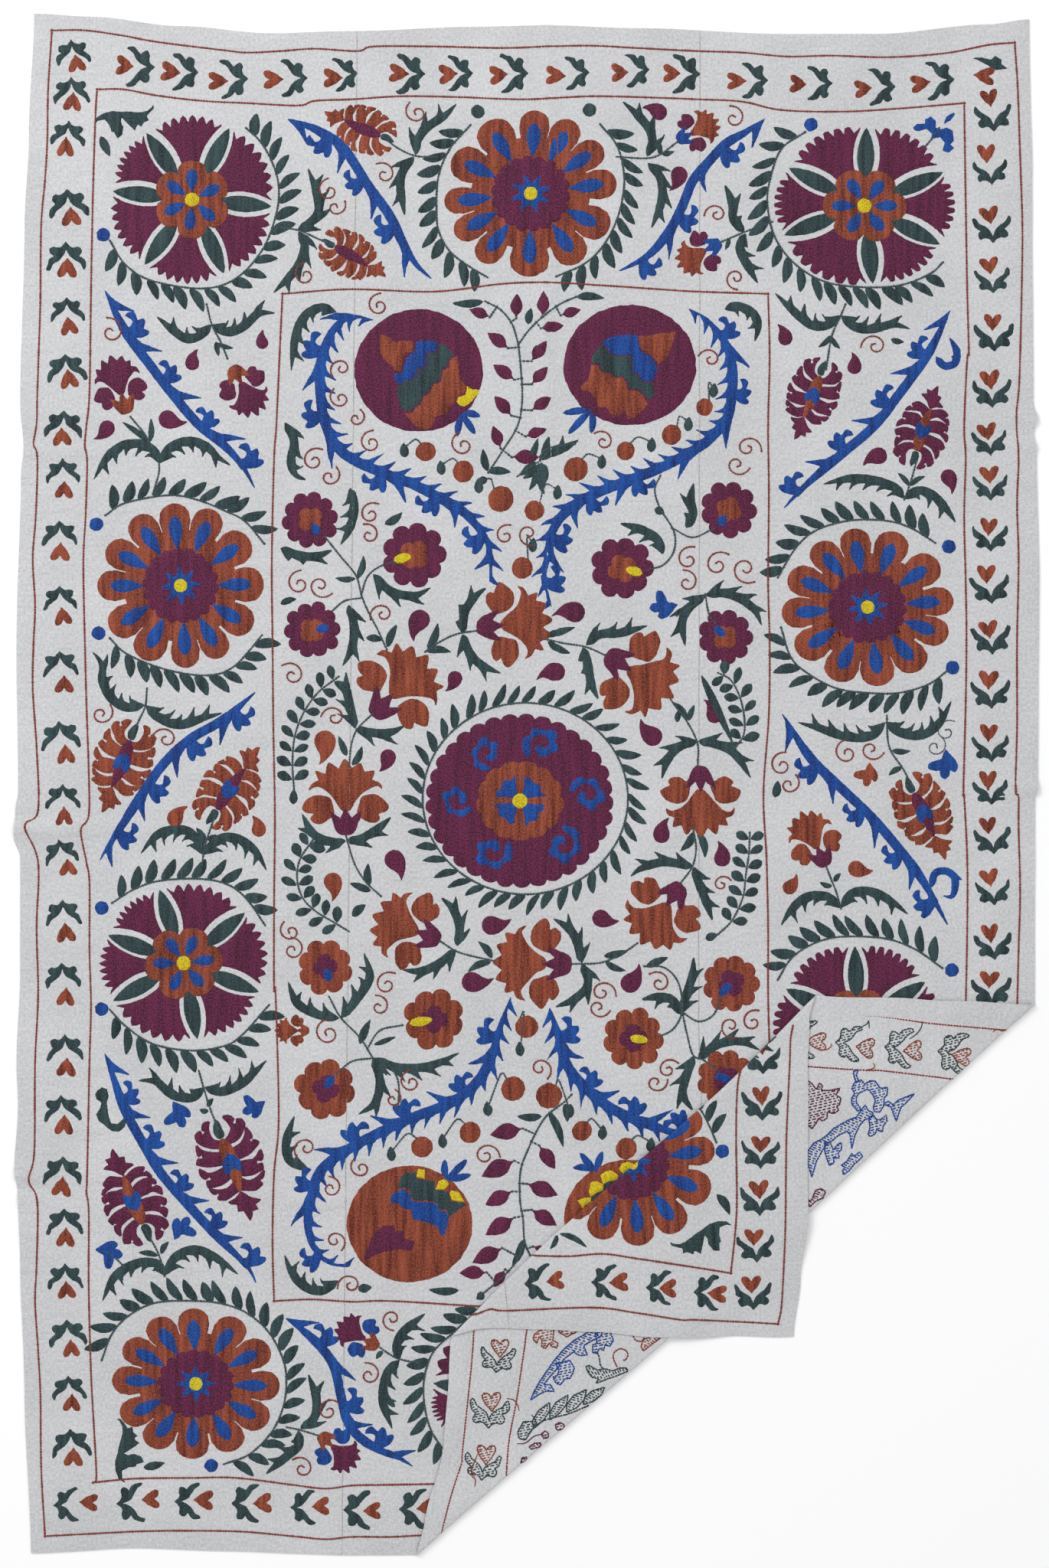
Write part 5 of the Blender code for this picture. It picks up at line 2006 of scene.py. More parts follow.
# The small round flowers inside the middle panel, purple above and rust below, each with a
# four-lobed heart and a blue or yellow pistil that leans to one side.
RoundFlower = namedtuple("RoundFlower", "x y radius lobes petals heart pistil pistil_x pistil_y long")
ROUND_FLOWERS = [
    RoundFlower(405, 679, 39, 10, "plum", "rust", "blue", 412, 691, 8),
    RoundFlower(541, 725, 44, 9, "plum", "rust", "yellow", 526, 729, 12),
    RoundFlower(408, 823, 39, 10, "plum", "rust", "blue", 421, 821, 9),
    RoundFlower(951, 666, 39, 9, "plum", "rust", "blue", 943, 680, 8),
    RoundFlower(812, 742, 43, 9, "plum", "rust", "yellow", 828, 746, 11),
    RoundFlower(947, 832, 38, 9, "plum", "rust", "blue", 940, 825, 9),
    RoundFlower(425, 1263, 38, 8, "rust", "plum", "blue", 428, 1273, 9),
    RoundFlower(567, 1331, 42, 8, "rust", "plum", "yellow", 550, 1334, 15),
    RoundFlower(425, 1422, 42, 8, "rust", "plum", "blue", 430, 1413, 10),
    RoundFlower(827, 1356, 42, 9, "rust", "plum", "yellow", 834, 1357, 12),
    RoundFlower(955, 1284, 40, 9, "rust", "plum", "blue", 947, 1292, 11),
    RoundFlower(948, 1409, 40, 9, "rust", "plum", "blue", 945, 1408, 12),
]
ROUND_LOBE_DEPTH = 0.21
ROUND_HEART_SHARE = 0.47
ROUND_HEART_DEPTH = 0.30
round_fillings = {dye: [] for dye in THREADS}
for flower in ROUND_FLOWERS:
    radius = 1.055 * flower.radius
    ring = lobed(flower.lobes, ROUND_LOBE_DEPTH, chance.uniform(0, 60), 0.62, 0.4)
    petals = [(x * radius, y * radius) for x, y in ring]
    round_fillings[flower.petals].append(set_down(petals, flower.x, flower.y))
    ring = lobed(4, ROUND_HEART_DEPTH, chance.uniform(0, 90), 0.55, 0.3)
    heart = [(x * radius * ROUND_HEART_SHARE, y * radius * ROUND_HEART_SHARE) for x, y in ring]
    round_fillings[flower.heart].append((set_down(heart, flower.x, flower.y), 0.9))
    lean = math.degrees(math.atan2(flower.y - flower.pistil_y, flower.pistil_x - flower.x))
    pistil = disc(flower.long, 6.3, 16, 0.1)
    pistil = set_down(pistil, flower.pistil_x, flower.pistil_y, lean, 1.1)
    round_fillings[flower.pistil].append((pistil, 1.8))
for dye, outlines in round_fillings.items():
    if outlines:
        embroider("round_flowers_" + dye, dye, outlines)


# The four pomegranates in the corners of the middle panel: large round fruits, two purple and two
# rust, with stepped bands of other colours across them and a small blue sprig beside each.
Fruit = namedtuple("Fruit", "dye x y radius_x radius_y")
Patch = namedtuple("Patch", "dye level chart")
FRUITS = [
    Fruit("plum", 546.8, 484.1, 85, 81),
    Fruit("plum", 822.5, 477, 87.5, 79.5),
    Fruit("rust", 535, 1598.5, 83, 77),
    Fruit("rust", 820, 1592, 84, 78),
]
FRUIT_PATCHES = [
    Patch("rust", 1, [
        (495.7, 435.7), (503.4, 438.1), (510.5, 441.6), (512.8, 445.7), (519.3, 446.9), (521.1, 445.1),
        (537.6, 445.1), (540.5, 446.9), (541.1, 457.5), (536.4, 460.5), (530.5, 462.2), (527, 470.5),
        (525.8, 479.9), (523.4, 486.4), (519.3, 485.3), (515.2, 484.7), (514, 479.9), (506.9, 475.2),
        (500.4, 468.1), (496.3, 461.1), (495.1, 448.1),
    ]),
    Patch("blue", 1, [
        (542.9, 446.9), (551.7, 444.6), (565.9, 445.1), (571.2, 446.9), (571.8, 454), (570, 458.7),
        (561.8, 459.9), (556.5, 462.2), (556.5, 477.6), (551.7, 480.5), (544.7, 481.1), (543.5, 489.4),
        (539.9, 495.3), (532.9, 497.6), (527, 497.6), (525.8, 503.5), (518.7, 501.2), (515.8, 496.5),
        (514.6, 487), (524.6, 487.6), (525.8, 482.3), (528.1, 475.2), (531.7, 467), (537.6, 461.1),
        (542.9, 456.3),
    ]),
    Patch("green", 1, [
        (573, 449.3), (582.4, 450.5), (588.3, 457.5), (593.6, 464.6), (588.3, 468.1), (585.4, 471.7),
        (584.8, 478.8), (577.1, 482.3), (575.9, 492.9), (575.3, 497.6), (565.9, 501.2), (562.4, 507.1),
        (560, 513), (551.7, 517.7), (549.4, 526), (542.3, 530.7), (538.8, 536.6), (530.5, 537.8),
        (523.4, 534.2), (519.3, 520.1), (518.7, 503.5), (525.8, 503.5), (527.6, 497.6), (537.6, 497.6),
        (543.5, 491.7), (544.7, 481.7), (556.5, 480.5), (557.6, 462.2), (563.5, 459.9), (571.8, 458.7),
    ]),
    Patch("rust", 1, [
        (597.8, 465.2), (599.5, 477.6), (600.7, 492.9), (607.2, 502.4), (610.7, 504.7), (608.4, 513),
        (597.8, 518.9), (596.6, 526), (588.3, 530.7), (583.6, 540.1), (577.7, 542.5), (568.9, 544.8),
        (565.9, 554.3), (561.2, 561.4), (555.3, 561.9), (544.7, 559), (536.4, 549.6), (528.1, 541.3),
        (530.5, 539.5), (538.8, 538.9), (542.9, 531.9), (549.4, 528.3), (552.9, 517.7), (560, 514.2),
        (563.5, 508.3), (565.9, 501.8), (575.9, 498.8), (578.3, 483.5), (586, 479.9), (587.1, 470.5),
        (594.2, 465.8),
    ]),
    Patch("yellow", 1.4, [
        (610.1, 504.7), (616.6, 508.3), (626.1, 509.4), (624.9, 514.2), (619, 521.2), (611.9, 528.3),
        (606, 531.3), (600.1, 529.5), (596.6, 524.8), (598.3, 518.9), (607.2, 516.5), (609, 510.6),
    ]),
    Patch("rust", 1, [
        (833, 438), (850, 438), (862, 435), (883, 433), (881, 442), (877, 452), (873, 466), (866, 472),
        (860, 476), (854, 470), (848, 463), (839, 459), (835, 452),
    ]),
    Patch("blue", 1, [
        (785, 448), (794, 441), (804, 438), (830, 437), (833, 439), (835, 453), (839, 460), (848, 464),
        (855, 472), (859, 482), (856.4, 490), (853, 499), (841, 499), (835, 494), (834, 488), (825, 486),
        (826, 476), (825, 465), (814, 464), (798, 463), (794, 456),
    ]),
    Patch("green", 1, [
        (784, 450), (794, 457), (798, 463.6), (814, 464.4), (825, 465.6), (825.6, 486), (834, 489),
        (835, 495), (842, 500), (853.6, 501), (855, 518), (848, 522), (842, 518), (836, 511), (826, 508),
        (820, 508), (819, 498), (812, 492), (802, 493), (798, 488), (786, 485), (782, 476), (772, 475),
        (773, 466),
    ]),
    Patch("rust", 1, [
        (772, 476), (781, 477), (786, 486), (796, 487), (804, 494), (812, 492.4), (818, 499), (820, 509),
        (832, 510), (840, 516), (842, 521), (847, 528), (838, 538), (828, 546), (820, 548), (816, 538),
        (810, 543), (800, 546), (796, 540), (792, 532), (780, 533), (776, 520), (770, 512), (759, 510),
        (758, 504), (768, 496),
    ]),
    Patch("green", 1, [
        (528, 1531), (545, 1531), (544, 1539), (555, 1540), (569, 1542), (568, 1552), (581, 1555),
        (587, 1558), (588, 1568), (601, 1570), (613, 1572), (601, 1579), (593, 1585), (586, 1590),
        (583, 1580), (573, 1580), (571, 1572), (561, 1568), (543, 1568), (535, 1564), (535, 1556),
        (531, 1551), (519, 1553), (522, 1540),
    ]),
    Patch("blue", 1, [
        (510, 1564), (513, 1558), (527, 1552), (534, 1557), (536, 1565), (541, 1569), (565, 1570),
        (573, 1574), (574, 1581), (583, 1582), (587, 1590), (585, 1598), (581, 1614), (575, 1612),
        (571, 1602), (561, 1598), (539, 1592), (536, 1580), (527, 1579), (521, 1572), (511, 1571),
    ]),
    Patch("yellow", 1.8, [
        (546, 1526.4), (555, 1527.6), (554.6, 1539), (544, 1537),
    ]),
    Patch("yellow", 1.8, [
        (573, 1542), (582, 1540), (586.6, 1546), (581, 1553), (569, 1554), (571, 1548),
    ]),
    Patch("yellow", 1.8, [
        (589, 1555), (598.6, 1556), (606.6, 1569.4), (591, 1568), (587, 1560),
    ]),
    Patch("plum", 1, [
        (474, 1648), (479, 1632), (485, 1616), (493, 1606), (501, 1600), (515, 1600), (517, 1608),
        (527, 1607), (529, 1617), (542, 1621), (538, 1634), (521, 1632), (507, 1634), (493, 1638),
        (483, 1643),
    ]),
    Patch("yellow", 1.8, [
        (754.2, 1568), (763.3, 1564.2), (771.3, 1563.7), (772.5, 1570), (765, 1573.3), (761.3, 1578.3),
    ]),
    Patch("yellow", 1.8, [
        (771.3, 1544.2), (779.2, 1542.5), (787.5, 1546.7), (788.3, 1555), (780, 1557.5), (771.7, 1562.5),
        (768.7, 1556.7),
    ]),
    Patch("yellow", 1.8, [
        (784.2, 1535), (790, 1530), (798.3, 1528.3), (807.5, 1535), (805.8, 1541.7), (795, 1542.5),
        (787.5, 1546.7),
    ]),
    Patch("yellow", 1.8, [
        (808.3, 1526.7), (811.7, 1520), (820, 1517), (830.8, 1521.7), (823.3, 1530), (813.3, 1533),
    ]),
    Patch("green", 1, [
        (770.8, 1564.2), (779.2, 1556.7), (785, 1555), (788.3, 1546.7), (797.5, 1542), (805, 1541.3),
        (808.3, 1535.8), (818.3, 1530.8), (833.3, 1525), (833.3, 1540), (806.7, 1556.7), (780, 1583.3),
        (771.7, 1573.3),
    ]),
]
SPRIGS = [
    ((603, 541), (628, 544), (621, 568), (597, 571)),
    ((772, 535), (734, 540), (741, 568), (772, 567)),
    ((583, 1540), (581, 1514), (611, 1513), (616, 1534)),
    ((779, 1530), (757, 1505), (787, 1503), (747, 1525)),
]
SPRIG_LOBE = 0.0105
FRUIT_FULLER = 1.055


def fruit_disc(fruit):
    edge = disc(FRUIT_FULLER * fruit.radius_x, FRUIT_FULLER * fruit.radius_y, 70, 0.018)
    return set_down(edge, fruit.x, fruit.y)


embroider("fruits_plum", "plum", [fruit_disc(fruit) for fruit in FRUITS if fruit.dye == "plum"])
embroider("fruits_rust", "rust", [fruit_disc(fruit) for fruit in FRUITS if fruit.dye == "rust"])
for dye in THREADS:
    patches = [(seen(patch.chart), patch.level) for patch in FRUIT_PATCHES if patch.dye == dye]
    if patches:
        embroider("fruit_patches_" + dye, dye, patches)
sprigs = []
for root, *tips in SPRIGS:
    for tip in tips:
        run = at(*tip) - at(*root)
        bow = chance.uniform(-0.08, 0.08)
        sprigs.append((blade_between(at(*root) - run * 0.12, at(*tip), SPRIG_LOBE, bow, 0.56, 0.62), 0.05))
embroider("fruit_sprigs", "blue", sprigs)


# The berries: small round fruits in rust, each on a short green stem with a bud.
Berry = namedtuple("Berry", "x y radius bud_x bud_y")
BERRIES = [
    Berry(556, 590, 14, 529, 590), Berry(605, 616, 15, 577, 613), Berry(654, 652, 18, 626, 637),
    Berry(698, 667, 14, 727, 645), Berry(682, 742, 15, 695, 714), Berry(752, 613, 17, 785, 605),
    Berry(817, 589, 13, 850, 583), Berry(877, 568, 14, 898, 556), Berry(920, 532, 12, 931, 512),
    Berry(688, 1341, 16, 680, 1372), Berry(670, 1422, 17, 638, 1450), Berry(717, 1431, 18, 743, 1453),
    Berry(614, 1479, 15, 579, 1492), Berry(551, 1498, 15, 512, 1509), Berry(760, 1477, 14, 786, 1481),
    Berry(818, 1500, 15, 849, 1497),
]
BERRY_BUD_WIDTH = 13
BERRY_STEM_WIDTH = 0.0027
berries = []
berry_buds = []
berry_stems = []
for berry in BERRIES:
    round_edge = disc(1.055 * berry.radius, 1.0 * berry.radius, 24, 0.05)
    berries.append(set_down(round_edge, berry.x, berry.y, chance.uniform(0, 90)))
    away = 1 if berry.bud_x > berry.x else -1
    bud_tip = (berry.bud_x + 2 * away, berry.bud_y - 12)
    berry_buds.append((leaf(berry.bud_x, berry.bud_y + 8, *bud_tip, BERRY_BUD_WIDTH, 0), 0.1))
    root = (berry.x + away * berry.radius * 0.5, berry.y - berry.radius * 0.8)
    over = ((berry.x + berry.bud_x) / 2, min(berry.y - berry.radius, berry.bud_y - 10) - 2)
    berry_stems.append(smooth_path(seen([root, over, (berry.bud_x, berry.bud_y - 6)]), 0.003))
embroider("berries", "rust", berries)
embroider("berry_buds", "green", berry_buds)
chain_stitched("berry_stems", GREEN_LINE, berry_stems, on_cover, BERRY_STEM_WIDTH)


# Two tall stalks of purple seed drops, one between each pair of pomegranates, with a few leaves.
UPPER_STALK = [(638, 617), (655, 591), (676, 556), (682, 521), (680, 480), (677, 450)]
UPPER_FORKS = [
    [(677, 450), (669, 424), (654, 405), (634, 394)],
    [(677, 450), (691, 431), (711, 412), (732, 397), (752, 388)],
]
LOWER_STALK = [
    (730, 1444), (714, 1457), (702, 1475), (691, 1498), (680, 1528), (679, 1566), (683, 1592), (685, 1621),
    (692, 1639),
]
LOWER_FORKS = [[(685, 1621), (676, 1645), (656, 1668), (630, 1690)], [(746, 1430), (736, 1440), (730, 1444)]]
Drop = namedtuple("Drop", "x y tip_x tip_y width")
STALK_DROPS = [
    Drop(640, 414, 614, 406, 15), Drop(674, 416, 677, 384, 15), Drop(708, 414, 708, 382, 15),
    Drop(732, 412, 758, 406, 15), Drop(706, 429, 736, 427, 15), Drop(664, 455, 637, 437, 15),
    Drop(694, 472, 714, 448, 15), Drop(672, 496, 645, 479, 15), Drop(694, 502, 716, 481, 15),
    Drop(668, 543, 644, 518, 16), Drop(694, 536, 722, 520, 16), Drop(654, 586, 643, 558, 16),
    Drop(686, 570, 714, 562, 16), Drop(668, 597, 703, 599, 18),
    Drop(683, 1474, 642, 1484, 16), Drop(704, 1496, 724, 1528, 16), Drop(672, 1516, 631, 1538, 16),
    Drop(688, 1546, 726, 1562, 16), Drop(669, 1556, 634, 1576, 16), Drop(694, 1580, 726, 1602, 16),
    Drop(672, 1590, 636, 1614, 16), Drop(656, 1630, 620, 1650, 16), Drop(636, 1662, 602, 1664, 16),
    Drop(660, 1658, 646, 1682, 16), Drop(696, 1628, 712, 1634, 10),
]
STALK_LEAVES = [
    [(632, 394), (612, 396), (589, 396)], [(752, 388), (772, 390), (790, 390)],
    [(690, 424), (692, 413), (694, 402)],
    [(637, 616), (634, 601), (631, 586)], [(637, 616), (652, 622), (668, 617)],
    [(637, 626), (630, 634), (622, 628)],
    [(706, 606), (694, 618), (682, 626)],
    [(708, 1458), (690, 1450), (674, 1458)], [(716, 1450), (727, 1478), (736, 1500)],
    [(684, 1618), (672, 1640), (668, 1655)], [(632, 1688), (624, 1700), (622, 1697)],
    [(600, 1685), (575, 1682), (558, 1684)], [(738, 1441), (743, 1457), (741, 1466)],
]
SPRAYS_BY_STALK = [
    ToothedLeaf(1, [(702, 598), (720, 593), (738, 585), (757, 574)]),
    ToothedLeaf(-1, [(707, 606), (712, 620), (706, 634), (711, 646)]),
]
STALK_WIDTH = 0.0032
STALK_DROP = [
    (0, 0), (2.2, 4), (7, 9), (8.8, 15), (6.8, 22), (1.5, 31), (-3.5, 24), (-6.6, 16), (-5.6, 9),
    (-1.6, 4),
]


STALK_DROP_LENGTH = 31


def stalk_drop(drop):
    """The outline of one drop in millimetres, turned and sized to reach its tip."""
    run = at(drop.tip_x, drop.tip_y) - at(drop.x, drop.y)
    angle = math.degrees(math.atan2(run[1], run[0])) - 90
    size = np.hypot(*run) * 1000 / STALK_DROP_LENGTH * chance.uniform(1.0, 1.1)
    return set_down(drawn(STALK_DROP, (5,)), drop.x, drop.y, angle, size, drop.tip_x > drop.x)


embroider("stalk_drops", "plum", [stalk_drop(drop) for drop in STALK_DROPS])
embroider(
    "stalk_leaves",
    "green",
    [leaf(*chart[0], *chart[-1], 12, 0.05) for chart in STALK_LEAVES]
    + [toothed_leaf(spray.chart, spray.side, 11, 13) for spray in SPRAYS_BY_STALK],
)
stalk_lines = paths_through([UPPER_STALK, *UPPER_FORKS, LOWER_STALK, *LOWER_FORKS])
for d in STALK_DROPS:
    main = np.vstack(stalk_lines)
    start = at(d.x, d.y)
    nearest = main[np.argmin(((main - start) ** 2).sum(1))]
    stalk_lines.append(smooth_path([nearest, start], 0.003))
chain_stitched("stalk_lines", GREEN_LINE, stalk_lines, on_cover, STALK_WIDTH)


# The fine green stems that join the flowers to their leaves, and the small plain leaves on them.
STEMS = [
    [(360, 297), (390, 301), (415, 312), (432, 319)],
    [(570, 205), (543, 204), (520, 194), (503, 181)],
    [(806, 205), (843, 207), (862, 202), (884, 186)],
    [(1008, 290), (973, 303), (940, 317)],
    [(270, 398), (277, 425), (288, 446), (297, 468)],
    [(1104, 398), (1098, 412), (1086, 440), (1079, 482)],
    [(200, 645), (208, 608), (192, 572), (171, 545)],
    [(1181, 652), (1189, 630), (1197, 602)],
    [(192, 900), (190, 922), (182, 940), (174, 958)],
    [(264, 1130), (267, 1108), (274, 1085), (281, 1066)],
    [(1158, 935), (1161, 975), (1179, 1004), (1192, 1028)],
    [(1098, 1186), (1092, 1165), (1086, 1150), (1079, 1132)],
    [(260, 1399), (267, 1424), (275, 1449), (285, 1474)],
    [(215, 1666), (208, 1640), (198, 1620), (188, 1604)],
    [(375, 1864), (390, 1867), (417, 1875)],
    [(545, 1780), (522, 1775), (508, 1768), (494, 1758)],
    [(425, 702), (445, 727), (465, 752), (472, 777), (480, 797), (493, 822), (505, 848)],
    [(520, 734), (498, 739), (480, 753), (472, 777)],
    [(435, 797), (450, 785), (472, 781)],
    [(487, 932), (467, 952), (459, 972), (456, 1000)],
    [(452, 1092), (463, 1128), (478, 1152), (497, 1170)],
    [(573, 1228), (600, 1244), (645, 1255)],
    [(748, 1259), (786, 1257), (816, 1243), (832, 1232)],
    [(889, 1153), (904, 1132), (909, 1108), (905, 1082)],
    [(911, 1000), (911, 972), (898, 944), (876, 914)],
    [(708, 834), (735, 840), (765, 845), (793, 857)],
    [(556, 851), (575, 838), (597, 828), (622, 824)],
    [(430, 1302), (445, 1329), (470, 1355), (487, 1382)],
    [(525, 1339), (496, 1346), (480, 1369)],
    [(440, 1402), (460, 1386), (487, 1382)],
    [(505, 1385), (520, 1412), (520, 1449)],
    [(941, 1302), (932, 1325), (912, 1334), (891, 1322)],
    [(861, 1354), (880, 1343), (891, 1319), (886, 1284), (868, 1264), (842, 1262)],
    [(891, 1322), (897, 1350), (905, 1378), (918, 1384), (940, 1400)],
    [(846, 744), (866, 738), (880, 720), (880, 694), (862, 664), (855, 640), (862, 622)],
    [(878, 690), (904, 702), (931, 691)],
    [(884, 804), (900, 795), (921, 778)],
    [(921, 777), (926, 802), (937, 818)],
    [(705, 600), (712, 588), (730, 582), (750, 580)],
    [(676, 622), (690, 612), (705, 602), (716, 590)],
    [(142, 1636), (152, 1644), (163, 1655)],
    [(1208, 192), (1218, 180), (1226, 168)],
]
PLAIN_LEAVES = [
    (131, 178, 144, 205, 13), (862, 203, 861, 184, 8), (864, 202, 881, 198, 8), (953, 311, 947, 327, 7),
    (1163, 443, 1181, 447, 9), (1086, 438, 1068, 454, 8), (1085, 440, 1098, 456, 8), (282, 446, 286, 466, 8),
    (283, 448, 306, 455, 7), (196, 578, 158, 550, 9), (196, 578, 197, 545, 9), (1188, 635, 1172, 617, 8),
    (1188, 635, 1209, 622, 8), (269, 1104, 255, 1080, 9), (271, 1098, 284, 1090, 8),
    (1164, 980, 1190, 981, 9),
    (1178, 1002, 1160, 1013, 9), (1089, 1152, 1098, 1140, 8), (1087, 1158, 1070, 1152, 8),
    (273, 1451, 260, 1449, 8), (271, 1446, 279, 1434, 8), (207, 1640, 180, 1636, 9),
    (210, 1638, 221, 1621, 9),
    (187, 1917, 216, 1910, 12), (500, 1764, 491, 1775, 8), (467, 1683, 486, 1681, 13),
    (366, 789, 388, 782, 10),
    (502, 685, 526, 669, 12), (465, 756, 437, 755, 9), (466, 757, 475, 724, 10), (478, 833, 501, 836, 11),
    (506, 846, 519, 815, 12), (558, 848, 572, 813, 12), (557, 851, 590, 852, 11), (453, 988, 442, 961, 10),
    (460, 1000, 473, 974, 11), (712, 831, 752, 819, 11), (715, 838, 746, 854, 11), (898, 942, 876, 916, 10),
    (899, 942, 907, 920, 9), (884, 944, 889, 925, 9), (907, 1086, 888, 1112, 12), (911, 1086, 921, 1122, 12),
    (482, 1158, 481, 1127, 12), (485, 1164, 456, 1153, 11), (460, 1197, 478, 1181, 13),
    (643, 1252, 624, 1229, 11),
    (642, 1256, 610, 1270, 11), (788, 1249, 821, 1241, 11), (790, 1256, 818, 1268, 10),
    (470, 1364, 484, 1331, 12),
    (488, 1365, 518, 1354, 8), (843, 1263, 874, 1250, 11), (1012, 1042, 1016, 1019, 13),
    (855, 664, 868, 671, 12),
    (690, 603, 703, 570, 11), (707, 594, 718, 568, 10), (716, 590, 751, 581, 10), (700, 603, 678, 622, 11),
    (704, 603, 690, 642, 12), (706, 603, 711, 634, 12), (516, 1838, 503, 1820, 9),
]
embroider(
    "plain_leaves",
    "green",
    [(leaf(*leaf_place, chance.uniform(-0.1, 0.1)), 0.05) for leaf_place in PLAIN_LEAVES],
)
CORNER_PLAIN_LEAVES = [(936, 1559, 953, 1587, 13), (730, 1610, 768, 1630, 9), (728, 1612, 718, 1631, 8)]
embroider(
    "corner_plain_leaves",
    "green",
    [leaf(x, y, tip_x, tip_y, width, 0.08) for x, y, tip_x, tip_y, width in CORNER_PLAIN_LEAVES],
    on_corner,
)


# Four leafy sprays, two on each side of the middle, with oval leaves in pairs.
Spray = namedtuple("Spray", "chart end")
SPRAYS = [
    Spray([(442, 884), (415, 905), (396, 932), (385, 962), (382, 997), (384, 1030)], (383, 1051)),
    Spray([(408, 1098), (392, 1122), (388, 1147), (395, 1172), (412, 1190), (435, 1204), (455, 1216)], None),
    Spray([(938, 879), (954, 888), (966, 910), (972, 938), (971, 960), (960, 977)], (915, 880)),
    Spray([(979, 1088), (978, 1114), (974, 1142), (970, 1172), (956, 1202), (938, 1220)], (921, 1226)),
]
SPRAY_STEP = 0.0195
SPRAY_LEAF_WIDTH = 0.0132
SPRAY_LEAF_LEAN = 0.011
STEM_WIDTH = 0.0031
sprays = []
for spray in SPRAYS:
    course = Course(*spray.chart)
    for index in range(int(course.length / SPRAY_STEP)):
        along = (index + 0.45) * SPRAY_STEP
        for side in (1, -1):
            root = course.beside(along, side * 0.001)
            away = course.beside(along - SPRAY_LEAF_LEAN, side * chance.uniform(0.019, 0.0225))
            width = SPRAY_LEAF_WIDTH * chance.uniform(0.88, 1.12)
            sprays.append((blade_between(root, away, width, 0, 0.58, 0.62), 0.05))
    if spray.end:
        sprays.append((blade_between(course.path[-1], at(*spray.end), 0.012, 0, 0.6, 0.6), 0.05))
    STEMS.append(spray.chart)
embroider("sprays", "green", sprays)
chain_stitched("stems", GREEN_LINE, paths_through(STEMS), on_cover, STEM_WIDTH)


# Loose seed drops between the flowers, purple and rust, each with its tail bent over.
LooseDrop = namedtuple("LooseDrop", "dye x y tip_x tip_y bow")
PAISLEY = [
    (0, 0), (6, 1.5), (10.4, 6), (11.6, 12), (10, 18), (7, 24), (5.6, 30), (7.5, 38), (0, 33), (-6, 27),
    (-10.5, 20), (-12, 12.5), (-10.5, 6), (-5.5, 1.2),
]


PAISLEY_LENGTH = 38
PAISLEY_FULLER = 1.04


def paisley(drop):
    """A drop with a round head at its first place and a bent tail at its second."""
    run = at(drop.tip_x, drop.tip_y) - at(drop.x, drop.y)
    size = np.hypot(*run) * 1000 / PAISLEY_LENGTH
    angle = math.degrees(math.atan2(run[1], run[0])) - 90
    return set_down(drawn(PAISLEY, (7,)), drop.x, drop.y, angle, size * PAISLEY_FULLER, drop.bow > 0)


LOOSE_DROPS = [
    LooseDrop("plum", 250, 484, 254, 455, -0.3), LooseDrop("plum", 344, 456, 340, 431, -0.2),
    LooseDrop("plum", 208, 543, 242, 557, 0.3), LooseDrop("plum", 146, 551, 127, 577, -0.2),
    LooseDrop("plum", 1028, 451, 1020, 422, 0.25), LooseDrop("plum", 1115, 489, 1117, 460, 0.25),
    LooseDrop("plum", 1158, 592, 1125, 603, 0.2), LooseDrop("plum", 1234, 614, 1248, 643, -0.3),
    LooseDrop("plum", 555, 798, 534, 834, 0.2), LooseDrop("plum", 764, 801, 722, 797, 0.2),
    LooseDrop("plum", 598, 877, 586, 905, -0.3), LooseDrop("plum", 738, 876, 700, 881, 0.2),
    LooseDrop("plum", 510, 979, 500, 1010, -0.35), LooseDrop("plum", 862, 970, 832, 944, -0.2),
    LooseDrop("plum", 862, 1101, 868, 1067, -0.1), LooseDrop("plum", 508, 1112, 530, 1146, -0.2),
    LooseDrop("plum", 629, 1209, 668, 1207, 0.15), LooseDrop("plum", 774, 1195, 807, 1208, 0.2),
    LooseDrop("plum", 603, 1281, 644, 1285, 0.2), LooseDrop("plum", 815, 1294, 840, 1263, 0.15),
    LooseDrop("plum", 890, 218, 880, 251, -0.25), LooseDrop("plum", 870, 152, 841, 136, 0.1),
    LooseDrop("plum", 937, 944, 925, 912, 0.1), LooseDrop("plum", 943, 1132, 943, 1098, 0.1),
    LooseDrop("rust", 223, 1078, 241, 1050, -0.25), LooseDrop("rust", 340, 1093, 334, 1064, 0.2),
    LooseDrop("rust", 1108, 1131, 1139, 1142, 0.2), LooseDrop("rust", 1025, 1166, 1044, 1144, 0.2),
    LooseDrop("rust", 424, 954, 425, 998, -0.1), LooseDrop("rust", 432, 1140, 440, 1176, -0.1),
]
for dye in ("plum", "rust"):
    embroider(
        "loose_drops_" + dye,
        dye,
        [paisley(drop) for drop in LOOSE_DROPS if drop.dye == dye],
    )


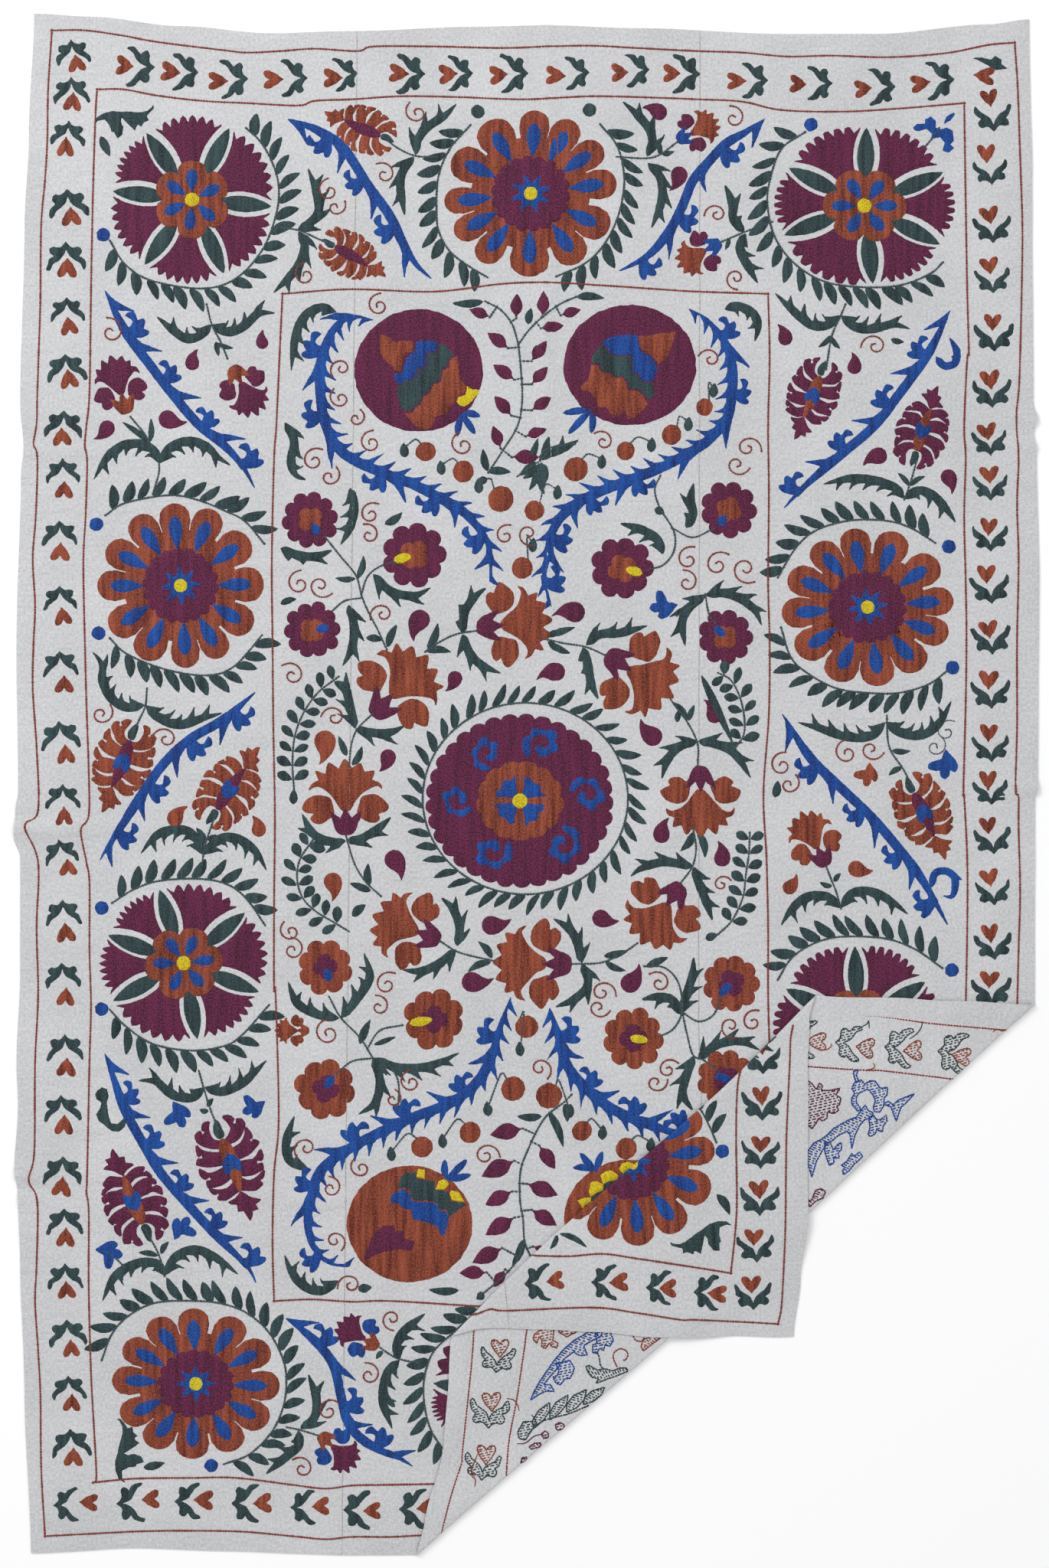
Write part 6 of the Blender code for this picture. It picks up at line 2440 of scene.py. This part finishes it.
# Small blue flowers in the border, most of them bells with one point and three round lobes, and a
# small rust bell.
Bell = namedtuple("Bell", "x y facing size")
BELL = [
    (1, 21), (9, 12), (15, 5), (17, -4), (13, -10), (7, -7), (6, -14), (0, -19), (-6, -15), (-7, -8),
    (-14, -8), (-22, -5), (-21, 2), (-12, 6), (-5, 8), (-3, 14),
]
BELL_CORNERS = (0, 5, 9)
BLUE_BELLS = [
    Bell(1234, 999, 0, 1.0), Bell(233, 1456, 25, 0.95), Bell(331, 1446, -60, 0.85),
    Bell(238, 1604, 150, 0.9),
    Bell(143, 1636, 80, 0.95), Bell(866, 792, -80, 0.95),
]
RUST_BELL = Bell(1133, 1012, -6, 0.82)
BUTTERFLY_FLOWER = [
    (1192.2, 166.7), (1196.7, 162.2), (1207.8, 161.1), (1207.8, 155.6), (1215.6, 152.2), (1222.2, 157.8),
    (1222.2, 166.7), (1227.8, 168.9), (1236.7, 166.7), (1244.4, 171.1), (1245.6, 184.4), (1241.1, 188.9),
    (1246.7, 193.3), (1238.9, 200), (1231.1, 197.8), (1231.1, 193.3), (1233.3, 186.7), (1227.8, 180),
    (1218.9, 181.1), (1215.6, 180), (1216.7, 175.6), (1210, 168.9), (1198.9, 172.2), (1193.3, 170),
]
BUTTERFLY_DROP = [
    (1232.2, 161.1), (1235.6, 152.2), (1245.6, 146.7), (1247.3, 150), (1241.1, 157.8), (1233.3, 162.2),
]


def bell(flower):
    outline = drawn([(x * flower.size, y * flower.size) for x, y in BELL], BELL_CORNERS)
    return set_down(outline, flower.x, flower.y, flower.facing, 1.055)


blue_flowers = [bell(flower) for flower in BLUE_BELLS]
blue_flowers += [seen(BUTTERFLY_FLOWER), seen(BUTTERFLY_DROP)]
embroider("blue_flowers", "blue", blue_flowers)
embroider("rust_bell", "rust", [bell(RUST_BELL)])


# Tendrils between the motifs: single rows of chain stitch that coil up, some of them in pairs.
Curl = namedtuple("Curl", "x y radius start turns")
CURLS = [
    Curl(545, 148, 13, 200, -1.4), Curl(502, 228, 13, 80, 1.3), Curl(430, 250, 13, 140, -1.3),
    Curl(438, 271, 11, 20, 1.2), Curl(399, 360, 13, 170, -1.4), Curl(145, 434, 15, 60, 1.3),
    Curl(495, 400, 13, 190, -1.5), Curl(446, 481, 12, 150, 1.4), Curl(445, 521, 12, 200, -1.4),
    Curl(465, 547, 10, 20, 1.3), Curl(485, 579, 13, 190, -1.5), Curl(605, 582, 14, 180, -1.4),
    Curl(410, 602, 14, 130, -1.4), Curl(430, 623, 12, 10, 1.3), Curl(484, 672, 13, 130, -1.4),
    Curl(482, 699, 12, 70, 1.3), Curl(660, 700, 12, 110, -1.3), Curl(690, 697, 13, 250, 1.3),
    Curl(391, 763, 14, 160, -1.4), Curl(418, 765, 14, 250, 1.4), Curl(958, 155, 13, 60, 1.3),
    Curl(936, 280, 12, 110, 1.4), Curl(961, 363, 12, 200, 1.4), Curl(1143, 452, 14, 110, 1.4),
    Curl(928, 469, 12, 120, 1.3), Curl(788, 577, 12, 60, 1.4), Curl(976, 585, 14, 60, -1.4),
    Curl(962, 607, 13, 300, 1.3), Curl(899, 731, 14, 110, -1.3), Curl(897, 761, 13, 60, 1.3),
    Curl(937, 738, 15, 120, -1.4), Curl(973, 743, 16, 230, 1.4), Curl(500, 802, 13, 130, 1.4),
    Curl(382, 882, 14, 60, 1.4), Curl(437, 937, 13, 100, 1.4), Curl(132, 933, 13, 330, 1.4),
    Curl(217, 965, 14, 110, 1.4), Curl(380, 1217, 12, 200, -1.4), Curl(382, 1241, 13, 20, 1.4),
    Curl(505, 1286, 14, 130, -1.4), Curl(495, 1315, 12, 60, 1.3), Curl(429, 1350, 15, 200, -1.5),
    Curl(537, 1414, 13, 170, -1.4), Curl(513, 1436, 10, 30, 1.3), Curl(705, 1395, 13, 20, -1.4),
    Curl(1106, 984, 14, 170, -1.4), Curl(1137, 979, 13, 300, 1.3), Curl(1021, 1000, 14, 150, -1.4),
    Curl(1030, 1025, 12, 10, 1.3), Curl(942, 1155, 10, 70, -1.3), Curl(861, 1284, 13, 60, 1.4),
    Curl(786, 1296, 14, 60, -1.4), Curl(781, 1316, 12, 300, 1.3), Curl(983, 1335, 13, 110, -1.3),
    Curl(954, 1340, 13, 250, 1.3), Curl(872, 1397, 12, 110, -1.4), Curl(856, 1414, 12, 330, 1.3),
    Curl(400, 1499, 13, 150, 1.4), Curl(472, 1526, 12, 200, -1.4), Curl(432, 1552, 12, 20, 1.4),
    Curl(437, 1620, 12, 20, -1.4), Curl(634, 1509, 14, 100, -1.5), Curl(458, 1678, 13, 120, 1.4),
    Curl(512, 1722, 12, 200, 1.4), Curl(482, 1796, 13, 30, 1.4), Curl(429, 1843, 13, 120, -1.4),
    Curl(395, 1918, 13, 60, 1.4),
]


CURL_STEPS = 26
CURL_TURNS_SHARE = 0.86
CURL_INNER = 0.22
CURL_TAIL_FROM = 0.75
CURL_TAIL_OPENING = 1.1
TENDRIL_WIDTH = 0.0029
TENDRIL_STITCH = 0.0036
GREEN_TENDRIL_WIDTH = 0.0021


def coiled(curl):
    """A coil that starts in the middle and opens out into a short tail."""
    points = []
    for step in range(CURL_STEPS + 1):
        share = step / CURL_STEPS
        turn = math.radians(curl.start) + 2 * math.pi * CURL_TURNS_SHARE * curl.turns * share
        opening = 1 + CURL_TAIL_OPENING * max(0, share - CURL_TAIL_FROM)
        reach = curl.radius * (CURL_INNER + 0.84 * share ** 0.9) * opening
        points.append((curl.x + reach * math.cos(turn), curl.y - 0.95 * reach * math.sin(turn)))
    return smooth_path(seen(points), 0.003)


coils = [coiled(curl) for curl in CURLS]
chain_stitched(
    "tendrils", RUSSET_LINE, coils, on_cover, TENDRIL_WIDTH, TENDRIL_STITCH
)
GREEN_CURLS = [Curl(1236, 956, 13, 100, -1.3), Curl(1221, 976, 12, 10, 1.3)]
coils = [coiled(curl) for curl in GREEN_CURLS]
chain_stitched("green_tendrils", GREEN_LINE, coils, on_cover, GREEN_TENDRIL_WIDTH)


# The motifs on the band between the two folds, where the cover shows its reverse: part of a purple
# rosette, two blue vines with their buds, ring leaves, a toothed leaf and a flower. They are filled
# on the hidden face like all the others.
BAND_PLUM = [
    [
        (1030, 1408), (1048, 1406), (1060, 1415), (1066, 1423), (1070, 1414), (1074, 1418), (1072, 1424),
        (1084, 1424), (1097, 1421), (1091, 1430), (1098, 1434), (1096, 1443), (1092, 1444), (1095, 1450),
        (1089, 1454), (1080, 1452), (1080, 1460), (1074, 1464), (1069, 1460), (1066, 1466), (1060, 1474),
        (1052, 1466), (1032, 1464),
    ],
    [
        (1053, 1566), (1059, 1568), (1065, 1554), (1072, 1552), (1078, 1556), (1074, 1564), (1064, 1569),
        (1057, 1576),
    ],
    [(707, 1872), (712, 1868), (716, 1871), (716, 1877), (710, 1878)],
    [(725, 1860), (731, 1857), (737, 1860), (735, 1866), (727, 1867)],
    [(691, 1889), (698, 1884), (707, 1884), (704, 1889), (694, 1892)],
    [(680, 1910), (682, 1903), (688, 1902), (688, 1906)],
]
BAND_BLUE = [
    [
        (1060, 1537), (1054, 1516), (1055, 1503), (1062, 1493), (1072, 1488), (1080, 1482), (1088, 1474),
        (1098, 1468), (1109, 1462), (1118, 1459), (1124, 1450), (1130, 1443), (1133, 1450), (1140, 1453),
        (1138, 1459), (1129, 1462), (1122, 1470), (1116, 1483), (1112, 1500), (1110, 1482), (1106, 1477),
        (1094, 1483), (1086, 1490), (1079, 1494), (1074, 1502), (1066, 1516),
    ],
    [
        (1120, 1451), (1112, 1442), (1112, 1434), (1116, 1428), (1112, 1421), (1116, 1413), (1124, 1410),
        (1129, 1416), (1136, 1411), (1143, 1412), (1149, 1421), (1159, 1420), (1158, 1430), (1154, 1434),
        (1154, 1443), (1149, 1452), (1142, 1452), (1140, 1446), (1143, 1438), (1140, 1430), (1133, 1422),
        (1122, 1427), (1118, 1433), (1118, 1440), (1124, 1448),
    ],
    [(1118, 1414), (1114, 1402), (1115, 1398), (1120, 1398), (1118, 1404), (1121, 1412)],
    [
        (1153, 1442), (1160, 1438), (1166, 1443), (1172, 1437), (1194, 1428), (1183, 1440), (1176, 1446),
        (1170, 1464), (1167, 1456), (1163, 1445),
    ],
    [
        (1134, 1460), (1140, 1456), (1144, 1462), (1150, 1462), (1157, 1456), (1158, 1464), (1153, 1470),
        (1152, 1478), (1144, 1475), (1143, 1480), (1137, 1484), (1133, 1482), (1136, 1472),
    ],
    [
        (1077, 1491), (1084, 1492), (1088, 1502), (1094, 1494), (1098, 1492), (1099, 1500), (1094, 1506),
        (1096, 1512), (1088, 1512), (1089, 1518), (1083, 1522), (1080, 1514), (1077, 1504),
    ],
    [
        (1098, 1522), (1106, 1516), (1112, 1506), (1115, 1510), (1122, 1504), (1126, 1510), (1120, 1516),
        (1115, 1520), (1109, 1528), (1101, 1534), (1100, 1528), (1104, 1524),
    ],
    [
        (693, 1828), (698, 1816), (706, 1802), (715, 1789), (724, 1776), (737, 1761), (750, 1750),
        (764, 1742), (776, 1733), (786, 1732), (786, 1744), (774, 1750), (762, 1757), (767, 1769),
        (757, 1770), (749, 1765), (737, 1774), (725, 1790), (716, 1800), (710, 1808), (719, 1808),
        (724, 1817), (714, 1816), (705, 1820),
    ],
    [
        (725, 1780), (737, 1778), (744, 1776), (750, 1786), (748, 1793), (744, 1800), (738, 1800),
        (732, 1808), (726, 1806), (722, 1798), (728, 1796), (730, 1789),
    ],
    [
        (776, 1736), (792, 1734), (798, 1742), (801, 1750), (796, 1758), (790, 1756), (788, 1764),
        (783, 1760), (779, 1767), (774, 1766), (774, 1756), (780, 1754), (778, 1746),
    ],
]
BAND_RUST = [
    [
        (710, 1728), (723, 1728), (723, 1740), (722, 1750), (729, 1754), (727, 1760), (720, 1758),
        (718, 1753), (712, 1761), (707, 1758), (708, 1750), (704, 1745), (701, 1754), (696, 1748),
        (698, 1742), (704, 1738),
    ],
    [(729, 1728), (756, 1728), (752, 1740), (746, 1742), (740, 1746), (735, 1742), (730, 1740)],
    [(840, 1749), (852, 1745), (862, 1747), (854, 1753), (846, 1759), (840, 1764), (837, 1758)],
]
BAND_GREEN = [
    [
        (765, 1784), (770, 1783), (780, 1789), (790, 1787), (800, 1790), (809, 1786), (818, 1786),
        (820, 1790), (806, 1796), (794, 1800), (784, 1804), (778, 1806), (782, 1800), (773, 1798),
        (768, 1792),
    ],
    [
        (678, 1866), (684, 1856), (694, 1856), (698, 1862), (692, 1871), (686, 1880), (678, 1878),
        (676, 1871),
    ],
    [(697, 1865), (695, 1856), (703, 1842), (718, 1831), (718, 1842), (710, 1854)],
    [(718, 1854), (718, 1844), (726, 1831), (742, 1821), (740, 1833), (731, 1845)],
    [(740, 1844), (740, 1834), (749, 1822), (766, 1814), (763, 1827), (753, 1838)],
    [(762, 1834), (763, 1825), (773, 1816), (790, 1811), (785, 1821), (775, 1829)],
]
BAND_STEMS = [
    [(689, 1873), (700, 1861), (712, 1854), (726, 1850), (742, 1846), (757, 1840), (770, 1834)],
    [(780, 1766), (783, 1774), (784, 1783), (789, 1788)],
]
BAND_TENDRILS = [
    [
        (806, 1785), (801, 1774), (802, 1766), (810, 1761), (818, 1764), (820, 1770), (816, 1776),
        (812, 1775),
    ],
    [(791, 1735), (806, 1740), (824, 1742), (830, 1750), (838, 1751), (841, 1746)],
]
for dye, outlines in (("plum", BAND_PLUM), ("blue", BAND_BLUE), ("rust", BAND_RUST), ("green", BAND_GREEN)):
    embroider("band_motifs_" + dye, dye, [(seen(outline), 0.1) for outline in outlines], on_band)
chain_stitched("band_stems", GREEN_LINE, paths_through(BAND_STEMS), on_band)
chain_stitched("band_tendrils", RUSSET_LINE, paths_through(BAND_TENDRILS), on_band)


# The reverse of the embroidery on that band. The thread that ties a filling down comes through as
# a broken outline with short rungs inside it, a ruled line as a row of short stitches, and a few
# loose ends hang where a thread was cut off. Each stitch is a low ridge of thread.
REVERSE_WIDTH = 0.0026
REVERSE_RISE = 0.0005
REVERSE_STITCH = 0.0036
REVERSE_CLEAR = 0.0001
REVERSE_GAP = 0.0003
RUNG_STEP = 0.0034
RUNG_SAMPLE = 0.0010
RUNG_LENGTH = 0.0065
RUNG_WIDTH = 0.0022
RUNG_INSET = 0.0007
LOOSE_END_WIDTH = 0.0018
THREAD_OF = {"russet line thread": "russet", "green line thread": "green"}
LOOSE_ENDS_RUST = [
    [(1069, 1370), (1074, 1371), (1081, 1370), (1086, 1365), (1084, 1363)],
    [(1296, 1348), (1301, 1344), (1308, 1346), (1313, 1344)],
    [(1131, 1397), (1138, 1396), (1142, 1393), (1140, 1388)],
    [(662, 1826), (671, 1828), (676, 1835), (678, 1842)],
    [(615, 1919), (617, 1928), (621, 1932), (620, 1941)],
    [(624, 1898), (620, 1908), (616, 1918), (620, 1929)],
]
LOOSE_ENDS_GREEN = [
    [(1187, 1357), (1197, 1350), (1203, 1341), (1204, 1334)],
    [(1125, 1341), (1132, 1337), (1134, 1333), (1135, 1343)],
    [(694, 1847), (698, 1852), (701, 1860)],
    [(1245, 1397), (1249, 1391), (1251, 1386)],
]
LOOSE_ENDS_PLUM = [
    [(675, 1885), (686, 1884), (698, 1875), (710, 1872)],
]


def ridge(path, width):
    """One stitch on the reverse of the flat cloth: points with their lift, and faces."""
    path = np.asarray(path, float)
    run = np.gradient(path, axis=0)
    side = np.column_stack((-run[:, 1], run[:, 0])) / np.maximum(np.hypot(*run.T), 1e-9)[:, None]
    share = np.linspace(0, 1, len(path))
    spread = width / 2 * (0.6 + 0.4 * np.sin(math.pi * share) ** 0.6)
    low = np.full(len(path), -CLOTH / 2 - REVERSE_CLEAR)
    high = low - REVERSE_RISE * (0.3 + 0.7 * np.sin(math.pi * share) ** 0.6)
    points = np.vstack((
        np.column_stack((path + side * spread[:, None], low)),
        np.column_stack((path, high)),
        np.column_stack((path - side * spread[:, None], low)),
    ))
    count = len(path)
    faces = []
    for strip in range(2):
        for index in range(count - 1):
            first = strip * count + index
            faces.append([first, first + 1, first + count + 1, first + count])
    return points, faces


def stitches_along(path, length, gap, shake):
    """Cuts a path into short stitches that wander a little to either side."""
    path = np.asarray(path, float)
    legs = np.concatenate(([0], np.cumsum(np.hypot(*np.diff(path, axis=0).T))))
    made = []
    start = 0.0
    while start + 0.4 * length < legs[-1]:
        end = min(start + length * chance.uniform(0.8, 1.2), legs[-1])
        stops = np.linspace(start, end, 3)
        points = np.column_stack((np.interp(stops, legs, path[:, 0]), np.interp(stops, legs, path[:, 1])))
        points[0] += (chance.uniform(-shake, shake), chance.uniform(-shake, shake))
        points[2] += (chance.uniform(-shake, shake), chance.uniform(-shake, shake))
        made.append(points)
        start = end + gap
    return made


def rungs(outline):
    """Short stitches across a filling, seen from its reverse."""
    middle = outline.mean(0)
    spread = np.linalg.svd(outline - middle, full_matrices=False)
    long_axis = spread[2][0]
    slim = spread[1][0] > 1.9 * spread[1][1]
    turn = math.radians(62 if slim else 0)
    start = long_axis if slim else np.array((0.35, 0.94))
    along = np.array((
        start[0] * math.cos(turn) - start[1] * math.sin(turn),
        start[0] * math.sin(turn) + start[1] * math.cos(turn),
    ))
    across = np.array((-along[1], along[0]))
    offsets = (outline - middle) @ across
    reach = np.abs((outline - middle) @ along).max()
    steps = np.arange(-reach, reach, RUNG_SAMPLE)
    made = []
    for offset in np.arange(offsets.min() + RUNG_STEP * 0.6, offsets.max(), RUNG_STEP):
        shift = offset + chance.uniform(-0.15, 0.15) * RUNG_STEP
        points = middle + np.outer(steps, along) + shift * across
        within = inside(points, outline) & (distance_to(points, outline) > RUNG_INSET)
        run = []
        limit = RUNG_LENGTH * chance.uniform(0.6, 1.2)
        for point, is_in in zip(points, within):
            if is_in:
                run.append(point)
            if run and (not is_in or len(run) * RUNG_SAMPLE > limit):
                if len(run) > 2:
                    made.append(np.array((run[0], run[len(run) // 2], run[-2])))
                run = []
                limit = RUNG_LENGTH * chance.uniform(0.6, 1.2)
    return made


reverse = {"rust": [], "plum": [], "blue": [], "green": [], "yellow": [], "russet": []}
for dye, flat, place in worked:
    if place is not on_band:
        continue
    ring = even_loop(flat, 0.002)
    for stitch in stitches_along(np.vstack((ring, ring[:2])), REVERSE_STITCH, 0.3 * REVERSE_GAP, 0.0003):
        reverse[dye].append((stitch, REVERSE_WIDTH))
    for stitch in rungs(even_loop(flat, 0.002)):
        reverse[dye].append((stitch, RUNG_WIDTH))
for material_name, flat, place in lines_worked:
    if place is on_band:
        for stitch in stitches_along(flat, REVERSE_STITCH, REVERSE_GAP, 0.0004):
            reverse[THREAD_OF[material_name]].append((stitch, REVERSE_WIDTH))
for dye, charts in (("rust", LOOSE_ENDS_RUST), ("green", LOOSE_ENDS_GREEN), ("plum", LOOSE_ENDS_PLUM)):
    for chart in charts:
        reverse[dye].append((on_band(smooth_path(seen(chart), 0.002)), LOOSE_END_WIDTH))
for dye, stitches in reverse.items():
    if not stitches:
        continue
    points = []
    faces = []
    start = 0
    for path, width in stitches:
        made = ridge(path, width)
        points.append(made[0])
        faces += [[start + index for index in face] for face in made[1]]
        start += len(made[0])
    data = bpy.data.meshes.new("reverse_flat")
    data.from_pydata(np.vstack(points).tolist(), [], faces)
    mesh = bmesh.new()
    mesh.from_mesh(data)
    bpy.data.meshes.remove(data)
    piece = laid_object("reverse_" + dye, mesh)
    piece.data.shade_smooth()
    piece.data.materials.append(RUSSET_LINE if dye == "russet" else THREADS[dye])
    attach(piece, "root")


# The two seams that join the loom widths: a fine line of sewn thread that oversews the selvedges, worked
# from the face. The thread is partly real and partly painted shade: its colour is darker than the cloth, so
# that it also paints the line of shadow that lies along the seam.
SEAM_THREAD_WIDTH = 0.0016
SEAM_STITCH = 0.0042
# Painted shade: these two tones are darker than the cloth, so the seam thread's colour also carries the
# shade along the seam.
SEAM_THREAD_AND_SHADE = line_thread("sewing thread and painted seam shade", colour(150, 148, 146), colour(186, 185, 183))
SEAM_END = 0.03
SEAM_STEP = 0.01
SEAM_SWAY = 0.0003
SEAM_SWAY_RATE = 40
seam_y = np.arange(-HALF_LENGTH + SEAM_END, HALF_LENGTH - SEAM_END, SEAM_STEP)
seam_sway = SEAM_SWAY * np.sin(SEAM_SWAY_RATE * seam_y)
seam_paths = [
    np.column_stack((seam_x(seam, seam_y) + seam_sway, seam_y)) for seam in (LEFT_SEAM, RIGHT_SEAM)
]
chain_stitched(
    "seam_stitches_and_shade", SEAM_THREAD_AND_SHADE, seam_paths, np.asarray, SEAM_THREAD_WIDTH, SEAM_STITCH
)


# A camera straight above the cover, as in the photo, over a plain white floor, in soft light from
# large windows to the upper left.
CAMERA_HEIGHT = 6.2
SENSOR = 36.0
IMAGE_LONG_SIDE = 2048
IMAGE_SHORT_SIDE = 1370
camera_data = bpy.data.cameras.new("camera")
camera_data.sensor_fit = "VERTICAL"
camera_data.sensor_height = SENSOR
camera_data.lens = SENSOR * CAMERA_HEIGHT / (IMAGE_LONG_SIDE * PIXEL)
camera = bpy.data.objects.new("camera", camera_data)
camera_x = (IMAGE_SHORT_SIDE / 2 - ORIGIN_X) * PIXEL
camera_y = (ORIGIN_Y - IMAGE_LONG_SIDE / 2) * PIXEL
camera.location = (camera_x, camera_y, CAMERA_HEIGHT)
bpy.context.scene.collection.objects.link(camera)
bpy.context.scene.camera = camera

FLOOR_HALF = 6.0
FLOOR_LEVEL = -0.0002
floor_data = bpy.data.meshes.new("floor")
floor_corners = [(-1, -1), (1, -1), (1, 1), (-1, 1)]
floor_points = [(x * FLOOR_HALF, y * FLOOR_HALF, FLOOR_LEVEL) for x, y in floor_corners]
floor_data.from_pydata(floor_points, [], [(0, 1, 2, 3)])
floor = bpy.data.objects.new("floor", floor_data)
floor_white, floor_shader = principled("white floor", 0.9, 0.0)
floor_shader.inputs["Base Color"].default_value = (0.93, 0.93, 0.93, 1)
floor_data.materials.append(floor_white)
bpy.context.scene.collection.objects.link(floor)

Lamp = namedtuple("Lamp", "name place size power")
LAMPS = [
    Lamp("window", (-3.2, 2.6, 3.6), 2.6, 150),
    Lamp("far window", (2.8, 3.4, 4.6), 3.4, 60),
    Lamp("bounce", (1.5, -4.2, 4.2), 4.0, 50),
]
for lamp in LAMPS:
    light_data = bpy.data.lights.new(lamp.name, "AREA")
    light_data.size = lamp.size
    light_data.energy = lamp.power
    light = bpy.data.objects.new(lamp.name, light_data)
    light.location = lamp.place
    light.rotation_euler = (-Vector(lamp.place)).to_track_quat("-Z", "Y").to_euler()
    bpy.context.scene.collection.objects.link(light)
world = bpy.data.worlds.new("room")
bpy.context.scene.world = world
world.use_nodes = True
world.node_tree.nodes["Background"].inputs["Color"].default_value = (1.0, 1.0, 1.0, 1)
world.node_tree.nodes["Background"].inputs["Strength"].default_value = 0.62
bpy.context.scene.view_settings.view_transform = "Standard"
